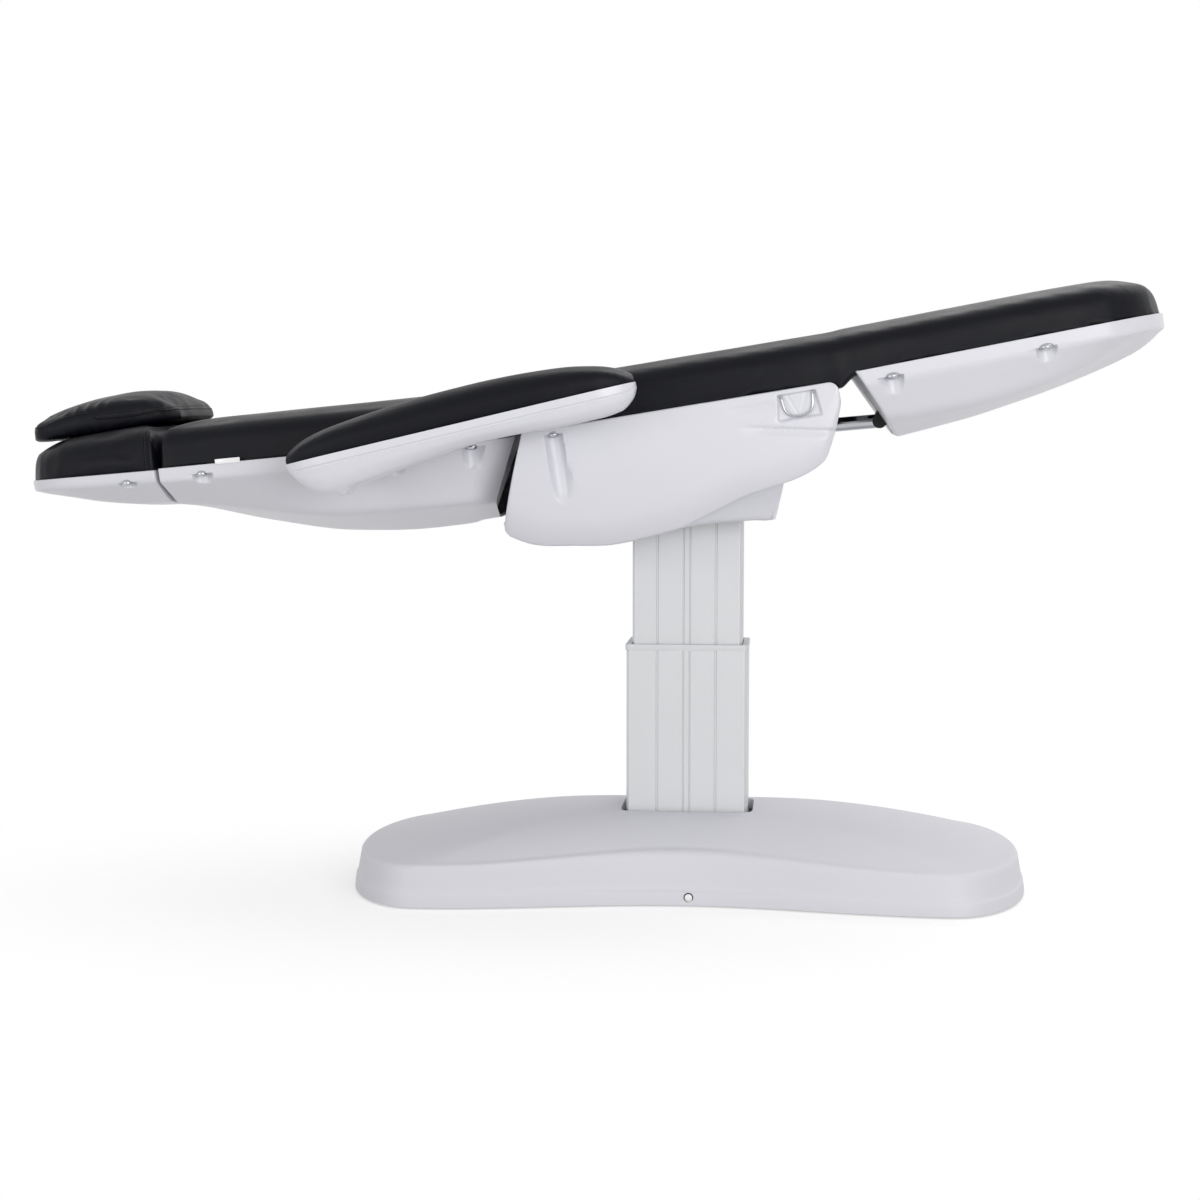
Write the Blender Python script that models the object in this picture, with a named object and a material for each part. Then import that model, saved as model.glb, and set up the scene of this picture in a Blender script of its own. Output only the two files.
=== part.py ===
"""Electric spa treatment table, in metres with +Z up and +X toward the foot end.

The origin is on the floor under the middle of the table's length. Each section of the bed is drawn flat in
its own frame, with the origin on its joint axis, and an empty places and tilts that frame.
"""
import math

import bmesh
import bpy
from mathutils import Matrix, Vector

# Where the column stands, and the pose of the sections
COLUMN_AHEAD = 0.16075
TILT_AXIS_HEIGHT = 0.655
SEAT_SLOPE = math.radians(9.35)
BACK_SLOPE = math.radians(5.45)
HEADREST_SLOPE = math.radians(5.0)
LEG_SLOPE = math.radians(11.0)
ARMREST_SLOPE = math.radians(13.3)

# Clearances shared by the whole table
SEAT_GAP = 0.0003
RUNNING_GAP = 0.0015
PIN_CLEARANCE = 0.0003
OVERRUN = 0.010
WELD = 0.001
ROUND_SIDES = 24
SMALL_SIDES = 16

# Base cover
BASE_HALF_LENGTH = 0.556
BASE_CORNER_X = 0.425
BASE_CORNER_HALF_WIDTH = 0.262
BASE_WAIST_HALF_WIDTH = 0.206
BASE_FLOOR_GAP = 0.003
BASE_BAND_HEIGHT = 0.024
BASE_WALL_HEIGHT = 0.067
BASE_WAIST_WALL_HEIGHT = 0.084
BASE_BAND_DRAW = 0.003
BASE_WALL_DRAW = 0.009
BASE_SHOULDER = 0.016
BASE_TOP_HEIGHT = 0.131
BASE_SLOT_GAP = 0.009
BASE_COVER_WALL = 0.004
BASE_OUTLINE_POINTS = 72
CAP_RADIUS = 0.0075
CAP_THICKNESS = 0.003
CAP_HEIGHT = 0.015
CAP_ALONG = 0.011
BOSS_X = 0.370
BOSS_RADIUS = 0.012

# Base frame, feet, lift drive and control box
FRAME_BAR_WIDTH = 0.050
FRAME_BAR_HEIGHT = 0.025
FRAME_FLOOR_GAP = 0.012
FRAME_PLATE_THICKNESS = 0.008
FRAME_PLATE_MARGIN = 0.030
FOOT_X = 0.420
FOOT_Y = 0.165
FOOT_RADIUS = 0.022
FOOT_STEM_RADIUS = 0.005
CONTROL_BOX_LENGTH = 0.150
CONTROL_BOX_WIDTH = 0.110
CONTROL_BOX_HEIGHT = 0.030
CONTROL_BOX_X = -0.270

# Column
OUTER_COLUMN_LENGTH_X = 0.200
OUTER_COLUMN_DEPTH_Y = 0.132
OUTER_COLUMN_TOP = 0.405
OUTER_COLUMN_WALL = 0.005
OUTER_COLUMN_CHAMFER = 0.008
COLUMN_SLIDE_GAP = 0.0045
INNER_COLUMN_WALL = 0.005
INNER_COLUMN_CHAMFER = 0.007
INNER_COLUMN_BOTTOM = 0.285
HEAD_PLATE_THICKNESS = 0.008
HEAD_PLATE_DROP = 0.015
HEAD_PLATE_HALF_LENGTH = 0.080
TILT_LUG_LENGTH = 0.040
TILT_LUG_THICKNESS = 0.010
TILT_PIN_RADIUS = 0.010
LIFT_BODY_RADIUS = 0.032
LIFT_BODY_TOP = 0.398
LIFT_ROD_RADIUS = 0.014
LIFT_ROD_BOTTOM = 0.285
LIFT_BODY_FLOOR = 0.010

# Seat frame, in the seat's own frame with the origin on the tilt axis
SEAT_RIM = 0.138
BOARD_THICKNESS = 0.008
SEAT_BOARD_LEFT = -0.155
SEAT_BOARD_RIGHT = 0.160
BACK_AXIS_ALONG = -0.210
BACK_AXIS_UP = 0.173
LEG_AXIS_ALONG = 0.288
LEG_AXIS_UP = 0.173
CHEEK_INSIDE = 0.130
CHEEK_THICKNESS = 0.006
CHEEK_GAP = 0.005
CHEEK_FOOT_RADIUS = 0.030
CHEEK_ANCHOR_UP = 0.112
CHEEK_BACK_ANCHOR = -0.128
CHEEK_LEG_ANCHOR = 0.148
ANCHOR_RADIUS = 0.020
ELBOW_RADIUS = 0.012
EYE_RADIUS = 0.014
HINGE_PIN_RADIUS = 0.006
LUG_GAP = 0.003
LUG_THICKNESS = 0.006
PIN_END = 0.003
NOTCH_MARGIN = 0.006
PAD_NOTCH_BACK = 0.048
PAD_NOTCH_LEG = 0.090
LUG_ANCHOR_DROP = 0.010
LEG_LUG_END_RADIUS = 0.010

# Seat shell
SEAT_SHELL_HALF_WIDTH = 0.311
SEAT_SHELL_WALL = 0.005
SEAT_BAND = 0.046
SEAT_BOX_HALF_WIDTH = 0.160
SEAT_BOX_RIGHT = 0.160
SEAT_SHELL_RIM_LEFT = -0.223
WING_THICKNESS = 0.0095
SEAT_BOX_WALL_TOP_SHARE = 0.67
SEAT_SHELL_RIGHT = 0.266
SEAT_SHELL_DEPTH = 0.204
SEAT_BOX_DEPTH = 0.200
SEAT_COLUMN_MARGIN = 0.016

# Seat cushion
SEAT_PAD_THICKNESS = 0.078
SEAT_PAD_INSET = 0.003
PAD_EDGE_RADIUS = 0.030
PAD_CROWN = 0.006
PAD_DRAW_IN = 0.003
LEG_PAD_REACH = 0.045
BACK_PAD_REACH = 0.038

# D-ring bail
BAIL_ALONG = 0.2015
BAIL_UP = 0.1285
BAIL_HALF_WIDTH = 0.0235
BAIL_DROP = 0.033
BAIL_WIRE_RADIUS = 0.0018
BAIL_RECESS_DEPTH = 0.005
BAIL_RECESS_HALF_WIDTH = 0.0285
BAIL_RECESS_TOP = 0.0075
BAIL_RECESS_HEIGHT = 0.039
BAIL_RECESS_FLARE = 0.005
BAIL_POINTS = 15
BAIL_SIDES = 8
BAIL_SQUARE_SHARE = 0.8

# Back, in its own frame with the origin on the back axis
BACK_RIM = -0.038
BACK_SHELL_LEFT = -0.5955
BACK_SHELL_RIGHT = -0.026
BACK_LEAN = 0.45
BACK_END_WALL_INSIDE = 0.160
BACK_SHELL_DEPTH = 0.139
BACK_SHELL_HALF_WIDTH = 0.290
SHELL_WALL = 0.004
BACK_BAND = 0.022
BACK_BAND_DRAW = 0.003
BACK_PAD_THICKNESS = 0.075
BACK_BOARD_LEFT = -0.570
BACK_BOARD_RIGHT = -0.075
BACK_BOARD_HALF_WIDTH = 0.246
BACK_LUG_ANCHOR = -0.095
BACK_PAD_END_HALF_WIDTH = 0.288
PAD_INSET = 0.002
TAB_ALONG = -0.481
TAB_LENGTH = 0.040
TAB_HEIGHT = 0.010
TAB_THICKNESS = 0.0025

# Headrest, with its axis at the foot of the slit to the back
HEAD_AXIS_ALONG = -0.599
HEAD_AXIS_UP = -0.095
HEAD_RIM = 0.055
HEAD_LENGTH = 0.243
HEAD_SLIT = 0.0035
HEAD_SHELL_DEPTH = 0.061
HEAD_SHELL_HALF_WIDTH = 0.263
HEAD_BAND = 0.017
HEAD_PAD_THICKNESS = 0.0765
HEAD_BOARD_LEFT = -0.155
HEAD_BOARD_RIGHT = -0.016
HEAD_BOARD_WIDTH_SHARE = 0.60
HEAD_LUG_FOOT = -0.028
HEAD_SLOT_REACH = 0.012
HEAD_LUG_Y = 0.050
HEAD_LUG_THICKNESS = 0.008
HEAD_LUG_RADIUS = 0.0055
HEAD_PIN_RADIUS = 0.003
HEAD_SLOT_MARGIN = 0.002
PILLOW_LENGTH = 0.243
PILLOW_WIDTH = 0.350
PILLOW_THICKNESS = 0.060
PILLOW_MIDDLE = -0.112
PILLOW_SLOPE = math.radians(4.1)
PILLOW_CROWN = 0.010
PILLOW_EDGE_RADIUS = 0.022

# Leg rest, in its own frame with the origin on the leg axis
LEG_RIM = -0.026
LEG_SHELL_LEFT = 0.006
LEG_LEAN = 0.44
LEG_LENGTH = 0.491
LEG_SHELL_DEPTH = 0.114
LEG_SHELL_HALF_WIDTH = 0.295
LEG_BAND = 0.024
LEG_PAD_THICKNESS = 0.071
LEG_BOARD_LEFT = 0.075
LEG_BOARD_RIGHT = 0.395
LEG_BOARD_HALF_WIDTH = 0.215
LEG_LUG_ANCHOR = 0.095
LEG_SLOT_DEPTH = 0.062
LEG_DRIVE_SLOT_LOW = -0.134
LEG_DRIVE_SLOT_HIGH = -0.058

# Armrest, in its own frame with the origin on its pivot on the back
ARM_PIVOT_ALONG = -0.2826
ARM_PIVOT_UP = -0.0665
ARM_RIM = 0.0274
ARM_LEFT = -0.079
ARM_LENGTH = 0.545
ARM_HALF_WIDTH = 0.053
ARM_MIDDLE_Y = 0.376
ARM_SHELL_DEPTH = 0.058
ARM_PAD_THICKNESS = 0.055
ARM_BAND = 0.010
ARM_PIN_RADIUS = 0.006
ARM_PIN_DEPTH = 0.014
ARM_BOSS_RADIUS = 0.016
ARM_BOSS_HALF_LENGTH = 0.022
ARM_BOSS_DROP = 0.022
ARM_BEARING_HALF_LENGTH = 0.016
ARM_BEARING_INSIDE = 0.200
ARM_BEARING_OUTSIDE = 0.232
ARM_BEARING_HALF_HEIGHT = 0.012

# Actuators
ACTUATOR_EYE_RADIUS = 0.012
ACTUATOR_EYE_HALF_WIDTH = 0.009
LEG_DRIVE_ALONG = -0.086
LEG_DRIVE_UP = 0.095
LEG_DRIVE_PIN_ALONG = 0.036
LEG_DRIVE_PIN_UP = -0.110
LEG_DRIVE_BODY_LENGTH = 0.235
LEG_DRIVE_BODY_RADIUS = 0.024
LEG_DRIVE_ROD_RADIUS = 0.0115
BACK_DRIVE_ALONG = 0.118
BACK_DRIVE_UP = 0.030
BACK_DRIVE_Y = -0.080
BACK_DRIVE_PIN_ALONG = -0.004
BACK_DRIVE_PIN_UP = -0.110
BACK_DRIVE_BODY_LENGTH = 0.250
BACK_DRIVE_BODY_RADIUS = 0.021
BACK_DRIVE_ROD_RADIUS = 0.009
TILT_DRIVE_ALONG = -0.151
TILT_DRIVE_UP = 0.070
TILT_DRIVE_Y = 0.080
TILT_DRIVE_PIN_X = 0.100
TILT_DRIVE_PIN_UP = 0.065
TILT_DRIVE_BODY_LENGTH = 0.170
TILT_DRIVE_BODY_RADIUS = 0.021
TILT_DRIVE_ROD_RADIUS = 0.009
MOTOR_RADIUS = 0.017
LEG_MOTOR_LENGTH = 0.056
BACK_MOTOR_LENGTH = 0.055
TILT_MOTOR_LENGTH = 0.045
GEAR_LEFT = 0.0235
GEAR_RIGHT = 0.063
GEAR_HALF_HEIGHT = 0.0225
DRIVE_PIN_RADIUS = 0.004
DRIVE_BRACKET_FOOT = 0.014
DRIVE_BRACKET_FOOT_RADIUS = 0.006
LEG_DRIVE_ROD_START = 0.197
BACK_DRIVE_ROD_START = 0.075
TILT_DRIVE_ROD_START = 0.085
BRACKET_GAP = 0.004
BRACKET_THICKNESS = 0.005

# Shell screws and their pockets
SCREW_RADIUS = 0.0085
SCREW_HEIGHT = 0.005
POCKET_RADIUS = 0.0115
POCKET_CHEEK = 0.0045
BACK_SCREWS = ((-0.526, 0.016), (-0.215, 0.016), (-0.092, 0.014))
LEG_SCREWS = ((0.060, 0.019), (0.295, 0.020))
SEAT_SCREW_ALONG = -0.175
SEAT_SCREW_DROP = 0.012
SEAT_POCKET_LENGTH = 0.120
HEAD_SCREW_ALONG = -0.052
HEAD_SCREW_DROP = 0.018
HEAD_POCKET_LENGTH = 0.016
BACK_POCKET_LENGTH = 0.030
LEG_POCKET_LENGTH = 0.022
POCKET_SIT = 0.003
SCREW_SIT = 0.005

# Profiles along each piece, as pairs of (share of its length, share of its size)
SEAT_SIDE_SHARES = ((0.0, 0.735), (0.10, 0.89), (0.22, 0.95), (0.42, 0.915), (0.535, 0.838), (0.672, 0.735),
                    (0.826, 0.672), (0.919, 0.578), (0.963, 0.40), (0.985, 0.27), (1.0, 0.17))
SEAT_BOX_SHARES = ((0.0, 0.80), (0.10, 0.93), (0.22, 0.985), (0.34, 0.955), (0.48, 0.95), (0.664, 0.98),
                   (0.77, 1.0), (1.0, 1.0))
SEAT_FOOT_SHARES = ((0.0, 0.918), (0.25, 0.925), (0.55, 0.955), (0.75, 0.987), (1.0, 0.990))
SEAT_LEAN_SHARES = ((0.0, -0.40), (0.06, -0.30), (0.14, -0.06), (0.2, 0.0), (1.0, 0.0))
SEAT_STATION_SHARES = (0.0, 0.06, 0.14, 0.22, 0.34, 0.48, 0.62, 0.75, 0.85, 0.92, 0.963, 0.985, 1.0)
BACK_KEEL_SHARES = ((0.0, 0.475), (0.234, 0.745), (0.468, 0.94), (0.684, 1.0), (1.0, 0.945))
BACK_CREASE_SHARES = ((0.0, 0.43), (0.112, 0.48), (0.515, 0.72), (1.0, 0.735))
BACK_WIDTH_SHARES = ((0.0, 0.915), (0.468, 0.96), (0.90, 1.0), (0.935, 0.99), (1.0, 0.935))
BACK_LEAN_SHARES = ((0.0, 0.0), (0.80, 0.0), (0.94, -0.85), (1.0, -1.0))
BACK_CREASE_WIDTH_SHARES = ((0.0, 0.45), (0.5, 0.60), (1.0, 0.64))
BACK_KEEL_WIDTH_SHARES = ((0.0, 0.14), (0.5, 0.30), (1.0, 0.34))
BACK_STATION_SHARES = (0.0, 0.112, 0.234, 0.375, 0.515, 0.66, 0.80, 0.94, 1.0)
HEAD_KEEL_SHARES = ((0.0, 0.30), (0.13, 0.42), (0.31, 0.58), (0.53, 0.80), (0.775, 0.95), (1.0, 1.0))
HEAD_WIDTH_SHARES = ((0.0, 0.40), (0.05, 0.60), (0.15, 0.78), (0.35, 0.905), (0.65, 0.96), (1.0, 1.0))
HEAD_FACET_WIDTH_SHARES = ((0.0, 0.75), (0.5, 0.52), (1.0, 0.45))
HEAD_KEEL_WIDTH_SHARES = ((0.0, 0.45), (0.5, 0.22), (1.0, 0.14))
HEAD_STATION_SHARES = (0.0, 0.05, 0.15, 0.31, 0.53, 0.775, 1.0)
HEAD_FACET_SHARE = 0.88
LEG_KEEL_SHARES = ((0.0, 0.99), (0.303, 0.93), (0.50, 0.825), (0.637, 0.73), (0.768, 0.614), (0.90, 0.465),
                   (0.955, 0.36), (1.0, 0.24))
LEG_CREASE_SHARES = ((0.0, 0.735), (0.31, 0.745), (0.58, 0.64), (0.73, 0.47), (0.887, 0.27), (0.95, 0.24),
                     (1.0, 0.225))
LEG_WIDTH_SHARES = ((0.0, 1.0), (0.5, 0.97), (0.78, 0.93), (0.87, 0.86), (0.935, 0.76), (0.97, 0.63), (1.0, 0.42))
LEG_LEAN_SHARES = ((0.0, 1.0), (0.125, 0.55), (0.31, 0.0), (1.0, 0.0))
LEG_STATION_SHARES = (0.0, 0.125, 0.31, 0.50, 0.637, 0.768, 0.87, 0.935, 0.97, 1.0)
LEG_CREASE_WIDTH_SHARE = 0.64
LEG_KEEL_WIDTH_SHARE = 0.32
ARM_DEPTH_SHARES = ((0.0, 0.14), (0.035, 0.60), (0.07, 0.88), (0.11, 1.0), (0.17, 0.965), (0.375, 0.74),
                    (0.55, 0.60), (0.66, 0.62), (0.775, 0.70), (0.885, 0.71), (0.944, 0.655), (0.984, 0.42),
                    (1.0, 0.20))
ARM_HEIGHT_SHARES = ((0.0, 0.16), (0.013, 0.28), (0.064, 0.55), (0.156, 0.75), (0.30, 0.90), (0.45, 0.98),
                     (0.55, 1.0), (0.65, 0.98), (0.81, 0.86), (0.89, 0.70), (0.944, 0.52), (0.98, 0.32),
                     (1.0, 0.16))
ARM_WIDTH_SHARES = ((0.0, 0.34), (0.02, 0.54), (0.06, 0.76), (0.12, 0.92), (0.25, 1.0), (0.75, 0.95), (0.9, 0.85),
                    (0.96, 0.66), (0.985, 0.48), (1.0, 0.30))
ARM_STATION_SHARES = (0.0, 0.02, 0.06, 0.12, 0.2, 0.32, 0.45, 0.58, 0.7, 0.82, 0.9, 0.955, 0.985, 1.0)
ARM_CREASE_WIDTH_SHARE = 0.80
ARM_KEEL_WIDTH_SHARE = 0.52
ARM_CREASE_SHARE = 0.62
HEAD_PAD_HEIGHT_SHARES = ((0.0, 0.34), (0.05, 0.55), (0.12, 0.68), (0.22, 0.77), (0.35, 0.835), (1.0, 1.0))
HEAD_PAD_STATION_SHARES = (0.0, 0.03, 0.08, 0.15, 0.25, 0.45, 0.7, 0.96, 1.0)
LEG_PAD_HEIGHT_SHARES = ((0.0, 1.0), (0.5, 0.985), (0.8, 0.93), (0.88, 0.87), (0.94, 0.74), (0.975, 0.54),
                         (1.0, 0.30))
LEG_PAD_STATION_SHARES = (0.05, 0.2, 0.4, 0.6, 0.75, 0.85, 0.92, 0.96, 0.985, 1.0)
BACK_PAD_STATION_SHARES = (0.0, 0.02, 0.25, 0.5, 0.75, 0.97)
BACK_PAD_HEIGHT_SHARES = ((0.0, 0.90), (0.02, 0.955), (0.1, 0.965), (1.0, 1.0))
SEAT_PAD_STATION_SHARES = (0.0, 0.03, 0.35, 0.7, 0.97, 1.0)
SEAT_PAD_HEIGHT_SHARES = ((0.0, 0.93), (0.03, 1.0), (0.97, 1.0), (1.0, 0.97))
SEAT_PAD_WIDTH_SHARES = ((0.0, 0.985), (0.03, 1.0), (0.6, 1.0), (0.97, 0.985), (1.0, 0.972))
PILLOW_HEIGHT_SHARES = ((0.0, 0.40), (0.06, 0.52), (0.35, 0.88), (0.62, 1.0), (0.82, 0.90), (0.95, 0.62),
                        (1.0, 0.40))
PILLOW_WIDTH_SHARES = ((0.0, 0.80), (0.06, 0.93), (0.35, 1.0), (0.7, 0.97), (0.92, 0.86), (1.0, 0.66))
PILLOW_STATION_SHARES = (0.0, 0.03, 0.1, 0.25, 0.4, 0.55, 0.7, 0.82, 0.92, 0.98, 1.0)
BASE_TOP_SHARES = (0.12, 0.26, 0.45, 0.70, 1.0)
BASE_TOP_CURVE = 1.7
BASE_END_CURVE = 2.0
EDGE_SHARE = 0.42
BULLNOSE_TURN_SHARES = (1.0, 0.82, 0.62, 0.42, 0.22)


def clear_scene():
    """Remove every object that the file starts with."""
    for item in list(bpy.data.objects):
        bpy.data.objects.remove(item, do_unlink=True)


def along(shares, place):
    """Read a table of (place, share) pairs between its rows, with straight runs."""
    for (start, low), (end, high) in zip(shares, shares[1:]):
        if place <= end:
            return low + (high - low) * max(0.0, place - start) / (end - start)
    return shares[-1][1]


def finish(name, colour, roughness, metallic):
    """Make a Principled material from an sRGB colour."""
    material = bpy.data.materials.new(name)
    material.use_nodes = True
    shader = material.node_tree.nodes["Principled BSDF"]
    linear = [((part + 0.055) / 1.055) ** 2.4 if part > 0.04045 else part / 12.92 for part in colour]
    shader.inputs["Base Color"].default_value = (*linear, 1.0)
    shader.inputs["Roughness"].default_value = roughness
    shader.inputs["Metallic"].default_value = metallic
    return material


def axis_frame(name, parent, along_parent, across, up, slope):
    """Make an empty on a joint axis, tilted about Y so that a positive slope lifts its +X end."""
    empty = bpy.data.objects.new(name, None)
    bpy.context.collection.objects.link(empty)
    empty.parent = parent
    empty.location = (along_parent, across, up)
    empty.rotation_euler = (0.0, -slope, 0.0)
    return empty


def mesh_from(name, bm, smooth=False):
    """Close a bmesh into a mesh with its faces pointing out."""
    bmesh.ops.recalc_face_normals(bm, faces=bm.faces)
    mesh = bpy.data.meshes.new(name)
    bm.to_mesh(mesh)
    bm.free()
    if smooth:
        mesh.shade_smooth()
        mesh.set_sharp_from_angle(angle=math.radians(40))
    return mesh


def skin(rings, ring_loop=False):
    """Join closed rings of points into a surface, capped at both ends or joined last to first."""
    bm = bmesh.new()
    grid = [[bm.verts.new(point) for point in ring] for ring in rings]
    count = len(rings[0])
    pairs = list(zip(grid, grid[1:]))
    if ring_loop:
        pairs.append((grid[-1], grid[0]))
    for first, second in pairs:
        for index in range(count):
            after = (index + 1) % count
            bm.faces.new((first[index], first[after], second[after], second[index]))
    if not ring_loop:
        bm.faces.new(grid[0])
        bm.faces.new(reversed(grid[-1]))
    return bm


def tub(outer, inner, left_open, right_open):
    """Build a thin open-topped hull from its outer and inner grids of stations."""
    bm = bmesh.new()
    out = [[bm.verts.new(point) for point in station] for station in outer]
    inn = [[bm.verts.new(point) for point in station] for station in inner]
    last = len(outer[0]) - 1
    for grid in (out, inn):
        for first, second in zip(grid, grid[1:]):
            for index in range(last):
                bm.faces.new((first[index], first[index + 1], second[index + 1], second[index]))
    for step in range(len(out) - 1):
        for side in (0, last):
            bm.faces.new((out[step][side], out[step + 1][side], inn[step + 1][side], inn[step][side]))
    for end, is_open in ((0, left_open), (-1, right_open)):
        if is_open:
            for index in range(last):
                bm.faces.new((out[end][index], out[end][index + 1], inn[end][index + 1], inn[end][index]))
        else:
            bm.faces.new(out[end])
            bm.faces.new(inn[end])
            bm.faces.new((out[end][0], out[end][last], inn[end][last], inn[end][0]))
    return bm


def hull_rings(stations, inset, left_shift, right_shift):
    """Whole sections from half ones, each half as (along, lean, [(across, up), ...] from rim to keel)."""
    rings = []
    top = stations[0][2][0][1]
    count = len(stations)
    for step, (place, lean, half) in enumerate(stations):
        moved = place + (left_shift if step == 0 else 0.0) - (right_shift if step == count - 1 else 0.0)
        shape = []
        for index, (across, up) in enumerate(half):
            raised = inset if index == len(half) - 1 else inset / 2
            shape.append((across - inset, up if index == 0 else up + raised))
        left = [Vector((moved + lean * (top - up), -across, up)) for across, up in shape]
        right = [Vector((moved + lean * (top - up), across, up)) for across, up in reversed(shape)]
        rings.append(left + right)
    return rings


def hull(stations, wall, left_open, right_open):
    """A thin tub from half sections."""
    outer = hull_rings(stations, 0.0, 0.0, 0.0)
    inner = hull_rings(stations, wall, 0.0 if left_open else wall, 0.0 if right_open else wall)
    return tub(outer, inner, left_open, right_open)


def hull_core(stations, inset):
    """The solid shape that lies within the middle of a tub's wall."""
    return skin(hull_rings(stations, inset, inset, inset))


def block(left, right, near, far, low, high):
    """A box between six faces."""
    bm = bmesh.new()
    bmesh.ops.create_cube(bm, size=1.0)
    size = Matrix.Diagonal((right - left, far - near, high - low, 1.0))
    middle = Matrix.Translation(((left + right) / 2, (near + far) / 2, (low + high) / 2))
    bmesh.ops.transform(bm, matrix=middle @ size, verts=bm.verts)
    return bm


def rod(start, end, radius, sides=SMALL_SIDES, end_radius=None):
    """A round bar, or a cone where the end radius differs, between two points."""
    start, end = Vector(start), Vector(end)
    run = end - start
    bm = bmesh.new()
    bmesh.ops.create_cone(bm, cap_ends=True, segments=sides, radius1=radius,
                          radius2=radius if end_radius is None else end_radius, depth=run.length)
    turn = run.to_track_quat("Z", "Y").to_matrix().to_4x4()
    bmesh.ops.transform(bm, matrix=Matrix.Translation((start + end) / 2) @ turn, verts=bm.verts)
    return bm


def plate(circles, near, far, sides=SMALL_SIDES):
    """A flat plate across Y whose outline is the hull of circles, each as (along, up, radius)."""
    bm = bmesh.new()
    points = []
    for centre_x, centre_z, radius in circles:
        for step in range(sides):
            turn = 2 * math.pi * step / sides
            points.append((centre_x + radius * math.cos(turn), centre_z + radius * math.sin(turn)))
    for x, z in points:
        bm.verts.new((x, near, z))
        bm.verts.new((x, far, z))
    result = bmesh.ops.convex_hull(bm, input=bm.verts)
    loose = [part for part in result["geom_interior"] + result["geom_unused"] if isinstance(part, bmesh.types.BMVert)]
    bmesh.ops.delete(bm, geom=list(set(loose)), context="VERTS")
    bmesh.ops.dissolve_limit(bm, angle_limit=math.radians(0.5), verts=bm.verts, edges=bm.edges)
    return bm


def temporary(bm):
    """Link a short-lived object that a Boolean reads."""
    item = bpy.data.objects.new("operand", mesh_from("operand", bm))
    bpy.context.collection.objects.link(item)
    return item


def close_slivers(bm):
    """Where a face too thin to keep has left a gap of three edges, join its middle corner to its long edge."""
    gap = next((edge for edge in bm.edges if edge.is_boundary), None)
    while gap is not None:
        rim = [edge for edge in bm.edges if edge.is_boundary and set(edge.verts) & set(gap.verts)]
        long_edge = max(rim, key=lambda edge: edge.calc_length())
        first, last = long_edge.verts
        others = [vert for edge in rim for vert in edge.verts if vert not in long_edge.verts]
        middle = others[0]
        place = (middle.co - first.co).length / long_edge.calc_length()
        _, joint = bmesh.utils.edge_split(long_edge, first, place)
        bmesh.ops.weld_verts(bm, targetmap={joint: middle})
        gap = next((edge for edge in bm.edges if edge.is_boundary), None)


def solid(name, material, parent, body, joined=(), cut=(), smooth=False):
    """Make one named piece from a body, with other shapes joined to it or cut from it."""
    base = temporary(body)
    for operation, shapes in (("UNION", joined), ("DIFFERENCE", cut)):
        for shape in shapes:
            other = temporary(shape)
            step = base.modifiers.new(operation, "BOOLEAN")
            step.operation = operation
            step.solver = "EXACT"
            step.object = other
            evaluated = base.evaluated_get(bpy.context.evaluated_depsgraph_get())
            baked = bpy.data.meshes.new_from_object(evaluated)
            base.modifiers.clear()
            base.data = baked
            bpy.data.objects.remove(other, do_unlink=True)
    mesh = base.data
    bpy.data.objects.remove(base, do_unlink=True)
    bm = bmesh.new()
    bm.from_mesh(mesh)
    bmesh.ops.remove_doubles(bm, verts=bm.verts, dist=SEAT_GAP / 100)
    bmesh.ops.dissolve_degenerate(bm, edges=bm.edges, dist=SEAT_GAP / 100)
    close_slivers(bm)
    piece = bpy.data.objects.new(name, mesh_from(name, bm, smooth))
    piece.data.materials.clear()
    piece.data.materials.append(material)
    bpy.context.collection.objects.link(piece)
    piece.parent = parent
    return piece


def rectangle_ring(half_x, half_y, chamfer, height):
    """The eight corners of a chamfered rectangle."""
    corners = []
    for sign_x, sign_y in ((1, 1), (-1, 1), (-1, -1), (1, -1)):
        first = (sign_x * half_x, sign_y * (half_y - chamfer), height)
        second = (sign_x * (half_x - chamfer), sign_y * half_y, height)
        corners += [first, second] if sign_x * sign_y > 0 else [second, first]
    return corners


def tube(half_x, half_y, chamfer, wall, low, high):
    """A chamfered rectangular tube."""
    rings = []
    for height in (low, high):
        rings.append(rectangle_ring(half_x, half_y, chamfer, height))
    for height in (high, low):
        rings.append(rectangle_ring(half_x - wall, half_y - wall, chamfer, height))
    return skin(rings, ring_loop=True)


def pad_ring(place, half_width, low, high, crown, radius=PAD_EDGE_RADIUS, draw=PAD_DRAW_IN):
    """One section of a cushion: drawn in at the foot, rounded at the top edges, with a crown."""
    edge = min(radius, (high - low) * EDGE_SHARE, half_width * EDGE_SHARE)
    half = [(half_width - draw, low), (half_width, low + (high - low - edge) / 2), (half_width, high - edge)]
    for step in (1, 2, 3):
        turn = math.pi / 2 * step / 3
        half.append((half_width - edge + edge * math.cos(turn), high - edge + edge * math.sin(turn)))
    half.append(((half_width - edge) / 2, high + crown * 3 / 4))
    right = [Vector((place, across, up)) for across, up in half]
    left = [Vector((place, -across, up)) for across, up in reversed(half)]
    return right + [Vector((place, 0.0, high + crown))] + left


def mirrored_screws(name, material, parent, places):
    """Button-head screws on both sides, each at (along, half width, height of the pocket's roof)."""
    for number, (place, half_width, roof) in enumerate(places, 1):
        for side, sign in (("right", -1), ("left", 1)):
            centre = sign * (half_width - SCREW_SIT)
            top = roof - SEAT_GAP
            shape = rod((place, centre, top - SCREW_HEIGHT), (place, centre, top), SCREW_RADIUS,
                        sides=ROUND_SIDES, end_radius=SCREW_RADIUS)
            solid(f"{name}_screw_{side}_{number}", material, parent, shape, smooth=True)


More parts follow.
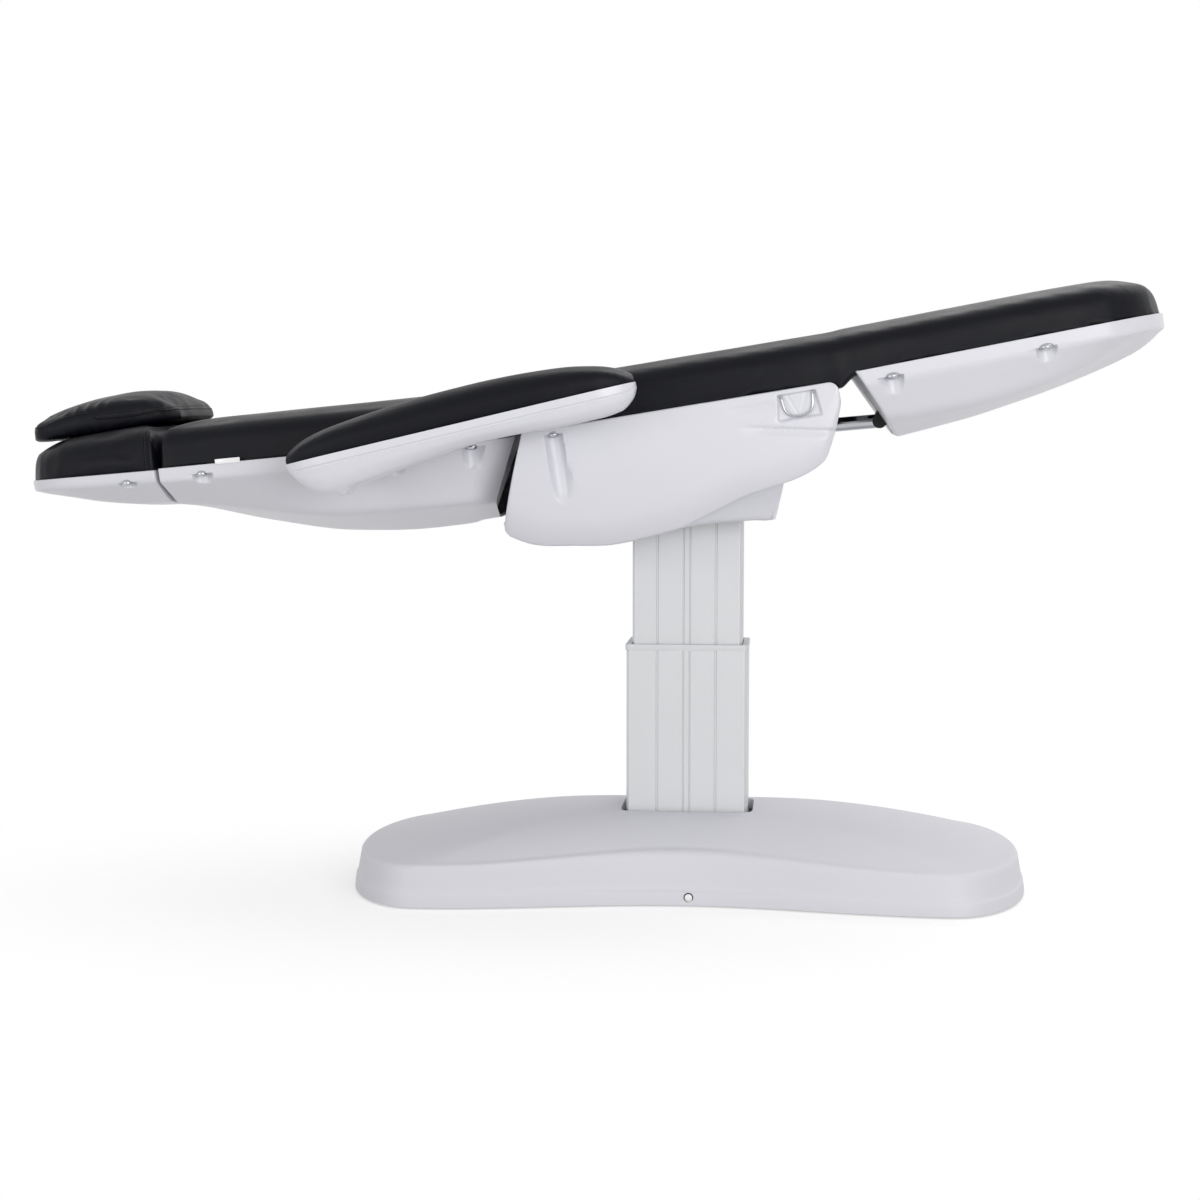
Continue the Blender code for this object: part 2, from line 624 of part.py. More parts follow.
def trimmed(shape, core):
    """The part of a shape that lies inside a core."""
    base, other = temporary(shape), temporary(core.copy())
    step = base.modifiers.new("trim", "BOOLEAN")
    step.operation = "INTERSECT"
    step.solver = "EXACT"
    step.object = other
    baked = bpy.data.meshes.new_from_object(base.evaluated_get(bpy.context.evaluated_depsgraph_get()))
    bpy.data.objects.remove(base, do_unlink=True)
    bpy.data.objects.remove(other, do_unlink=True)
    kept = bmesh.new()
    kept.from_mesh(baked)
    return kept


def pockets(places, length, core):
    """Blocks to join and grooves to cut for the screw pockets on both sides of a shell."""
    blocks, grooves = [], []
    reach = POCKET_RADIUS + POCKET_CHEEK
    for place, half_width, roof in places:
        for sign in (-1, 1):
            centre = sign * (half_width - POCKET_SIT)
            near, far = sorted((centre - sign * reach, centre + sign * reach))
            post = block(place - reach, place + reach, near, far, roof - length, roof + POCKET_CHEEK)
            blocks.append(trimmed(post, core))
            grooves.append(rod((place, centre, roof - length - OVERRUN), (place, centre, roof), POCKET_RADIUS,
                               sides=ROUND_SIDES))
    return blocks, grooves


def cover_half_width(place):
    """Half width of the base cover at a distance along the table from the column."""
    if place <= BASE_CORNER_X:
        swell = (1 - math.cos(math.pi * place / BASE_CORNER_X)) / 2
        return BASE_WAIST_HALF_WIDTH + (BASE_CORNER_HALF_WIDTH - BASE_WAIST_HALF_WIDTH) * swell
    reach = min(1.0, (place - BASE_CORNER_X) / (BASE_HALF_LENGTH - BASE_CORNER_X))
    return BASE_CORNER_HALF_WIDTH * (1 - reach ** BASE_END_CURVE) ** (1 / BASE_END_CURVE)


def cover_outline():
    """Points of the cover's plan outline, each with the point of the column slot it faces."""
    slot_x = OUTER_COLUMN_LENGTH_X / 2 + BASE_SLOT_GAP
    slot_y = OUTER_COLUMN_DEPTH_Y / 2 + BASE_SLOT_GAP
    pairs = []
    for step in range(BASE_OUTLINE_POINTS):
        turn = 2 * math.pi * (step + 0.5) / BASE_OUTLINE_POINTS
        aim = Vector((math.cos(turn), math.sin(turn)))
        low, high = 0.0, BASE_HALF_LENGTH + BASE_CORNER_HALF_WIDTH
        for _ in range(40):
            middle = (low + high) / 2
            place = aim * middle
            inside = abs(place.x) < BASE_HALF_LENGTH and abs(place.y) < cover_half_width(abs(place.x))
            low, high = (middle, high) if inside else (low, middle)
        reach = min(slot_x / max(abs(aim.x), 1e-9), slot_y / max(abs(aim.y), 1e-9))
        pairs.append((aim * low, aim * reach))
    return pairs


def wall_top(place):
    """Height of the cover's wall at a distance along the table from the column."""
    share = min(1.0, place / BASE_CORNER_X)
    fall = (1 - math.cos(math.pi * share)) / 2
    return BASE_WAIST_WALL_HEIGHT + (BASE_WALL_HEIGHT - BASE_WAIST_WALL_HEIGHT) * fall


def crown_height(start, share):
    """Height of the cover's top between its shoulder and the slot."""
    return start + (BASE_TOP_HEIGHT - start) * (1 - (1 - share) ** BASE_TOP_CURVE)


def base_cover(material, frame_top):
    """The moulded cover, with the slot that the column stands in."""
    pairs = cover_outline()
    shoulder_draw = BASE_BAND_DRAW + BASE_WALL_DRAW + BASE_SHOULDER
    levels = (("floor", 0.0), ("band", BASE_BAND_DRAW), ("wall", BASE_BAND_DRAW + BASE_WALL_DRAW),
              ("shoulder", shoulder_draw))

    def ring(kind, draw, inner):
        points = []
        for edge, slot in pairs:
            aim = (slot - edge).normalized()
            top = wall_top(abs(edge.x))
            height = {"floor": BASE_FLOOR_GAP, "band": BASE_BAND_HEIGHT, "wall": top,
                      "shoulder": top + BASE_SHOULDER / 2}[kind]
            place = edge + aim * (draw + (BASE_COVER_WALL if inner and kind != "shoulder" else 0.0))
            drop = BASE_COVER_WALL if inner and kind in ("wall", "shoulder") else 0.0
            points.append(Vector((COLUMN_AHEAD + place.x, place.y, height - drop)))
        return points

    def top_ring(share, inner):
        points = []
        for edge, slot in pairs:
            start = edge + (slot - edge).normalized() * shoulder_draw
            place = start.lerp(slot, share)
            height = crown_height(wall_top(abs(edge.x)) + BASE_SHOULDER / 2, share)
            drop = BASE_COVER_WALL if inner else 0.0
            points.append(Vector((COLUMN_AHEAD + place.x, place.y, height - drop)))
        return points

    outer = [ring(kind, draw, False) for kind, draw in levels]
    outer += [top_ring(share, False) for share in BASE_TOP_SHARES]
    inner = [ring(kind, draw, True) for kind, draw in levels]
    inner += [top_ring(share, True) for share in BASE_TOP_SHARES]
    body = skin(outer + list(reversed(inner)), ring_loop=True)
    bosses = []
    run = BASE_HALF_LENGTH - shoulder_draw
    slot_end = OUTER_COLUMN_LENGTH_X / 2 + BASE_SLOT_GAP
    for sign in (-1, 1):
        place = BOSS_X
        share = (run - place) / (run - slot_end)
        top = crown_height(wall_top(BASE_HALF_LENGTH) + BASE_SHOULDER / 2, share) - BASE_COVER_WALL / 2
        centre = COLUMN_AHEAD + sign * place
        bosses.append(rod((centre, 0.0, frame_top + SEAT_GAP), (centre, 0.0, top), BOSS_RADIUS))
    solid("base_cover", material, None, body, joined=bosses, smooth=True)


def base_parts(finishes):
    """Everything that stands on the floor and doesn't move."""
    bar_top = FRAME_FLOOR_GAP + FRAME_BAR_HEIGHT
    plate_top = bar_top + FRAME_PLATE_THICKNESS
    half_bar = FRAME_BAR_WIDTH / 2
    left, right = COLUMN_AHEAD - FOOT_X, COLUMN_AHEAD + FOOT_X
    cross_reach = FOOT_Y + half_bar
    plate_x = OUTER_COLUMN_LENGTH_X / 2 + FRAME_PLATE_MARGIN
    plate_y = OUTER_COLUMN_DEPTH_Y / 2 + FRAME_PLATE_MARGIN
    joined = [block(place - half_bar, place + half_bar, -cross_reach, cross_reach, FRAME_FLOOR_GAP, bar_top)
              for place in (left, right)]
    joined.append(block(COLUMN_AHEAD - plate_x, COLUMN_AHEAD + plate_x, -plate_y, plate_y, FRAME_FLOOR_GAP, plate_top))
    holes = []
    stem_top = bar_top - half_bar / 5
    for number, (place, side) in enumerate(((left, -1), (left, 1), (right, -1), (right, 1)), 1):
        holes.append(rod((place, side * FOOT_Y, FRAME_FLOOR_GAP - OVERRUN), (place, side * FOOT_Y, stem_top + WELD),
                         FOOT_STEM_RADIUS + PIN_CLEARANCE))
        disc = rod((place, side * FOOT_Y, 0.0), (place, side * FOOT_Y, FRAME_FLOOR_GAP - SEAT_GAP), FOOT_RADIUS,
                   sides=ROUND_SIDES)
        stem = rod((place, side * FOOT_Y, FRAME_FLOOR_GAP - SEAT_GAP - WELD), (place, side * FOOT_Y, stem_top),
                   FOOT_STEM_RADIUS)
        solid(f"levelling_foot_{number}", finishes["rubber"], None, disc, joined=[stem], smooth=True)
    body = block(left, right, -half_bar, half_bar, FRAME_FLOOR_GAP, bar_top)
    solid("base_frame", finishes["steel"], None, body, joined=joined, cut=holes)
    base_cover(finishes["base"], bar_top)
    box_low = bar_top + SEAT_GAP
    box_x = COLUMN_AHEAD + CONTROL_BOX_X
    solid("control_box", finishes["dark"], None,
          block(box_x - CONTROL_BOX_LENGTH / 2, box_x + CONTROL_BOX_LENGTH / 2, -CONTROL_BOX_WIDTH / 2,
                CONTROL_BOX_WIDTH / 2, box_low, box_low + CONTROL_BOX_HEIGHT))
    cap_share = (CAP_HEIGHT - CAP_RADIUS - BASE_FLOOR_GAP) / (BASE_BAND_HEIGHT - BASE_FLOOR_GAP)
    cap_y = -(BASE_WAIST_HALF_WIDTH - BASE_BAND_DRAW * cap_share) - SEAT_GAP
    solid("base_cap", finishes["white"], None,
          rod((COLUMN_AHEAD + CAP_ALONG, cap_y, CAP_HEIGHT), (COLUMN_AHEAD + CAP_ALONG, cap_y - CAP_THICKNESS, CAP_HEIGHT),
              CAP_RADIUS, sides=ROUND_SIDES, end_radius=CAP_RADIUS - CAP_THICKNESS / 3), smooth=True)
    column = axis_frame("column_axis", None, COLUMN_AHEAD, 0.0, 0.0, 0.0)
    solid("outer_column", finishes["column"], column,
          tube(OUTER_COLUMN_LENGTH_X / 2, OUTER_COLUMN_DEPTH_Y / 2, OUTER_COLUMN_CHAMFER, OUTER_COLUMN_WALL,
               plate_top + SEAT_GAP, OUTER_COLUMN_TOP))
    drive_low = plate_top + SEAT_GAP
    bore = rod((0.0, 0.0, drive_low + LIFT_BODY_FLOOR), (0.0, 0.0, LIFT_BODY_TOP + OVERRUN),
               LIFT_ROD_RADIUS + PIN_CLEARANCE, sides=ROUND_SIDES)
    solid("lift_actuator_body", finishes["dark"], column,
          rod((0.0, 0.0, drive_low), (0.0, 0.0, LIFT_BODY_TOP), LIFT_BODY_RADIUS, sides=ROUND_SIDES), cut=[bore],
          smooth=True)


def carriage_parts(finishes, carriage):
    """The inner column, which rises, and the head that carries the tilt axis."""
    draw = OUTER_COLUMN_WALL + COLUMN_SLIDE_GAP
    head_low = TILT_AXIS_HEIGHT - HEAD_PLATE_DROP
    solid("inner_column", finishes["column"], carriage,
          tube(OUTER_COLUMN_LENGTH_X / 2 - draw, OUTER_COLUMN_DEPTH_Y / 2 - draw, INNER_COLUMN_CHAMFER,
               INNER_COLUMN_WALL, INNER_COLUMN_BOTTOM, head_low - SEAT_GAP))
    solid("lift_actuator_rod", finishes["chrome"], carriage,
          rod((0.0, 0.0, LIFT_ROD_BOTTOM), (0.0, 0.0, head_low - SEAT_GAP), LIFT_ROD_RADIUS, sides=ROUND_SIDES),
          smooth=True)
    lug_outside = CHEEK_INSIDE - CHEEK_GAP
    lug_inside = lug_outside - TILT_LUG_THICKNESS
    pin_end = CHEEK_INSIDE + CHEEK_THICKNESS + PIN_END
    head_top = head_low + HEAD_PLATE_THICKNESS
    joined = []
    foot = HEAD_PLATE_THICKNESS / 2
    for sign in (-1, 1):
        near, far = sorted((sign * lug_inside, sign * lug_outside))
        joined.append(plate(((0.0, TILT_AXIS_HEIGHT, EYE_RADIUS), (-TILT_LUG_LENGTH / 2, head_low + foot, foot),
                             (TILT_LUG_LENGTH / 2, head_low + foot, foot)), near, far))
        joined.append(rod((0.0, sign * (lug_outside - WELD), TILT_AXIS_HEIGHT), (0.0, sign * pin_end, TILT_AXIS_HEIGHT),
                          TILT_PIN_RADIUS, sides=ROUND_SIDES))
    pin_up = TILT_AXIS_HEIGHT + TILT_DRIVE_PIN_UP
    inside = ACTUATOR_EYE_HALF_WIDTH + BRACKET_GAP
    for sign in (-1, 1):
        near, far = sorted((TILT_DRIVE_Y + sign * inside, TILT_DRIVE_Y + sign * (inside + BRACKET_THICKNESS)))
        joined.append(plate(((TILT_DRIVE_PIN_X, pin_up, ACTUATOR_EYE_RADIUS),
                             (HEAD_PLATE_HALF_LENGTH - DRIVE_BRACKET_FOOT * 3, head_low + foot, foot),
                             (HEAD_PLATE_HALF_LENGTH - foot, head_low + foot, foot)), near, far))
    body = block(-HEAD_PLATE_HALF_LENGTH, HEAD_PLATE_HALF_LENGTH, -lug_outside, lug_outside, head_low, head_top)
    solid("column_head", finishes["steel"], carriage, body, joined=joined)


def drive_bracket(place, up, across, board_low):
    """Two cheeks under a board, and the pin between them, for an actuator's fixed end."""
    inside = ACTUATOR_EYE_HALF_WIDTH + PIN_CLEARANCE * 3
    outside = inside + BRACKET_THICKNESS
    foot_up = board_low - DRIVE_BRACKET_FOOT_RADIUS + WELD * 2
    shapes = []
    for sign in (-1, 1):
        near, far = sorted((across + sign * inside, across + sign * outside))
        shapes.append(plate(((place, up, ACTUATOR_EYE_RADIUS),
                             (place - DRIVE_BRACKET_FOOT, foot_up, DRIVE_BRACKET_FOOT_RADIUS),
                             (place + DRIVE_BRACKET_FOOT, foot_up, DRIVE_BRACKET_FOOT_RADIUS)), near, far))
    shapes.append(rod((place, across - inside - WELD, up), (place, across + inside + WELD, up), DRIVE_PIN_RADIUS))
    return shapes


def seat_parts(finishes, seat):
    """The seat's frame, shell, cushion and screws."""
    board_low = SEAT_RIM - BOARD_THICKNESS
    cheek_outside = CHEEK_INSIDE + CHEEK_THICKNESS
    pin_end = cheek_outside + LUG_GAP + LUG_THICKNESS + PIN_END
    joined, holes = [], []
    for sign in (-1, 1):
        near, far = sorted((sign * CHEEK_INSIDE, sign * cheek_outside))
        back_anchor = (CHEEK_BACK_ANCHOR, CHEEK_ANCHOR_UP, ANCHOR_RADIUS)
        leg_anchor = (CHEEK_LEG_ANCHOR, CHEEK_ANCHOR_UP, ANCHOR_RADIUS)
        joined.append(plate((back_anchor, leg_anchor, (0.0, 0.0, CHEEK_FOOT_RADIUS)), near, far))
        elbow = (BACK_AXIS_ALONG, CHEEK_ANCHOR_UP, ELBOW_RADIUS)
        joined.append(plate((elbow, back_anchor), near, far))
        for eye, anchor in (((BACK_AXIS_ALONG, BACK_AXIS_UP), elbow), ((LEG_AXIS_ALONG, LEG_AXIS_UP), leg_anchor)):
            joined.append(plate(((*eye, EYE_RADIUS), anchor), near, far))
            joined.append(rod((eye[0], sign * (cheek_outside - WELD), eye[1]), (eye[0], sign * pin_end, eye[1]),
                              HINGE_PIN_RADIUS))
        holes.append(rod((0.0, near - OVERRUN, 0.0), (0.0, far + OVERRUN, 0.0), TILT_PIN_RADIUS + PIN_CLEARANCE,
                         sides=ROUND_SIDES))
    for place, up, across in ((LEG_DRIVE_ALONG, LEG_DRIVE_UP, 0.0), (BACK_DRIVE_ALONG, BACK_DRIVE_UP, BACK_DRIVE_Y),
                              (TILT_DRIVE_ALONG, TILT_DRIVE_UP, TILT_DRIVE_Y)):
        joined += drive_bracket(place, up, across, board_low)
    half_width = SEAT_SHELL_HALF_WIDTH - SEAT_SHELL_WALL - SEAT_GAP * 2
    body = block(SEAT_BOARD_LEFT, SEAT_BOARD_RIGHT, -half_width, half_width, board_low, SEAT_RIM)
    solid("seat_frame", finishes["steel"], seat, body, joined=joined, cut=holes)
    seat_shell(finishes, seat)
    left = BACK_AXIS_ALONG + BACK_PAD_REACH + RUNNING_GAP
    right = LEG_AXIS_ALONG - LEG_PAD_REACH - RUNNING_GAP
    rings = []
    for share in SEAT_PAD_STATION_SHARES:
        height = (SEAT_PAD_THICKNESS - PAD_CROWN) * along(SEAT_PAD_HEIGHT_SHARES, share)
        width = (SEAT_SHELL_HALF_WIDTH - SEAT_PAD_INSET) * along(SEAT_PAD_WIDTH_SHARES, share)
        low = SEAT_RIM + SEAT_GAP
        rings.append(pad_ring(left + (right - left) * share, width, low, SEAT_RIM + height, PAD_CROWN))
    notches = []
    arm_top = CHEEK_ANCHOR_UP + ANCHOR_RADIUS
    for sign in (-1, 1):
        near, far = sorted((sign * (CHEEK_INSIDE - NOTCH_MARGIN), sign * (cheek_outside + NOTCH_MARGIN)))
        notches.append(block(left - OVERRUN, left + PAD_NOTCH_BACK, near, far, arm_top, BACK_AXIS_UP))
        notches.append(block(right - PAD_NOTCH_LEG, right + OVERRUN, near, far, arm_top, LEG_AXIS_UP + NOTCH_MARGIN / 2))
    solid("seat_cushion", finishes["upholstery"], seat, skin(rings), cut=notches, smooth=True)


def seat_shell(finishes, seat):
    """The seat's moulded shell: side wings, and a box round the column."""
    length = SEAT_SHELL_RIGHT - SEAT_SHELL_RIM_LEFT
    stations = []
    for share in SEAT_STATION_SHARES:
        side_depth = SEAT_SHELL_DEPTH * along(SEAT_SIDE_SHARES, share)
        box_depth = max(SEAT_BOX_DEPTH * along(SEAT_BOX_SHARES, share), side_depth + WELD)
        foot = SEAT_SHELL_HALF_WIDTH * along(SEAT_FOOT_SHARES, share)
        band = min(SEAT_BAND, side_depth / 2)
        half = [(SEAT_SHELL_HALF_WIDTH, SEAT_RIM), (SEAT_SHELL_HALF_WIDTH - WELD, SEAT_RIM - band),
                (foot, SEAT_RIM - side_depth), (SEAT_BOX_HALF_WIDTH, SEAT_RIM - side_depth),
                (SEAT_BOX_HALF_WIDTH - WELD, SEAT_RIM - box_depth)]
        stations.append((SEAT_SHELL_RIM_LEFT + length * share, along(SEAT_LEAN_SHARES, share), half))
    wall = SEAT_SHELL_WALL
    core = hull_core(stations, wall / 2)
    body = hull(stations, wall, True, True)
    box_wall = block(SEAT_BOX_RIGHT - wall, SEAT_BOX_RIGHT, -SEAT_BOX_HALF_WIDTH - WELD, SEAT_BOX_HALF_WIDTH + WELD,
                     SEAT_RIM - SEAT_BOX_DEPTH, SEAT_RIM - SEAT_SHELL_DEPTH * SEAT_BOX_WALL_TOP_SHARE)
    wing_inside = SEAT_SHELL_HALF_WIDTH - WING_THICKNESS
    opening = block(SEAT_BOX_RIGHT, SEAT_SHELL_RIGHT + OVERRUN, -wing_inside, wing_inside,
                    SEAT_RIM - SEAT_SHELL_DEPTH - OVERRUN, SEAT_RIM + OVERRUN)
    column_x = OUTER_COLUMN_LENGTH_X / 2 + SEAT_COLUMN_MARGIN
    column_y = OUTER_COLUMN_DEPTH_Y / 2 + SEAT_COLUMN_MARGIN / 2
    column_hole = block(-column_x, column_x, -column_y, column_y, SEAT_RIM - SEAT_SHELL_DEPTH - OVERRUN, 0.0)
    bmesh.ops.rotate(column_hole, verts=column_hole.verts, cent=(0.0, 0.0, 0.0),
                     matrix=Matrix.Rotation(SEAT_SLOPE, 3, "Y"))
    backings, recesses = [], []
    recess_low = SEAT_RIM - BAIL_RECESS_TOP - BAIL_RECESS_HEIGHT
    for sign in (-1, 1):
        near, far = sorted((sign * wing_inside, sign * (SEAT_SHELL_HALF_WIDTH - WELD * 2)))
        wide = BAIL_RECESS_HALF_WIDTH + BAIL_RECESS_FLARE * 2
        backings.append(block(BAIL_ALONG - wide, BAIL_ALONG + wide, near, far, recess_low - BAIL_RECESS_FLARE,
                              SEAT_RIM - WELD))
        floor = sign * (SEAT_SHELL_HALF_WIDTH - BAIL_RECESS_DEPTH)
        outside = sign * (SEAT_SHELL_HALF_WIDTH + OVERRUN)
        cutter = bmesh.new()
        for across in (floor, outside):
            for place, up in ((-BAIL_RECESS_HALF_WIDTH, SEAT_RIM - BAIL_RECESS_TOP),
                              (BAIL_RECESS_HALF_WIDTH, SEAT_RIM - BAIL_RECESS_TOP),
                              (BAIL_RECESS_HALF_WIDTH + BAIL_RECESS_FLARE, recess_low),
                              (-BAIL_RECESS_HALF_WIDTH - BAIL_RECESS_FLARE, recess_low)):
                cutter.verts.new((BAIL_ALONG + place, across, up))
        bmesh.ops.convex_hull(cutter, input=cutter.verts)
        recesses.append(cutter)
    places = [(SEAT_SCREW_ALONG, SEAT_SHELL_HALF_WIDTH, SEAT_RIM - SEAT_SCREW_DROP + SCREW_HEIGHT / 2)]
    blocks, grooves = pockets(places, SEAT_POCKET_LENGTH, core)
    solid("seat_shell", finishes["shell"], seat, body, joined=[box_wall] + backings + blocks,
          cut=[opening, column_hole] + recesses + grooves)
    mirrored_screws("seat", finishes["chrome"], seat, places)


def bail(finishes, seat, side, sign):
    """A D-ring of wire that hangs in the recess of a wing."""
    axis = axis_frame(f"d_ring_{side}_axis", seat, BAIL_ALONG, sign * (SEAT_SHELL_HALF_WIDTH - BAIL_RECESS_DEPTH / 2),
                      BAIL_UP, 0.0)
    pin_end = BAIL_RECESS_HALF_WIDTH - SEAT_GAP
    path = [Vector((-pin_end, 0.0, 0.0))]
    for step in range(BAIL_POINTS):
        turn = math.pi * step / (BAIL_POINTS - 1)
        path.append(Vector((-BAIL_HALF_WIDTH * math.cos(turn), 0.0, -BAIL_DROP * math.sin(turn) ** BAIL_SQUARE_SHARE)))
    path.append(Vector((pin_end, 0.0, 0.0)))
    rings = []
    for index, point in enumerate(path):
        before, after = path[max(0, index - 1)], path[min(len(path) - 1, index + 1)]
        run = (after - before).normalized()
        out = Vector((0.0, 1.0, 0.0))
        side_way = run.cross(out).normalized()
        ring = []
        for step in range(BAIL_SIDES):
            turn = 2 * math.pi * step / BAIL_SIDES
            ring.append(point + BAIL_WIRE_RADIUS * (out * math.cos(turn) + side_way * math.sin(turn)))
        rings.append(ring)
    solid(f"d_ring_{side}", finishes["chrome"], axis, skin(rings), smooth=True)


def back_section_half_width(share):
    """Half width of the back's shell along its length."""
    return BACK_SHELL_HALF_WIDTH * along(BACK_WIDTH_SHARES, share)


def back_parts(finishes, back):
    """The back's frame, shell, cushion, tab and screws."""
    board_low = BACK_RIM - BOARD_THICKNESS
    lug_inside = CHEEK_INSIDE + CHEEK_THICKNESS + LUG_GAP
    lug_outside = lug_inside + LUG_THICKNESS
    joined, holes = [], []
    bearing_up = ARM_PIVOT_UP
    for sign in (-1, 1):
        near, far = sorted((sign * lug_inside, sign * lug_outside))
        joined.append(plate(((0.0, 0.0, EYE_RADIUS), (BACK_LUG_ANCHOR, BACK_RIM - LUG_ANCHOR_DROP, EYE_RADIUS)),
                            near, far))
        holes.append(rod((0.0, near - OVERRUN, 0.0), (0.0, far + OVERRUN, 0.0), HINGE_PIN_RADIUS + PIN_CLEARANCE))
        near, far = sorted((sign * ARM_BEARING_INSIDE, sign * ARM_BEARING_OUTSIDE))
        joined.append(block(ARM_PIVOT_ALONG - ARM_BEARING_HALF_LENGTH, ARM_PIVOT_ALONG + ARM_BEARING_HALF_LENGTH,
                            near, far, bearing_up - ARM_BEARING_HALF_HEIGHT, board_low + WELD))
        joined.append(rod((ARM_PIVOT_ALONG, sign * (ARM_BEARING_OUTSIDE - WELD), bearing_up),
                          (ARM_PIVOT_ALONG, sign * (ARM_MIDDLE_Y - ARM_HALF_WIDTH + ARM_PIN_DEPTH), bearing_up),
                          ARM_PIN_RADIUS))
        near, far = sorted((sign * (HEAD_LUG_Y + LUG_GAP), sign * (HEAD_LUG_Y + LUG_GAP + HEAD_LUG_THICKNESS)))
        joined.append(plate(((HEAD_AXIS_ALONG, HEAD_AXIS_UP, HEAD_LUG_RADIUS),
                             (BACK_BOARD_LEFT + DRIVE_BRACKET_FOOT, board_low - HEAD_LUG_RADIUS / 2, HEAD_LUG_RADIUS)),
                            near, far))
        joined.append(rod((HEAD_AXIS_ALONG, sign * (HEAD_LUG_Y + LUG_GAP + WELD), HEAD_AXIS_UP),
                          (HEAD_AXIS_ALONG, sign * (HEAD_LUG_Y - HEAD_LUG_THICKNESS), HEAD_AXIS_UP), HEAD_PIN_RADIUS))
        inside = ACTUATOR_EYE_HALF_WIDTH + BRACKET_GAP
        near, far = sorted((BACK_DRIVE_Y + sign * inside, BACK_DRIVE_Y + sign * (inside + BRACKET_THICKNESS)))
        foot = BACK_BOARD_RIGHT - DRIVE_BRACKET_FOOT_RADIUS
        foot_up = board_low - DRIVE_BRACKET_FOOT_RADIUS + WELD * 2
        joined.append(plate(((BACK_DRIVE_PIN_ALONG, BACK_DRIVE_PIN_UP, ACTUATOR_EYE_RADIUS),
                             (foot, foot_up, DRIVE_BRACKET_FOOT_RADIUS),
                             (foot - DRIVE_BRACKET_FOOT * 2, foot_up, DRIVE_BRACKET_FOOT_RADIUS)), near, far))
    body = block(BACK_BOARD_LEFT, BACK_BOARD_RIGHT, -BACK_BOARD_HALF_WIDTH, BACK_BOARD_HALF_WIDTH, board_low, BACK_RIM)
    solid("back_frame", finishes["steel"], back, body, joined=joined, cut=holes)

    length = BACK_SHELL_RIGHT - BACK_SHELL_LEFT
    stations = []
    for share in BACK_STATION_SHARES:
        rim = back_section_half_width(share)
        crease = BACK_SHELL_DEPTH * along(BACK_CREASE_SHARES, share)
        keel = BACK_SHELL_DEPTH * along(BACK_KEEL_SHARES, share)
        half = [(rim, BACK_RIM), (rim - BACK_BAND_DRAW, BACK_RIM - BACK_BAND),
                (rim * along(BACK_CREASE_WIDTH_SHARES, share), BACK_RIM - crease),
                (rim * along(BACK_KEEL_WIDTH_SHARES, share), BACK_RIM - keel)]
        stations.append((BACK_SHELL_LEFT + length * share, BACK_LEAN * along(BACK_LEAN_SHARES, share), half))
    body = hull(stations, SHELL_WALL, False, True)
    core = hull_core(stations, SHELL_WALL / 2)
    places = []
    for place, drop in BACK_SCREWS:
        share = (place - BACK_SHELL_LEFT) / length
        places.append((place, back_section_half_width(share), BACK_RIM - drop + SCREW_HEIGHT / 2))
    blocks, grooves = pockets(places, BACK_POCKET_LENGTH, core)
    end_low = BACK_RIM - BACK_SHELL_DEPTH
    for sign in (-1, 1):
        wall = bmesh.new()
        for across in (BACK_END_WALL_INSIDE, BACK_SHELL_HALF_WIDTH):
            for up in (BACK_RIM - SHELL_WALL, end_low):
                lean = BACK_LEAN * (BACK_RIM - up)
                for place in (BACK_SHELL_RIGHT - SHELL_WALL / 2, BACK_SHELL_RIGHT - SHELL_WALL * 3 / 2):
                    wall.verts.new((place - lean, sign * across, up))
        bmesh.ops.convex_hull(wall, input=wall.verts)
        blocks.append(trimmed(wall, core))
    cuts = [rod((ARM_PIVOT_ALONG, -ARM_MIDDLE_Y, bearing_up), (ARM_PIVOT_ALONG, ARM_MIDDLE_Y, bearing_up),
                ARM_PIN_RADIUS + RUNNING_GAP)]
    for sign in (-1, 1):
        near, far = sorted((sign * (HEAD_LUG_Y - HEAD_LUG_THICKNESS - HEAD_SLOT_MARGIN),
                            sign * (HEAD_LUG_Y + LUG_GAP + HEAD_LUG_THICKNESS + HEAD_SLOT_MARGIN)))
        cuts.append(block(BACK_SHELL_LEFT - OVERRUN, BACK_SHELL_LEFT + SHELL_WALL + HEAD_SLOT_REACH, near, far,
                          HEAD_AXIS_UP - HEAD_LUG_RADIUS - HEAD_SLOT_MARGIN * 2, board_low + HEAD_SLOT_MARGIN))
    solid("back_shell", finishes["shell"], back, body, joined=blocks, cut=grooves + cuts)
    mirrored_screws("back", finishes["chrome"], back, places)

    tab_share = (TAB_ALONG + TAB_LENGTH / 2 - BACK_SHELL_LEFT) / length
    tab_y = -(back_section_half_width(tab_share) + SEAT_GAP)
    solid("shell_tab", finishes["white"], back,
          block(TAB_ALONG - TAB_LENGTH / 2, TAB_ALONG + TAB_LENGTH / 2, tab_y - TAB_THICKNESS, tab_y,
                BACK_RIM - TAB_HEIGHT / 2, BACK_RIM + TAB_HEIGHT))

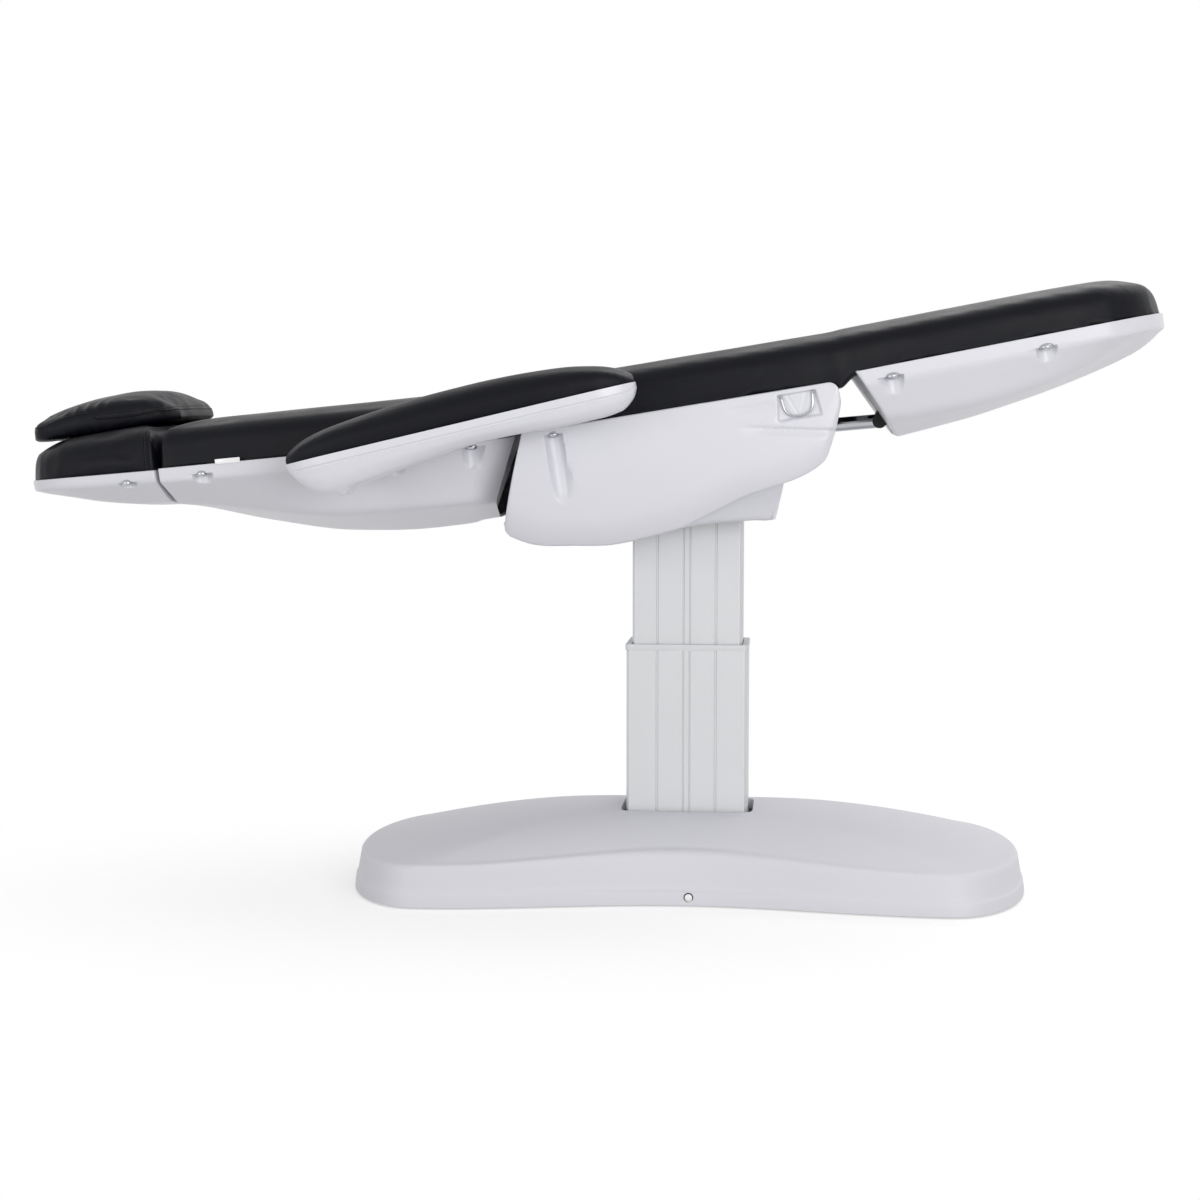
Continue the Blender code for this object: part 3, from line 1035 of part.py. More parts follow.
    rings = []
    low = BACK_RIM + SEAT_GAP
    straight = -BACK_SHELL_LEFT
    for share in BACK_PAD_STATION_SHARES:
        high = BACK_RIM + (BACK_PAD_THICKNESS - PAD_CROWN) * along(BACK_PAD_HEIGHT_SHARES, share)
        width = back_section_half_width(share * straight / length) - PAD_INSET
        rings.append(pad_ring(BACK_SHELL_LEFT + straight * share, width, low, high, PAD_CROWN))
    width = BACK_PAD_END_HALF_WIDTH
    top = BACK_RIM + BACK_PAD_THICKNESS - PAD_CROWN
    for share in BULLNOSE_TURN_SHARES:
        turn = math.pi / 2 * share
        rings.append(pad_ring(BACK_PAD_REACH * math.cos(turn), width, low * math.sin(turn), top * math.sin(turn),
                              PAD_CROWN * math.sin(turn)))
    notches = []
    for sign in (-1, 1):
        near, far = sorted((sign * (CHEEK_INSIDE - NOTCH_MARGIN), sign * (lug_outside + NOTCH_MARGIN)))
        notches.append(block(BACK_LUG_ANCHOR - NOTCH_MARGIN * 3, BACK_PAD_REACH + OVERRUN, near, far,
                             BACK_RIM - OVERRUN, EYE_RADIUS + NOTCH_MARGIN))
    solid("back_cushion", finishes["upholstery"], back, skin(rings), cut=notches, smooth=True)


def headrest_parts(finishes, headrest):
    """The headrest's frame, shell, cushion and screws."""
    board_low = HEAD_RIM - BOARD_THICKNESS
    left = -HEAD_SLIT - HEAD_LENGTH
    joined, holes = [], []
    lug_inside = HEAD_LUG_Y - HEAD_LUG_THICKNESS
    for sign in (-1, 1):
        near, far = sorted((sign * lug_inside, sign * HEAD_LUG_Y))
        joined.append(plate(((0.0, 0.0, HEAD_LUG_RADIUS),
                             (HEAD_LUG_FOOT, board_low - HEAD_LUG_RADIUS / 2, HEAD_LUG_RADIUS)), near, far))
        holes.append(rod((0.0, near - OVERRUN, 0.0), (0.0, far + OVERRUN, 0.0), HEAD_PIN_RADIUS + PIN_CLEARANCE))
    board_half = HEAD_SHELL_HALF_WIDTH * HEAD_BOARD_WIDTH_SHARE
    body = block(HEAD_BOARD_LEFT, HEAD_BOARD_RIGHT, -board_half, board_half, board_low, HEAD_RIM)
    solid("headrest_frame", finishes["steel"], headrest, body, joined=joined, cut=holes)
    stations = []
    for share in HEAD_STATION_SHARES:
        rim = HEAD_SHELL_HALF_WIDTH * along(HEAD_WIDTH_SHARES, share)
        keel = HEAD_SHELL_DEPTH * along(HEAD_KEEL_SHARES, share)
        band = min(HEAD_BAND, keel * HEAD_FACET_SHARE)
        half = [(rim, HEAD_RIM), (rim - BACK_BAND_DRAW, HEAD_RIM - band),
                (rim * along(HEAD_FACET_WIDTH_SHARES, share), HEAD_RIM - max(keel * HEAD_FACET_SHARE, band + WELD)),
                (rim * along(HEAD_KEEL_WIDTH_SHARES, share), HEAD_RIM - keel - WELD)]
        stations.append((left + HEAD_LENGTH * share, 0.0, half))
    body = hull(stations, SHELL_WALL, False, False)
    share = (HEAD_SCREW_ALONG - left) / HEAD_LENGTH
    places = [(HEAD_SCREW_ALONG, HEAD_SHELL_HALF_WIDTH * along(HEAD_WIDTH_SHARES, share),
               HEAD_RIM - HEAD_SCREW_DROP + SCREW_HEIGHT / 2)]
    blocks, grooves = pockets(places, HEAD_POCKET_LENGTH, hull_core(stations, SHELL_WALL / 2))
    slots = []
    for sign in (-1, 1):
        near, far = sorted((sign * (lug_inside - HEAD_SLOT_MARGIN),
                            sign * (HEAD_LUG_Y + LUG_GAP + HEAD_LUG_THICKNESS + HEAD_SLOT_MARGIN)))
        slots.append(block(-HEAD_SLIT - SHELL_WALL - HEAD_SLOT_REACH, OVERRUN, near, far,
                           -HEAD_LUG_RADIUS - HEAD_SLOT_MARGIN * 2, board_low + HEAD_SLOT_MARGIN))
    solid("headrest_shell", finishes["shell"], headrest, body, joined=blocks, cut=grooves + slots)
    mirrored_screws("headrest", finishes["chrome"], headrest, places)
    rings = []
    for share in HEAD_PAD_STATION_SHARES:
        width = HEAD_SHELL_HALF_WIDTH * along(HEAD_WIDTH_SHARES, share) - PAD_INSET
        high = HEAD_RIM + (HEAD_PAD_THICKNESS - PAD_CROWN) * along(HEAD_PAD_HEIGHT_SHARES, share)
        rings.append(pad_ring(left + HEAD_LENGTH * share, width, HEAD_RIM + SEAT_GAP, high, PAD_CROWN))
    solid("headrest_cushion", finishes["upholstery"], headrest, skin(rings), smooth=True)
    fall = PILLOW_MIDDLE * math.tan(PILLOW_SLOPE)
    pillow_axis = axis_frame("pillow_axis", headrest, PILLOW_MIDDLE, 0.0,
                             HEAD_RIM + HEAD_PAD_THICKNESS + fall + SEAT_GAP, PILLOW_SLOPE)
    rings = []
    for share in PILLOW_STATION_SHARES:
        width = PILLOW_WIDTH / 2 * along(PILLOW_WIDTH_SHARES, share)
        high = (PILLOW_THICKNESS - PILLOW_CROWN) * along(PILLOW_HEIGHT_SHARES, share)
        rings.append(pad_ring(PILLOW_LENGTH * (share - 0.5), width, SEAT_GAP, high, PILLOW_CROWN, PILLOW_EDGE_RADIUS))
    solid("head_pillow", finishes["upholstery"], pillow_axis, skin(rings), smooth=True)


def leg_parts(finishes, leg):
    """The leg rest's frame, shell, cushion and screws."""
    board_low = LEG_RIM - BOARD_THICKNESS
    lug_inside = CHEEK_INSIDE + CHEEK_THICKNESS + LUG_GAP
    lug_outside = lug_inside + LUG_THICKNESS
    joined, holes = [], []
    for sign in (-1, 1):
        near, far = sorted((sign * lug_inside, sign * lug_outside))
        joined.append(plate(((0.0, 0.0, EYE_RADIUS), (LEG_LUG_ANCHOR, LEG_RIM - LUG_ANCHOR_DROP, LEG_LUG_END_RADIUS)),
                            near, far))
        holes.append(rod((0.0, near - OVERRUN, 0.0), (0.0, far + OVERRUN, 0.0), HINGE_PIN_RADIUS + PIN_CLEARANCE))
        inside = ACTUATOR_EYE_HALF_WIDTH + BRACKET_GAP
        near, far = sorted((sign * inside, sign * (inside + BRACKET_THICKNESS)))
        foot = LEG_BOARD_LEFT + DRIVE_BRACKET_FOOT
        foot_up = board_low - DRIVE_BRACKET_FOOT_RADIUS + WELD * 2
        joined.append(plate(((LEG_DRIVE_PIN_ALONG, LEG_DRIVE_PIN_UP, ACTUATOR_EYE_RADIUS),
                             (foot, foot_up, DRIVE_BRACKET_FOOT_RADIUS),
                             (foot + DRIVE_BRACKET_FOOT * 3, foot_up, DRIVE_BRACKET_FOOT_RADIUS)), near, far))
    body = block(LEG_BOARD_LEFT, LEG_BOARD_RIGHT, -LEG_BOARD_HALF_WIDTH, LEG_BOARD_HALF_WIDTH, board_low, LEG_RIM)
    solid("leg_frame", finishes["steel"], leg, body, joined=joined, cut=holes)

    stations = []
    for share in LEG_STATION_SHARES:
        rim = LEG_SHELL_HALF_WIDTH * along(LEG_WIDTH_SHARES, share)
        keel = LEG_SHELL_DEPTH * along(LEG_KEEL_SHARES, share)
        crease = LEG_SHELL_DEPTH * along(LEG_CREASE_SHARES, share)
        band = min(LEG_BAND, crease * HEAD_FACET_SHARE)
        half = [(rim, LEG_RIM), (rim - BACK_BAND_DRAW, LEG_RIM - band),
                (rim * LEG_CREASE_WIDTH_SHARE, LEG_RIM - crease), (rim * LEG_KEEL_WIDTH_SHARE, LEG_RIM - keel)]
        stations.append((LEG_SHELL_LEFT + LEG_LENGTH * share, LEG_LEAN * along(LEG_LEAN_SHARES, share), half))
    body = hull(stations, SHELL_WALL, False, False)
    places = []
    for place, drop in LEG_SCREWS:
        share = (place - LEG_SHELL_LEFT) / LEG_LENGTH
        places.append((place, LEG_SHELL_HALF_WIDTH * along(LEG_WIDTH_SHARES, share),
                       LEG_RIM - drop + SCREW_HEIGHT / 2))
    blocks, grooves = pockets(places, LEG_POCKET_LENGTH, hull_core(stations, SHELL_WALL / 2))
    slot_half = ACTUATOR_EYE_HALF_WIDTH + BRACKET_GAP + BRACKET_THICKNESS + SEAT_COLUMN_MARGIN / 2
    slots = [block(LEG_SHELL_LEFT - OVERRUN, LEG_BOARD_LEFT, -slot_half, slot_half, LEG_DRIVE_SLOT_LOW,
                   LEG_DRIVE_SLOT_HIGH)]
    for sign in (-1, 1):
        near, far = sorted((sign * (CHEEK_INSIDE - NOTCH_MARGIN), sign * (lug_outside + NOTCH_MARGIN)))
        slots.append(block(LEG_SHELL_LEFT - OVERRUN, LEG_BOARD_LEFT - WELD, near, far, LEG_RIM - LEG_SLOT_DEPTH,
                           LEG_RIM + OVERRUN))
    solid("leg_shell", finishes["shell"], leg, body, joined=blocks, cut=grooves + slots)
    mirrored_screws("leg", finishes["chrome"], leg, places)

    rings = []
    top = LEG_RIM + LEG_PAD_THICKNESS - PAD_CROWN
    low = LEG_RIM + SEAT_GAP
    width = LEG_SHELL_HALF_WIDTH - PAD_INSET
    for share in reversed(BULLNOSE_TURN_SHARES):
        turn = math.pi / 2 * share
        reach = LEG_PAD_REACH * math.sin(turn)
        rings.append(pad_ring(-LEG_PAD_REACH * math.cos(turn), width, max(low, -reach), top * math.sin(turn),
                              PAD_CROWN * math.sin(turn)))
    for share in LEG_PAD_STATION_SHARES:
        high = LEG_RIM + (LEG_PAD_THICKNESS - PAD_CROWN) * along(LEG_PAD_HEIGHT_SHARES, share)
        width = LEG_SHELL_HALF_WIDTH * along(LEG_WIDTH_SHARES, share) - PAD_INSET
        rings.append(pad_ring(LEG_SHELL_LEFT + LEG_LENGTH * share, width, low, high, PAD_CROWN))
    notches = []
    for sign in (-1, 1):
        near, far = sorted((sign * (CHEEK_INSIDE - NOTCH_MARGIN), sign * (lug_outside + NOTCH_MARGIN)))
        notches.append(block(-LEG_PAD_REACH - OVERRUN, LEG_LUG_ANCHOR + NOTCH_MARGIN, near, far, LEG_RIM - OVERRUN,
                             EYE_RADIUS + NOTCH_MARGIN))
    solid("leg_cushion", finishes["upholstery"], leg, skin(rings), cut=notches, smooth=True)


def armrest_parts(finishes, arm, side, sign):
    """One armrest: a moulded shell with the pivot's boss, and its pad."""
    middle = sign * ARM_MIDDLE_Y
    stations = []
    for share in ARM_STATION_SHARES:
        rim = ARM_HALF_WIDTH * along(ARM_WIDTH_SHARES, share)
        depth = ARM_SHELL_DEPTH * along(ARM_DEPTH_SHARES, share)
        band = min(ARM_BAND, depth * ARM_CREASE_SHARE / 2)
        half = [(rim, ARM_RIM), (rim - WELD, ARM_RIM - band),
                (rim * ARM_CREASE_WIDTH_SHARE, ARM_RIM - depth * ARM_CREASE_SHARE),
                (rim * ARM_KEEL_WIDTH_SHARE, ARM_RIM - depth)]
        ring = [Vector((ARM_LEFT + ARM_LENGTH * share, middle - across, up)) for across, up in half]
        ring += [Vector((ARM_LEFT + ARM_LENGTH * share, middle + across, up)) for across, up in reversed(half)]
        stations.append(ring)
    boss_up = -ARM_BOSS_DROP
    boss = rod((0.0, middle - ARM_BOSS_HALF_LENGTH, boss_up), (0.0, middle + ARM_BOSS_HALF_LENGTH, boss_up),
               ARM_BOSS_RADIUS, sides=ROUND_SIDES)
    inner_face = ARM_MIDDLE_Y - ARM_HALF_WIDTH
    bore = rod((0.0, sign * (inner_face - OVERRUN), 0.0), (0.0, sign * (inner_face + ARM_PIN_DEPTH + SEAT_GAP), 0.0),
               ARM_PIN_RADIUS + PIN_CLEARANCE)
    solid(f"armrest_shell_{side}", finishes["shell"], arm, skin(stations), joined=[boss], cut=[bore])
    rings = []
    for share in ARM_STATION_SHARES:
        width = ARM_HALF_WIDTH * along(ARM_WIDTH_SHARES, share) - WELD
        high = ARM_RIM + (ARM_PAD_THICKNESS - PAD_CROWN) * along(ARM_HEIGHT_SHARES, share)
        ring = pad_ring(ARM_LEFT + ARM_LENGTH * share, width, ARM_RIM + SEAT_GAP, high, PAD_CROWN)
        rings.append([point + Vector((0.0, middle, 0.0)) for point in ring])
    solid(f"armrest_pad_{side}", finishes["upholstery"], arm, skin(rings), smooth=True)


def drive(finishes, name, seat, fixed, across, moving, sizes, motor):
    """An actuator: a body that swings on the seat's frame, and the rod that slides in it."""
    length, radius, rod_radius, rod_start = sizes
    run = Vector((moving[0] - fixed[0], moving[1] - fixed[1]))
    angle = math.atan2(run.y, run.x)
    frame = axis_frame(f"{name}_actuator_axis", seat, fixed[0], across, fixed[1], angle)
    half = ACTUATOR_EYE_HALF_WIDTH
    joined = [block(0.0, GEAR_LEFT + WELD, -half, half, -half, half),
              block(GEAR_LEFT, GEAR_RIGHT, -MOTOR_RADIUS - WELD, MOTOR_RADIUS + WELD, -GEAR_HALF_HEIGHT, GEAR_HALF_HEIGHT),
              rod((GEAR_RIGHT - WELD, 0.0, 0.0), (length, 0.0, 0.0), radius, sides=ROUND_SIDES),
              rod(((GEAR_LEFT + GEAR_RIGHT) / 2, 0.0, 0.0),
                  Vector(((GEAR_LEFT + GEAR_RIGHT) / 2, 0.0, 0.0)) + Vector(motor), MOTOR_RADIUS, sides=ROUND_SIDES)]
    cuts = [rod((0.0, -half - OVERRUN, 0.0), (0.0, half + OVERRUN, 0.0), DRIVE_PIN_RADIUS + PIN_CLEARANCE),
            rod((GEAR_RIGHT + WELD, 0.0, 0.0), (length + OVERRUN, 0.0, 0.0), rod_radius + PIN_CLEARANCE * 2)]
    solid(f"{name}_actuator_body", finishes["dark"], frame,
          rod((0.0, -half, 0.0), (0.0, half, 0.0), ACTUATOR_EYE_RADIUS, sides=ROUND_SIDES), joined=joined, cut=cuts)
    slide = axis_frame(f"{name}_actuator_slide", frame, 0.0, 0.0, 0.0, 0.0)
    eye = rod((run.length, -half, 0.0), (run.length, half, 0.0), ACTUATOR_EYE_RADIUS, sides=ROUND_SIDES)
    solid(f"{name}_actuator_rod", finishes["chrome"], slide,
          rod((rod_start, 0.0, 0.0), (run.length, 0.0, 0.0), rod_radius, sides=ROUND_SIDES), joined=[eye])


def in_seat_frame(along_seat, up_seat, slope, place):
    """Where a point of a section's own frame lies in the seat's frame."""
    turn = slope - SEAT_SLOPE
    return (along_seat + place[0] * math.cos(turn) - place[1] * math.sin(turn),
            up_seat + place[0] * math.sin(turn) + place[1] * math.cos(turn))


def build():
    """Model the whole table."""
    clear_scene()
    finishes = {
        "shell": finish("white_plastic", (0.87, 0.87, 0.89), 0.35, 0.0),
        "base": finish("grey_plastic", (0.80, 0.80, 0.83), 0.55, 0.0),
        "white": finish("bright_white_plastic", (0.94, 0.94, 0.95), 0.35, 0.0),
        "upholstery": finish("black_upholstery", (0.13, 0.13, 0.15), 0.50, 0.0),
        "column": finish("grey_column_paint", (0.80, 0.81, 0.83), 0.40, 0.0),
        "steel": finish("black_frame_paint", (0.12, 0.12, 0.12), 0.50, 0.0),
        "dark": finish("dark_housing", (0.10, 0.10, 0.11), 0.45, 0.0),
        "chrome": finish("chrome", (0.82, 0.82, 0.84), 0.12, 1.0),
        "rubber": finish("black_rubber", (0.06, 0.06, 0.06), 0.85, 0.0),
    }
    base_parts(finishes)
    carriage = axis_frame("carriage_axis", None, COLUMN_AHEAD, 0.0, 0.0, 0.0)
    carriage_parts(finishes, carriage)
    seat = axis_frame("seat_axis", carriage, 0.0, 0.0, TILT_AXIS_HEIGHT, SEAT_SLOPE)
    seat_parts(finishes, seat)
    back = axis_frame("back_axis", seat, BACK_AXIS_ALONG, 0.0, BACK_AXIS_UP, BACK_SLOPE - SEAT_SLOPE)
    back_parts(finishes, back)
    headrest = axis_frame("headrest_axis", back, HEAD_AXIS_ALONG, 0.0, HEAD_AXIS_UP, HEADREST_SLOPE - BACK_SLOPE)
    headrest_parts(finishes, headrest)
    leg = axis_frame("leg_axis", seat, LEG_AXIS_ALONG, 0.0, LEG_AXIS_UP, LEG_SLOPE - SEAT_SLOPE)
    leg_parts(finishes, leg)
    for side, sign in (("right", -1), ("left", 1)):
        bail(finishes, seat, side, sign)
        arm = axis_frame(f"armrest_{side}_axis", back, ARM_PIVOT_ALONG, 0.0, ARM_PIVOT_UP, ARMREST_SLOPE - BACK_SLOPE)
        armrest_parts(finishes, arm, side, sign)
    drive(finishes, "leg", seat, (LEG_DRIVE_ALONG, LEG_DRIVE_UP), 0.0,
          in_seat_frame(LEG_AXIS_ALONG, LEG_AXIS_UP, LEG_SLOPE, (LEG_DRIVE_PIN_ALONG, LEG_DRIVE_PIN_UP)),
          (LEG_DRIVE_BODY_LENGTH, LEG_DRIVE_BODY_RADIUS, LEG_DRIVE_ROD_RADIUS, LEG_DRIVE_ROD_START),
          (0.0, -LEG_MOTOR_LENGTH, 0.0))
    drive(finishes, "back", seat, (BACK_DRIVE_ALONG, BACK_DRIVE_UP), BACK_DRIVE_Y,
          in_seat_frame(BACK_AXIS_ALONG, BACK_AXIS_UP, BACK_SLOPE, (BACK_DRIVE_PIN_ALONG, BACK_DRIVE_PIN_UP)),
          (BACK_DRIVE_BODY_LENGTH, BACK_DRIVE_BODY_RADIUS, BACK_DRIVE_ROD_RADIUS, BACK_DRIVE_ROD_START),
          (0.0, BACK_MOTOR_LENGTH, 0.0))
    pin = Vector((TILT_DRIVE_PIN_X, TILT_DRIVE_PIN_UP))
    pin = (pin.x * math.cos(SEAT_SLOPE) + pin.y * math.sin(SEAT_SLOPE),
           -pin.x * math.sin(SEAT_SLOPE) + pin.y * math.cos(SEAT_SLOPE))
    drive(finishes, "tilt", seat, (TILT_DRIVE_ALONG, TILT_DRIVE_UP), TILT_DRIVE_Y, pin,
          (TILT_DRIVE_BODY_LENGTH, TILT_DRIVE_BODY_RADIUS, TILT_DRIVE_ROD_RADIUS, TILT_DRIVE_ROD_START),
          (0.0, 0.0, TILT_MOTOR_LENGTH))


build()
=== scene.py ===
"""Electric spa treatment table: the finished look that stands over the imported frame.

Each section of the bed is drawn flat in its own frame, with the origin on its joint axis, and is then put in
its place. Shells are moulded sheets, pads are inflated covers, and small repeated parts come from node trees.
"""
import math

import bmesh
import bpy
from mathutils import Matrix, Vector, noise
from mathutils.bvhtree import BVHTree


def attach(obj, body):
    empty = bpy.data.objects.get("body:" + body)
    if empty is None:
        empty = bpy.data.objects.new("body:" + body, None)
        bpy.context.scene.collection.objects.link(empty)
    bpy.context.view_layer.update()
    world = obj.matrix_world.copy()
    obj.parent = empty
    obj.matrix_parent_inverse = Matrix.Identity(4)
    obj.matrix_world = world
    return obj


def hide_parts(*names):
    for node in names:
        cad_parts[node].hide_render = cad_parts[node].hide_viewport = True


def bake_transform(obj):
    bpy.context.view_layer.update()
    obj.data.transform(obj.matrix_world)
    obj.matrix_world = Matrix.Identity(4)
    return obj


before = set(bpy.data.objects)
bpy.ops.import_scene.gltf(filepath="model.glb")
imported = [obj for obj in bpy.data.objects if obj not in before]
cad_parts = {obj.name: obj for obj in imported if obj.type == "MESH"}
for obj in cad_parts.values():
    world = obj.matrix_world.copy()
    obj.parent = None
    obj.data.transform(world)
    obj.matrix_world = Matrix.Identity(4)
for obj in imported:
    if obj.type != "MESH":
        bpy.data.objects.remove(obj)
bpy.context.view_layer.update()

bl_info = {
    "name": "Spa treatment table",
    "version": (1, 0, 0),
    "blender": (4, 5, 0),
    "location": "View3D > Sidebar > Spa table",
    "description": "Builds the shells, pads, column and trim of an electric spa treatment table",
    "category": "Add Mesh",
}

# Joint axis of each section as (x, z), and its slope in degrees
SECTIONS = {
    "column": (0.16075, 0.0, 0.0),
    "seat": (0.16075, 0.655, 9.35),
    "back": (-0.07457, 0.79158, 5.45),
    "headrest": (-0.66184, 0.64012, 5.0),
    "leg_rest": (0.41682, 0.87249, 11.0),
    "armrest": (-0.34957, 0.69854, 13.3),
    "pillow": (-0.78420, 0.75372, 9.1),
}

# Shells, as drawn in the part. A rim is the height of a shell's upper edge in its section's frame
SEAT_RIM = 0.138
SEAT_LEFT, SEAT_RIGHT = -0.223, 0.266
SEAT_DEPTH, SEAT_BOX_DEPTH = 0.204, 0.200
SEAT_HALF_WIDTH, SEAT_BOX_HALF_WIDTH = 0.311, 0.160
SEAT_BOX_RIGHT = 0.160
WING_THICKNESS = 0.0095
# How steeply a wing's lower edge rolls in under the seat
SEAT_ROLL = 0.36
# How the box round the column leans at its right end, its wall, and the steps down a wing's face
BOX_LEAN, BOX_WALL, WING_STEPS = 0.40, 0.005, 74
BACK_RIM = -0.038
BACK_LEFT, BACK_RIGHT = -0.5955, -0.026
BACK_DEPTH, BACK_HALF_WIDTH = 0.139, 0.290
BACK_BAND, LEG_BAND, HEAD_BAND = 0.022, 0.024, 0.017
HEAD_RIM, HEAD_LEFT, HEAD_LENGTH = 0.055, -0.2465, 0.243
HEAD_DEPTH, HEAD_HALF_WIDTH = 0.061, 0.263
LEG_RIM, LEG_LEFT, LEG_LENGTH = -0.026, 0.006, 0.491
LEG_DEPTH, LEG_HALF_WIDTH = 0.114, 0.295
ARM_RIM, ARM_LEFT, ARM_LENGTH = 0.0274, -0.079, 0.545
ARM_HALF_WIDTH, ARM_DEPTH, ARM_MIDDLE_Y = 0.053, 0.058, 0.376
SHELL_WALL = 0.004
# Screws as (place along the section, drop below the rim), and the round pockets that they sit in
POCKET_RADIUS, LONG_POCKET_RADIUS = 0.0165, 0.0140
BACK_SCREWS = ((-0.526, 0.0135), (-0.215, 0.0135), (-0.092, 0.0115))
LEG_SCREWS = ((0.060, 0.0165), (0.295, 0.0175))
SEAT_SCREWS = ((-0.175, 0.0095),)
HEAD_SCREWS = ((-0.052, 0.0155),)
# The near side is the right one
SIDES = (("right", -1), ("left", 1))
# Where the D-rings hang in the seat's wings
RING_PLACE = (0.2015, 0.3085, 0.1285)
TAB_LEFT, TAB_RIGHT = -0.501, -0.461

# Base cover, about the column's middle
COLUMN_X = SECTIONS["column"][0]
BASE_HALF_LENGTH, BASE_CORNER_X = 0.556, 0.425
BASE_CORNER_HALF_WIDTH, BASE_WAIST_HALF_WIDTH = 0.262, 0.206
BASE_TOP, BASE_BAND_TOP, BASE_WAIST_WALL = 0.131, 0.0262, 0.084
CAP_TURNS = 32

# Pads: height over the rim, swell of the crown, rounding of the top edges, and the foot's depth below the rim
SEAT_PAD_LEFT, SEAT_PAD_RIGHT, SEAT_PAD_HALF_WIDTH = -0.1705, 0.2415, 0.308
SEAT_PAD_HEIGHT, LEG_PAD_HEIGHT, BACK_PAD_HEIGHT = 0.072, 0.065, 0.069
HEAD_PAD_HEIGHT, ARM_PAD_HEIGHT = 0.0705, 0.049
PILLOW_LENGTH, PILLOW_HALF_WIDTH, PILLOW_HEIGHT = 0.243, 0.175, 0.050
PAD_CROWN, PAD_EDGE, SMALL_PAD_EDGE, PAD_SINK = 0.006, 0.028, 0.026, 0.005
# The cloth run that inflates a cover
COVER_PRESSURE, COVER_HOLD, COVER_FRAMES = 4.0, -0.55, 20

# Profiles along each piece, as pairs of (share of its length, share of its size)
SEAT_SIDE_SHARES = ((0.0, 0.735), (0.10, 0.89), (0.22, 0.95), (0.42, 0.915), (0.535, 0.838), (0.672, 0.735),
                    (0.826, 0.672), (0.919, 0.578), (0.963, 0.40), (0.985, 0.27), (1.0, 0.17))
SEAT_BOX_SHARES = ((0.0, 0.80), (0.10, 0.93), (0.22, 0.985), (0.34, 0.955), (0.48, 0.95), (0.664, 0.98),
                   (0.77, 1.0), (1.0, 1.0))
SEAT_FOOT_SHARES = ((0.0, 0.918), (0.25, 0.925), (0.55, 0.955), (0.75, 0.987), (1.0, 0.990))
SEAT_LEAN_SHARES = ((0.0, -0.40), (0.06, -0.30), (0.14, -0.06), (0.2, 0.0), (1.0, 0.0))
BACK_KEEL_SHARES = ((0.0, 0.475), (0.234, 0.745), (0.468, 0.94), (0.684, 1.0), (1.0, 0.945))
BACK_CREASE_SHARES = ((0.0, 0.43), (0.112, 0.48), (0.515, 0.72), (1.0, 0.735))
BACK_WIDTH_SHARES = ((0.0, 0.915), (0.468, 0.96), (0.90, 1.0), (0.93, 0.985), (1.0, 0.885))
BACK_LEAN_SHARES = ((0.0, 0.0), (0.80, 0.0), (0.94, -0.3825), (1.0, -0.45))
BACK_CREASE_WIDTH_SHARES = ((0.0, 0.62), (0.5, 0.80), (1.0, 0.86))
BACK_KEEL_WIDTH_SHARES = ((0.0, 0.14), (0.5, 0.30), (1.0, 0.34))
HEAD_KEEL_SHARES = ((0.0, 0.30), (0.13, 0.42), (0.31, 0.58), (0.53, 0.80), (0.775, 0.95), (1.0, 1.0))
HEAD_WIDTH_SHARES = ((0.0, 0.40), (0.05, 0.60), (0.15, 0.78), (0.35, 0.905), (0.65, 0.96), (1.0, 1.0))
HEAD_FACET_WIDTH_SHARES = ((0.0, 0.82), (0.5, 0.74), (1.0, 0.72))
HEAD_KEEL_WIDTH_SHARES = ((0.0, 0.45), (0.5, 0.22), (1.0, 0.14))
LEG_KEEL_SHARES = ((0.0, 0.99), (0.303, 0.93), (0.50, 0.825), (0.637, 0.73), (0.768, 0.614), (0.90, 0.465),
                   (0.955, 0.36), (1.0, 0.24))
LEG_CREASE_SHARES = ((0.0, 0.735), (0.31, 0.745), (0.58, 0.64), (0.73, 0.47), (0.887, 0.27), (0.95, 0.24),
                     (1.0, 0.225))
LEG_WIDTH_SHARES = ((0.0, 1.0), (0.5, 0.97), (0.78, 0.93), (0.87, 0.86), (0.935, 0.76), (0.97, 0.63), (1.0, 0.42))
LEG_LEAN_SHARES = ((0.0, 0.44), (0.125, 0.242), (0.31, 0.0), (1.0, 0.0))
LEG_CREASE_WIDTH_SHARE, LEG_KEEL_WIDTH_SHARE = 0.84, 0.42
ARM_DEPTH_SHARES = ((0.0, 0.14), (0.035, 0.60), (0.07, 0.88), (0.11, 1.0), (0.17, 0.965), (0.375, 0.74),
                    (0.55, 0.60), (0.66, 0.62), (0.775, 0.70), (0.885, 0.71), (0.944, 0.655), (0.984, 0.42),
                    (1.0, 0.20))
ARM_HEIGHT_SHARES = ((0.0, 0.16), (0.013, 0.28), (0.064, 0.55), (0.156, 0.75), (0.30, 0.90), (0.45, 0.98),
                     (0.55, 1.0), (0.65, 0.98), (0.81, 0.86), (0.89, 0.70), (0.944, 0.52), (0.98, 0.32),
                     (1.0, 0.16))
ARM_WIDTH_SHARES = ((0.0, 0.34), (0.02, 0.54), (0.06, 0.76), (0.12, 0.92), (0.25, 1.0), (0.75, 0.95), (0.9, 0.85),
                    (0.96, 0.66), (0.985, 0.48), (1.0, 0.30))
HEAD_PAD_HEIGHT_SHARES = ((0.0, 0.34), (0.05, 0.55), (0.12, 0.68), (0.22, 0.77), (0.35, 0.835), (1.0, 1.0))
LEG_PAD_HEIGHT_SHARES = ((0.0, 1.0), (0.5, 0.99), (0.8, 0.96), (0.88, 0.92), (0.94, 0.82), (0.975, 0.66),
                         (1.0, 0.40))
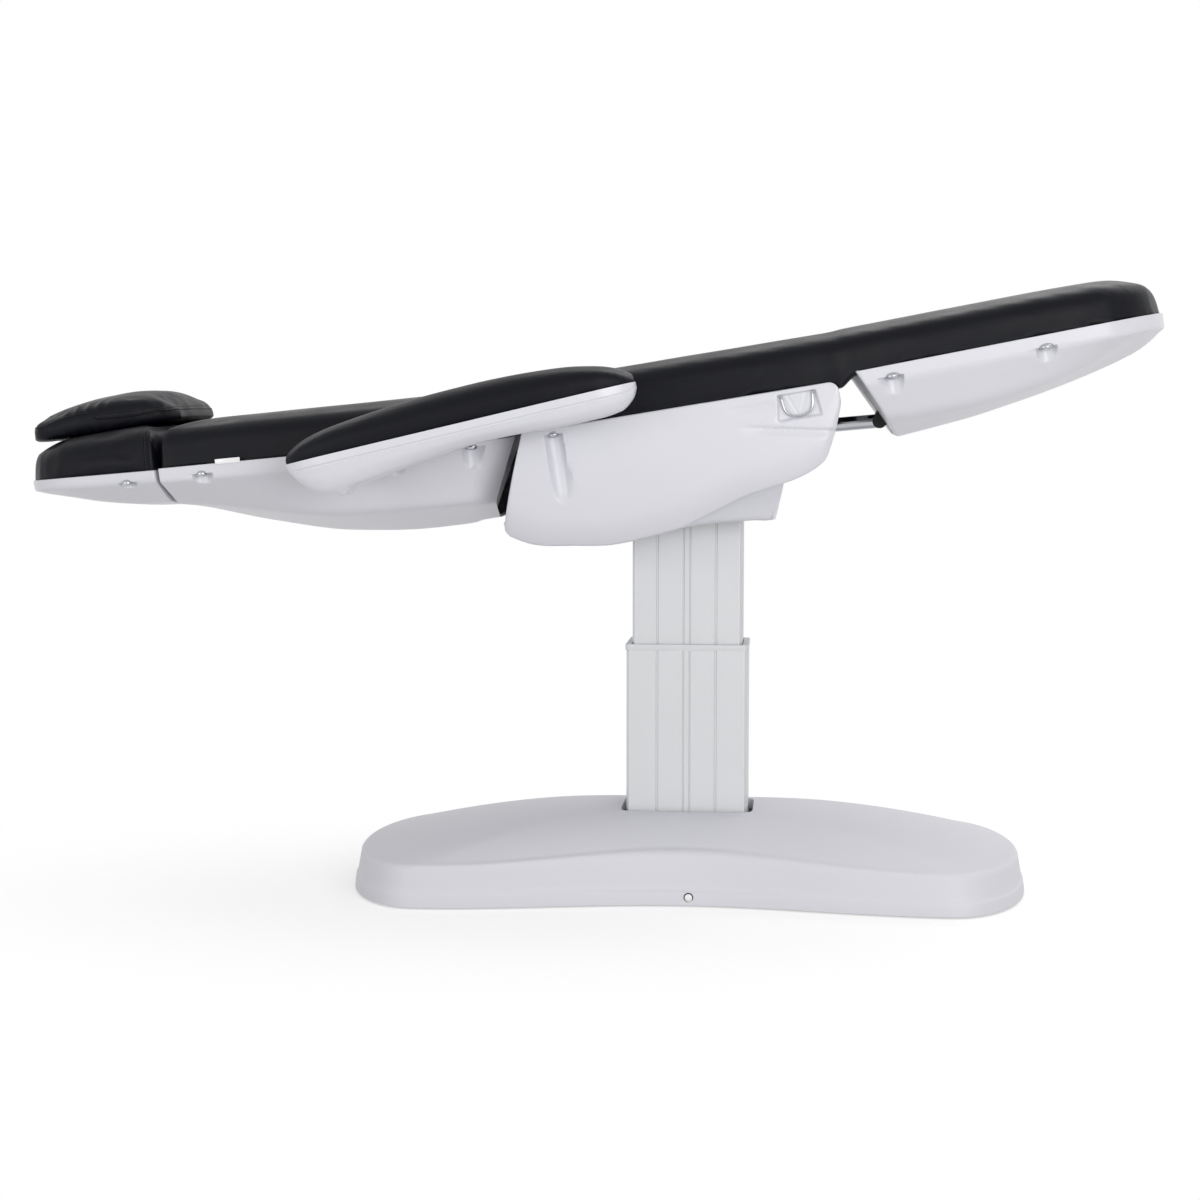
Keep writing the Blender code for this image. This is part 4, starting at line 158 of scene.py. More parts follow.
PILLOW_HEIGHT_SHARES = ((0.0, 0.60), (0.06, 0.71), (0.2, 0.83), (0.35, 0.93), (0.62, 1.0), (0.82, 0.92),
                        (0.95, 0.68), (1.0, 0.46))
PILLOW_SEAM_HEIGHTS = ((-0.125, 0.024), (-0.09, 0.031), (-0.035, 0.034), (-0.015, 0.029), (-0.004, 0.0215),
                       (0.010, 0.0205), (0.09, 0.0180), (0.125, 0.0190))
PILLOW_WIDTH_SHARES = ((0.0, 0.80), (0.06, 0.93), (0.35, 1.0), (0.7, 0.97), (0.92, 0.86), (1.0, 0.66))


def linear(code):
    """Turn an sRGB hex colour into linear values."""
    parts = [int(code[place:place + 2], 16) / 255 for place in (1, 3, 5)]
    return tuple(((part + 0.055) / 1.055) ** 2.4 if part > 0.04045 else part / 12.92 for part in parts)


def colour(name, code, use):
    """A colour that the panel can change."""
    return bpy.props.FloatVectorProperty(name=name, description=use, subtype="COLOR", size=3, min=0.0, max=1.0,
                                         default=linear(code))


def length(name, size, use):
    """A length in metres that the panel can change."""
    return bpy.props.FloatProperty(name=name, description=use, unit="LENGTH", subtype="DISTANCE", min=0.0001,
                                   default=size)


class SPA_PG_finishes(bpy.types.PropertyGroup):
    """Colours of the table's finishes."""
    shell: colour("Shell", "#DCDCE2", "Moulded white ABS of the shells")
    base: colour("Base cover", "#D9D9DF", "Matt grey-white ABS of the base cover")
    gloss_white: colour("Tab and cap", "#F4F4F4", "Glossy white polypropylene")
    leather: colour("Leatherette", "#0C0D14", "Black vinyl leatherette of the pads")
    thread: colour("Thread", "#2B2C30", "Sewing thread on the pads")
    column: colour("Column", "#D3D4D6", "Satin silver paint on aluminium")
    collar: colour("Collar", "#DADBDD", "Pale acetal of the column's glide collar")
    frame_paint: colour("Frame paint", "#1B1B1C", "Powder coat on the steel frames")
    housing: colour("Drive housing", "#1F2023", "Dark glass-filled nylon")
    chrome: colour("Chrome", "#B4B6BA", "Bright plated steel")
    rubber: colour("Rubber", "#131313", "Feet")


class SPA_PG_sizes(bpy.types.PropertyGroup):
    """Sizes of the table's trim."""
    welt: length("Seam welt", 0.0016, "Radius of the raised seams on the pads")
    stitch_pitch: length("Stitch pitch", 0.0055, "Distance between stitches")
    stitch_long: length("Stitch length", 0.0040, "Length of one stitch")
    thread_thick: length("Thread thickness", 0.0009, "Thickness of one stitch")
    screw_head: length("Screw head", 0.0085, "Radius of the shells' button screws")
    screw_rise: length("Screw rise", 0.0056, "Height of the screws' domed heads")
    groove: length("Column groove", 0.0035, "Width of the grooves down the column")
    column_groove_deep: length("Column groove depth", 0.0020, "Depth of the grooves down the column")
    puff: length("Pad swell", 0.0050, "How far a pad's cover may swell")
    pillow_puff: length("Pillow swell", 0.0070, "How far the pillow's cover may swell")


def section_matrix(name, middle=0.0):
    """The place and tilt of a section's own frame."""
    x, z, slope = SECTIONS[name]
    return Matrix.Translation((x, middle, z)) @ Matrix.Rotation(-math.radians(slope), 4, "Y")


def curve_at(shares, place):
    """Read a table of (place, share) pairs along a smooth curve that keeps between its rows."""
    if place <= shares[0][0]:
        return shares[0][1]
    if place >= shares[-1][0]:
        return shares[-1][1]
    step = next(index for index in range(len(shares) - 1) if place <= shares[index + 1][0])
    (start, low), (end, high) = shares[step], shares[step + 1]

    def rise(index):
        """Slope between two rows, or None past the table's ends."""
        if index < 0 or index >= len(shares) - 1:
            return None
        return (shares[index + 1][1] - shares[index][1]) / (shares[index + 1][0] - shares[index][0])

    here = rise(step)
    slopes = []
    for other in (rise(step - 1), rise(step + 1)):
        if other is None:
            slopes.append(here)
        elif other * here <= 0.0:
            slopes.append(0.0)
        else:
            slopes.append(2 * other * here / (other + here))
    run = end - start
    t = (place - start) / run
    return (low * (2 * t ** 3 - 3 * t ** 2 + 1) + high * (3 * t ** 2 - 2 * t ** 3)
            + run * (slopes[0] * (t ** 3 - 2 * t ** 2 + t) + slopes[1] * (t ** 3 - t ** 2)))


def ease(low, high, value):
    """A smooth step from 0 at low to 1 at high."""
    t = min(1.0, max(0.0, (value - low) / (high - low)))
    return t * t * (3 - 2 * t)


def soft_line(corners, radii, spans, bend=4):
    """A line through corners with each inner one rounded, always as the same number of points."""
    corners = [Vector(corner) for corner in corners]
    stops = [(corners[0], None)]
    for before, corner, after, radius in zip(corners, corners[1:], corners[2:], radii):
        back, on = before - corner, after - corner
        reach = min(radius, back.length * 0.45, on.length * 0.45)
        if reach < 1e-6:
            stops.append((corner, (corner, corner)))
        else:
            stops.append((corner, (corner + back.normalized() * reach, corner + on.normalized() * reach)))
    stops.append((corners[-1], None))
    path = [corners[0].copy()]
    for index, count in enumerate(spans):
        start = path[-1]
        corner, arc = stops[index + 1]
        goal = arc[0] if arc else corner
        path += [start.lerp(goal, step / count) for step in range(1, count + 1)]
        if arc:
            for step in range(1, bend + 1):
                t = step / bend
                path.append(arc[0] * (1 - t) ** 2 + corner * 2 * t * (1 - t) + arc[1] * t * t)
    return path


def drawn_in(half, inset):
    """A half section drawn in towards its middle, with its rim kept level."""
    if inset <= 0.0:
        return half
    moved = []
    for index, point in enumerate(half):
        before = half[max(0, index - 1)]
        after = half[min(len(half) - 1, index + 1)]
        run = after - before
        if run.length < 1e-9:
            run = Vector((0.0, -1.0))
        run.normalize()
        inward = Vector((run.y, -run.x))
        if index == 0:
            inward = Vector((-1.0, 0.0))
        if index == len(half) - 1:
            inward = Vector((0.0, 1.0))
        place = point + inward * inset
        moved.append(Vector((max(0.0, place.x), place.y)))
    return moved


def close_places(left, right, step, dense):
    """Places from left to right, packed close together beside each dense one."""
    near, fine = 0.016, 0.0013
    places = {round(left, 6), round(right, 6)}
    count = max(2, round((right - left) / step))
    for index in range(count + 1):
        place = left + (right - left) * index / count
        if all(abs(place - middle) > near for middle in dense):
            places.add(round(place, 6))
    for middle in dense:
        count = round(near / fine)
        for index in range(-count, count + 1):
            place = middle + near * index / count
            if left <= place <= right:
                places.add(round(place, 6))
    return sorted(places)


def sink(point, pocket):
    """Draw a point of a shell's side in to a screw pocket: a round groove with a flat roof that runs out below."""
    place, centre, roof, run, radius = pocket
    aside = abs(point.x - place)
    lip = 0.0016
    if aside >= radius + lip or point.z > roof:
        return
    sign = 1.0 if point.y > 0.0 else -1.0
    wall = centre - math.sqrt(max(0.0, radius ** 2 - min(aside, radius) ** 2))
    wall += ease(0.0, 1.0, (roof - run - point.z) / run) * 2 * radius
    reach = abs(point.y)
    mix = min(1.0, max(0.0, 0.5 + 0.5 * (reach - wall) / lip))
    sunk = reach * (1 - mix) + wall * mix - lip * mix * (1 - mix)
    if aside > radius:
        sunk = reach + (sunk - reach) * (1 - ease(radius, radius + lip, aside))
    point.y = sign * min(reach, reach + (sunk - reach) * ease(0.0, 0.0012, roof - point.z))


def basin(half_at, left, right, places, lean_at, pockets, closed, edge=0.003):
    """An open-topped sheet from half sections at places along it, with rounded closed ends."""
    stations = [(place, 0.0) for place in places]
    for end, direction in ((closed[0], 1), (closed[1], -1)):
        if not end:
            continue
        at = left if direction > 0 else right
        stations = [(place, inset) for place, inset in stations if abs(place - at) > edge * 1.05]
        for turn in (0, 18, 36, 54, 72, 90):
            away = edge * (1 - math.cos(math.radians(turn)))
            inset = edge * (1 - math.sin(math.radians(turn)))
            stations.append((at + direction * away, inset))
    stations.sort()
    bm = bmesh.new()
    grid = []
    for place, inset in stations:
        half = drawn_in(half_at((place - left) / (right - left)), inset)
        lean = lean_at((place - left) / (right - left))
        top = half[0].y
        row = []
        for sign, line in ((-1, half), (1, list(reversed(half[:-1])))):
            for across, up in line:
                point = Vector((place + lean * (top - up), sign * across, up))
                for pocket in pockets:
                    sink(point, pocket)
                row.append(bm.verts.new(point))
        grid.append(row)
    for first, second in zip(grid, grid[1:]):
        for index in range(len(first) - 1):
            bm.faces.new((first[index], second[index], second[index + 1], first[index + 1]))
    for end, row in zip(closed, (grid[0], list(reversed(grid[-1])))):
        if end:
            bm.faces.new(row)
    bmesh.ops.recalc_face_normals(bm, faces=bm.faces)
    bm.normal_update()
    middle = grid[len(grid) // 2][len(grid[0]) // 2]
    if middle.normal.z > 0.0:
        bmesh.ops.reverse_faces(bm, faces=bm.faces)
    return bm


def end_window(bm, side, near, far, low, high):
    """Cut an opening in the flat end wall of a sheet, at its left (-1) or right (1) end."""
    middle = sum(vert.co.x for vert in bm.verts) / len(bm.verts)
    walls = []
    for face in bm.faces:
        across = [vert.co.y for vert in face.verts]
        if max(across) - min(across) > 0.02 and (face.calc_center_median().x - middle) * side > 0.0:
            if abs(face.normal.x) > 0.5:
                walls.append(face)
    for at, normal in (((0, near, 0), (0, 1, 0)), ((0, far, 0), (0, 1, 0)), ((0, 0, low), (0, 0, 1)),
                       ((0, 0, high), (0, 0, 1))):
        parts = set(walls)
        for face in walls:
            parts.update(face.edges)
            parts.update(face.verts)
        cut = bmesh.ops.bisect_plane(bm, geom=list(parts), plane_co=at, plane_no=normal)
        walls = [part for part in cut["geom"] if isinstance(part, bmesh.types.BMFace)]
    inside = []
    for face in walls:
        middle = face.calc_center_median()
        if near < middle.y < far and low < middle.z < high:
            inside.append(face)
    bmesh.ops.delete(bm, geom=inside, context="FACES")


def skin(bm, rows):
    """Join rows of vertices with faces, each row closed round."""
    count = len(rows[0])
    for first, second in zip(rows, rows[1:]):
        for index in range(count):
            after = (index + 1) % count
            bm.faces.new((first[index], first[after], second[after], second[index]))


def ringed(rings, hollow=False):
    """Rings joined into a skin that is capped at both ends, or comes back to its first ring."""
    bm = bmesh.new()
    rows = [[bm.verts.new(point) for point in ring] for ring in rings]
    skin(bm, rows + rows[:1] if hollow else rows)
    if not hollow:
        bm.faces.new(rows[0])
        bm.faces.new(list(reversed(rows[-1])))
    bmesh.ops.recalc_face_normals(bm, faces=bm.faces)
    return bm


def brick(left, right, near, far, low, high):
    """A box between six faces."""
    bm = bmesh.new()
    bmesh.ops.create_cube(bm, size=1.0)
    size = Matrix.Diagonal((right - left, far - near, high - low, 1.0))
    middle = Matrix.Translation(((left + right) / 2, (near + far) / 2, (low + high) / 2))
    bmesh.ops.transform(bm, matrix=middle @ size, verts=bm.verts)
    return bm


def as_object(name, bm):
    """Put a bmesh into a new object of the scene."""
    mesh = bpy.data.meshes.new(name)
    bm.to_mesh(mesh)
    bm.free()
    piece = bpy.data.objects.new(name, mesh)
    bpy.context.scene.collection.objects.link(piece)
    return piece


def settle(piece):
    """Turn an object's modifiers into its mesh."""
    bpy.context.view_layer.update()
    evaluated = piece.evaluated_get(bpy.context.evaluated_depsgraph_get())
    mesh = bpy.data.meshes.new_from_object(evaluated)
    mesh.name = piece.name
    piece.modifiers.clear()
    piece.data = mesh


def thicken(piece, wall):
    """Give an open sheet its wall, inwards."""
    step = piece.modifiers.new("wall", "SOLIDIFY")
    step.thickness = wall
    step.offset = -1.0
    settle(piece)


def carve(piece, shapes):
    """Cut shapes out of a piece."""
    for shape in shapes:
        tool = as_object("tool", shape)
        step = piece.modifiers.new("cut", "BOOLEAN")
        step.operation = "DIFFERENCE"
        step.solver = "EXACT"
        step.object = tool
        settle(piece)
        bpy.data.objects.remove(tool, do_unlink=True)


def merge(piece, shapes):
    """Add loose closed shapes to a piece's mesh."""
    whole = bmesh.new()
    whole.from_mesh(piece.data)
    for shape in shapes:
        spare = bpy.data.meshes.new("spare")
        shape.to_mesh(spare)
        shape.free()
        whole.from_mesh(spare)
        bpy.data.meshes.remove(spare)
    whole.to_mesh(piece.data)
    whole.free()


def blend_shade(piece, angle=32.0):
    """Smooth shading, with edges sharper than the angle kept."""
    piece.data.shade_smooth()
    piece.data.set_sharp_from_angle(angle=math.radians(angle))


def dress(piece, body, slot, nodes=(), matrix=None, finish=None):
    """Put a finished piece in its place on its body, with its finish and the nodes that it stands for."""
    if matrix is not None:
        piece.data.transform(matrix)
    piece.data.materials.clear()
    piece.data.materials.append(bpy.data.materials[finish or FINISHES[slot]])
    if body:
        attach(piece, body)
    if nodes:
        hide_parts(*nodes)


def corner_fall(radius, past):
    """How far a rounded corner falls away at a distance past its start."""
    return radius - math.sqrt(max(0.0, radius ** 2 - max(0.0, past) ** 2))


def both_sides(near, far, *heights):
    """The same opening on the near side and on the far side."""
    return [(-far, -near, *heights), (near, far, *heights)]


# The back, headrest and leg shells share one construction


def moulded_sheet(name, half_at, left, right, screws, rim, run, lean_at, side, windows, step=0.008, dense=(),
                  closed=(True, True), edge=0.003):
    """A shell with its screw pockets, and with windows in the end wall on one side."""
    pockets = []
    for place, drop in screws:
        width = half_at((place - left) / (right - left))[0].x
        pockets.append((place, width - 0.018 + POCKET_RADIUS, rim - drop, run, POCKET_RADIUS))
    places = close_places(left, right, step, [place for place, _ in screws] + list(dense))
    bm = basin(half_at, left, right, places, lean_at, pockets, closed, edge)
    for window in windows:
        end_window(bm, side, *window)
    piece = as_object(name, bm)
    thicken(piece, SHELL_WALL)
    return piece


def back_half(share):
    """Half section of the back's shell, from rim to keel."""
    width = BACK_HALF_WIDTH * curve_at(BACK_WIDTH_SHARES, share)
    crease = BACK_DEPTH * curve_at(BACK_CREASE_SHARES, share)
    keel = BACK_DEPTH * curve_at(BACK_KEEL_SHARES, share)
    corners = ((width, BACK_RIM), (width - 0.003, BACK_RIM - BACK_BAND),
               (width * curve_at(BACK_CREASE_WIDTH_SHARES, share), BACK_RIM - crease),
               (width * curve_at(BACK_KEEL_WIDTH_SHARES, share), BACK_RIM - keel), (0.0, BACK_RIM - keel))
    return soft_line(corners, (0.006, 0.016, 0.014), (22, 22, 8, 5), bend=5)


def build_back_shell():
    """The back's moulded shell, with a wall across its right end on each side."""
    piece = moulded_sheet("back_shell_moulding", back_half, BACK_LEFT, BACK_RIGHT, BACK_SCREWS, BACK_RIM, 0.030,
                          lambda share: curve_at(BACK_LEAN_SHARES, share), -1,
                          both_sides(0.040, 0.063, -0.1045, -0.044), closed=(True, False))
    inner, slack = 0.160, 0.0015
    outline = [point for point in back_half(1.0) if point.x >= inner]
    outline += [Vector((inner, outline[-1].y)), Vector((inner, BACK_RIM - 0.001))]
    walls = []
    for _, sign in SIDES:
        rings = []
        for setback in (0.0015, 0.0045):
            rings.append([(BACK_RIGHT - setback - 0.45 * (BACK_RIM - up), sign * max(inner, across - slack),
                           up + 0.0012 * (up < -0.05)) for across, up in outline])
        walls.append(ringed(rings))
    merge(piece, walls)
    blend_shade(piece)
    dress(piece, "back", "white_plastic", ["back_shell"], section_matrix("back"))


def head_half(share):
    """Half section of the headrest's shell."""
    width = HEAD_HALF_WIDTH * curve_at(HEAD_WIDTH_SHARES, share)
    keel = HEAD_DEPTH * curve_at(HEAD_KEEL_SHARES, share)
    band = min(HEAD_BAND, keel * 0.80)
    facet = max(keel * 0.88, band + 0.001)
    corners = ((width, HEAD_RIM), (width - 0.003, HEAD_RIM - band),
               (width * curve_at(HEAD_FACET_WIDTH_SHARES, share), HEAD_RIM - facet),
               (width * curve_at(HEAD_KEEL_WIDTH_SHARES, share), HEAD_RIM - keel - 0.001),
               (0.0, HEAD_RIM - keel - 0.001))
    return soft_line(corners, (0.008, 0.020, 0.020), (18, 18, 7, 5), bend=5)


def build_head_shell():
    """The headrest's moulded shell."""
    piece = moulded_sheet("headrest_shell_moulding", head_half, HEAD_LEFT, HEAD_LEFT + HEAD_LENGTH, HEAD_SCREWS,
                          HEAD_RIM, 0.020, lambda share: 0.0, 1, both_sides(0.040, 0.063, -0.0095, 0.049),
                          step=0.006, dense=[HEAD_LEFT])
    blend_shade(piece)
    dress(piece, "headrest", "white_plastic", ["headrest_shell"], section_matrix("headrest"))


def leg_half(share):
    """Half section of the leg rest's shell."""
    width = LEG_HALF_WIDTH * curve_at(LEG_WIDTH_SHARES, share)
    keel = LEG_DEPTH * curve_at(LEG_KEEL_SHARES, share)
    crease = LEG_DEPTH * curve_at(LEG_CREASE_SHARES, share)
    band = min(LEG_BAND, crease * 0.88)
    corners = ((width, LEG_RIM), (width - 0.003, LEG_RIM - band),
               (width * LEG_CREASE_WIDTH_SHARE, LEG_RIM - crease),
               (width * LEG_KEEL_WIDTH_SHARE, LEG_RIM - keel), (0.0, LEG_RIM - keel))
    return soft_line(corners, (0.006, 0.018, 0.016), (24, 20, 8, 5), bend=5)


def build_leg_shell():
    """The leg rest's moulded shell."""
    right = LEG_LEFT + LEG_LENGTH
    windows = [(-0.026, 0.026, -0.134, -0.058)] + both_sides(0.124, 0.151, -0.088, -0.016)
    piece = moulded_sheet("leg_rest_shell_moulding", leg_half, LEG_LEFT, right, LEG_SCREWS, LEG_RIM, 0.026,
                          lambda share: curve_at(LEG_LEAN_SHARES, share), -1, windows, dense=[right], edge=0.0045)
    blend_shade(piece)
    dress(piece, "leg_rest", "white_plastic", ["leg_shell"], section_matrix("leg_rest"))


# The seat's shell: two wings and the box round the column


def seat_depth(share):
    """Depth of a wing below its rim, with its lower left corner rounded."""
    corner = 0.012
    near = max(0.0, 1 - share * (SEAT_RIGHT - SEAT_LEFT) / corner)
    return SEAT_DEPTH * curve_at(SEAT_SIDE_SHARES, share) - corner * (1 - math.sqrt(max(0.0, 1 - near ** 2)))


def seat_foot(share):
    """Half width of the seat at a wing's lower edge."""
    return SEAT_HALF_WIDTH * curve_at(SEAT_FOOT_SHARES, share)


def wing_top(place):
    """Height of a wing's top edge, which rounds down at its right corner."""
    corner = 0.016
    return SEAT_RIM - corner_fall(corner, place - (SEAT_RIGHT - corner))


def ring_dent(place, up):
    """How deep a wing's face is sunk for the D-ring: a tray with a V scored in it."""
    low, high = 0.0915, 0.1305
    half = 0.0285 + 0.005 * (high - up) / (high - low)
    aside = abs(place - RING_PLACE[0])
    inside = ease(-0.0020, 0.0026, half - aside) * ease(-0.0010, 0.0014, high - up) * ease(-0.0022, 0.0028, up - low)
    rib = abs(aside - (up - 0.0935) * 0.42)
    mark = 0.0012 * (1 - ease(0.0008, 0.0024, rib)) * ease(0.0945, 0.0975, up) * ease(0.0005, 0.004, high - up)
    return inside * (0.0064 + mark)


def ring_fold(place, up):
    """How deep a wing's face is drawn in round the D-ring: a crease below the tray and a faint one above it."""
    line = curve_at(((0.095, 0.0975), (0.158, 0.0846), (0.270, 0.0625)), place)
    below = line - up
    crease = 0.0040 * ease(0.100, 0.150, place) * ease(-0.0016, 0.0018, below) * (1 - ease(0.0018, 0.017, below))
    above = 0.0016 * ease(0.085, 0.120, place) * (1 - ease(0.160, 0.168, place))
    return crease + above * math.exp(-((up - 0.1185) / 0.0045) ** 2)


def wing_ring(place, sign, pocket, inset):
    """One closed section of a wing: its outer face with the dents, and its plain inner face."""
    share = (place - SEAT_LEFT) / (SEAT_RIGHT - SEAT_LEFT)
    top = wing_top(place) - inset
    depth = seat_depth(share)
    low = SEAT_RIM - depth + inset
    wall = 0.005 + (WING_THICKNESS - 0.005) * ease(0.10, 0.16, place) - 2 * inset
    corner = min(0.0022, wall * 0.45)
    outer, inner = [], []
    lean = curve_at(SEAT_LEAN_SHARES, share)
    roll = min(0.050, 0.30 * depth)
    for step in range(WING_STEPS + 1):
        t = step / WING_STEPS
        t = t - 0.06 * math.sin(2 * math.pi * t)
        up = top + (low - top) * t
        below = (SEAT_RIM - up) / depth
        face = SEAT_HALF_WIDTH - (SEAT_HALF_WIDTH - seat_foot(share)) * ease(0.28, 1.35, below) * 1.45 - inset
        face -= SEAT_ROLL * roll * max(0.0, 1 - (up - low) / roll) ** 2
        fall = corner_fall(corner, corner - min(up - low, top - up))
        dent = ring_dent(place, up) + ring_fold(place, up)
        point = Vector((place + lean * (SEAT_RIM - up), sign * (face - fall - dent), up))
        sink(point, pocket)
        outer.append(point)
        back = wall - min(fall, wall * 0.45) + pocket_back(place, up)
        inner.append(Vector((point.x, sign * (face - back), up)))
    return outer + list(reversed(inner))


def pocket_back(place, up):
    """How far a wing's inner face stands back behind the long screw pocket."""
    aside = abs(place - SEAT_SCREWS[0][0]) - LONG_POCKET_RADIUS
    return 0.012 * (1 - ease(0.002, 0.006, aside)) * (1 - ease(0.1315, 0.1330, up))


def build_seat_shell():
    """The seat's moulded shell."""
    span = SEAT_RIGHT - SEAT_LEFT
    screw, drop = SEAT_SCREWS[0]
    fine, fine_steps = 0.166, 66
    sections = [(SEAT_LEFT, 0.0022), (SEAT_LEFT + 0.0004, 0.0012), (SEAT_LEFT + 0.0012, 0.0003)]
    sections += [(SEAT_LEFT + step, 0.0) for step in (0.0022, 0.0036, 0.0052, 0.0070, 0.0095)]
    sections += [(place, 0.0) for place in close_places(SEAT_LEFT, fine, 0.006, [screw])
                 if place > SEAT_LEFT + 0.012]
    sections += [(fine + (SEAT_RIGHT - 0.004 - fine) * step / fine_steps, 0.0) for step in range(1, fine_steps + 1)]
    sections += [(SEAT_RIGHT - 0.002, 0.0004), (SEAT_RIGHT - 0.0008, 0.0012), (SEAT_RIGHT, 0.0026)]
    pocket = (screw, SEAT_HALF_WIDTH - 0.0005, SEAT_RIM - drop, 0.085, LONG_POCKET_RADIUS)
    shapes = [ringed([wing_ring(place, sign, pocket, inset) for place, inset in sections]) for _, sign in SIDES]
    right_share = (SEAT_BOX_RIGHT - SEAT_LEFT) / span

    def belly_half(part):
        """Half section of the seat's underside, from a wing's foot to the middle."""
        share = part * right_share
        side = seat_depth(share)
        box = max(SEAT_BOX_DEPTH * curve_at(SEAT_BOX_SHARES, share), side + 0.001)
        foot = seat_foot(share) - 0.004 - 0.75 * SEAT_ROLL * min(0.050, 0.30 * side)
        corners = ((foot, SEAT_RIM - side + 0.006), (foot - 0.004, SEAT_RIM - side + 0.0012),
                   (SEAT_BOX_HALF_WIDTH + 0.004, SEAT_RIM - side), (SEAT_BOX_HALF_WIDTH - 0.004, SEAT_RIM - box),
                   (0.0, SEAT_RIM - box))
        return soft_line(corners, (0.004, 0.012, 0.010), (3, 16, 6, 10), bend=5)

    def belly_lean(part):
        """How the underside leans at its left end, as the wings do."""
        return curve_at(SEAT_LEAN_SHARES, part * right_share)

    bm = basin(belly_half, SEAT_LEFT, SEAT_BOX_RIGHT, close_places(SEAT_LEFT, SEAT_BOX_RIGHT, 0.007, []), belly_lean,
               [], (False, False))
    box_top = SEAT_RIM - seat_depth(right_share)

    def lean_back(vert):
        """How far the box's right end leans to the left below its top."""
        return BOX_LEAN * max(0.0, box_top - vert.co.z)

    for vert in bm.verts:
        share = max(0.0, (vert.co.x - SEAT_LEFT) / span)
        top = SEAT_RIM - seat_depth(min(1.0, share))
        vert.co.x += belly_lean(min(1.0, share / right_share)) * (SEAT_RIM - top) * 0.98
        vert.co.x -= ease(0.09, SEAT_BOX_RIGHT, vert.co.x) * lean_back(vert)
    belly = as_object("belly", bm)
    thicken(belly, BOX_WALL)
    column = brick(-0.116, 0.116, -0.074, 0.074, -0.2, 0.0)
    bmesh.ops.rotate(column, verts=column.verts, cent=(0.0, 0.0, 0.0),
                     matrix=Matrix.Rotation(math.radians(SECTIONS["seat"][2]), 3, "Y"))
    carve(belly, [column])
    spare = bmesh.new()
    spare.from_mesh(belly.data)
    bpy.data.objects.remove(belly, do_unlink=True)
    low = SEAT_RIM - max(SEAT_BOX_DEPTH * curve_at(SEAT_BOX_SHARES, right_share), seat_depth(right_share) + 0.001)
    half = SEAT_BOX_HALF_WIDTH - 0.001
    wall = brick(SEAT_BOX_RIGHT - BOX_WALL, SEAT_BOX_RIGHT, -half, half, low + 0.0008, 0.0013)
    for vert in wall.verts:
        vert.co.x -= lean_back(vert)
    piece = as_object("seat_shell_moulding", bmesh.new())
    merge(piece, shapes + [spare, wall])
    blend_shade(piece, 34.0)
    dress(piece, "seat", "white_plastic", ["seat_shell"], section_matrix("seat"))


def arm_half(share):
    """Half section of an armrest's shell, with the thin groove below its rim."""
    width = ARM_HALF_WIDTH * curve_at(ARM_WIDTH_SHARES, share)
    depth = ARM_DEPTH * curve_at(ARM_DEPTH_SHARES, share)
    line = min(0.0125, depth * 0.42)
    cut = min(0.0026, depth * 0.07)
    corners = ((width, ARM_RIM), (width - 0.0002, ARM_RIM - line + 0.0006), (width - 0.0003 - cut, ARM_RIM - line),
               (width - 0.0022, ARM_RIM - line - cut), (width * 0.86, ARM_RIM - line - (depth - line) * 0.52),
               (width * 0.55, ARM_RIM - depth), (0.0, ARM_RIM - depth))
    return soft_line(corners, (0.0003, 0.0003, 0.0003, 0.020, 0.014), (5, 2, 2, 6, 6, 4), bend=4)


def build_arm_shells():
    """Both armrests' moulded shells, with a round boss about their pivot."""
    count, boss_radius, boss_half = 110, 0.016, 0.026
    for side, sign in SIDES:
        rings = []
        for step in range(count + 1):
            share = 0.5 - 0.5 * math.cos(math.pi * step / count)
            share = share * 0.6 + 0.4 * step / count
            place = ARM_LEFT + ARM_LENGTH * share
            half = drawn_in(arm_half(share), 0.0022 * (1 - ease(0.0, 0.006, min(share, 1 - share))))
            ring = []
            for turn, line in ((-1, half), (1, list(reversed(half[:-1])))):
                for across, up in line:
                    low = up
                    if abs(place) < boss_radius and abs(across) < boss_half:
                        boss = -0.022 - math.sqrt(max(0.0, boss_radius ** 2 - place ** 2))
                        out = ease(boss_radius, boss_half, across)
                        low = min(up, boss * (1 - out) + up * out)
                    ring.append(Vector((place, sign * ARM_MIDDLE_Y + turn * across, low)))
            rings.append(ring)
        piece = as_object(f"armrest_moulding_{side}", ringed(rings))
        blend_shade(piece, 38.0)
        dress(piece, f"armrest_{side}", "white_plastic", [f"armrest_shell_{side}"], section_matrix("armrest"))


# The base and the column


def cover_half_width(place):
    """Half width of the base cover at a distance along the table from the column."""
    if place <= BASE_CORNER_X:
        swing = (1 - math.cos(math.pi * place / BASE_CORNER_X)) / 2
        return BASE_WAIST_HALF_WIDTH + (BASE_CORNER_HALF_WIDTH - BASE_WAIST_HALF_WIDTH) * swing
    reach = min(1.0, (place - BASE_CORNER_X) / (BASE_HALF_LENGTH - BASE_CORNER_X))
    return BASE_CORNER_HALF_WIDTH * math.sqrt(1 - reach ** 2)


def cover_edge(aim):
    """Where the cover's outline lies from the column along a direction."""
    low, high = 0.0, 0.82
    for _ in range(36):
        middle = (low + high) / 2
        x, y = abs(aim.x * middle), abs(aim.y * middle)
        low, high = (middle, high) if x < BASE_HALF_LENGTH and y < cover_half_width(x) else (low, middle)
    return aim * low


def slot_reach(aim):
    """How far the edge of the column's slot lies from its middle, with rounded corners."""
    power = 9.0
    return (abs(aim.x / 0.109) ** power + abs(aim.y / 0.075) ** power) ** (-1 / power)


def wall_top(place):
    """Height of the cover's wall at a distance along the table from the column."""
    return BASE_WAIST_WALL - 0.017 * (1 - math.cos(math.pi * min(1.0, place / BASE_CORNER_X))) / 2


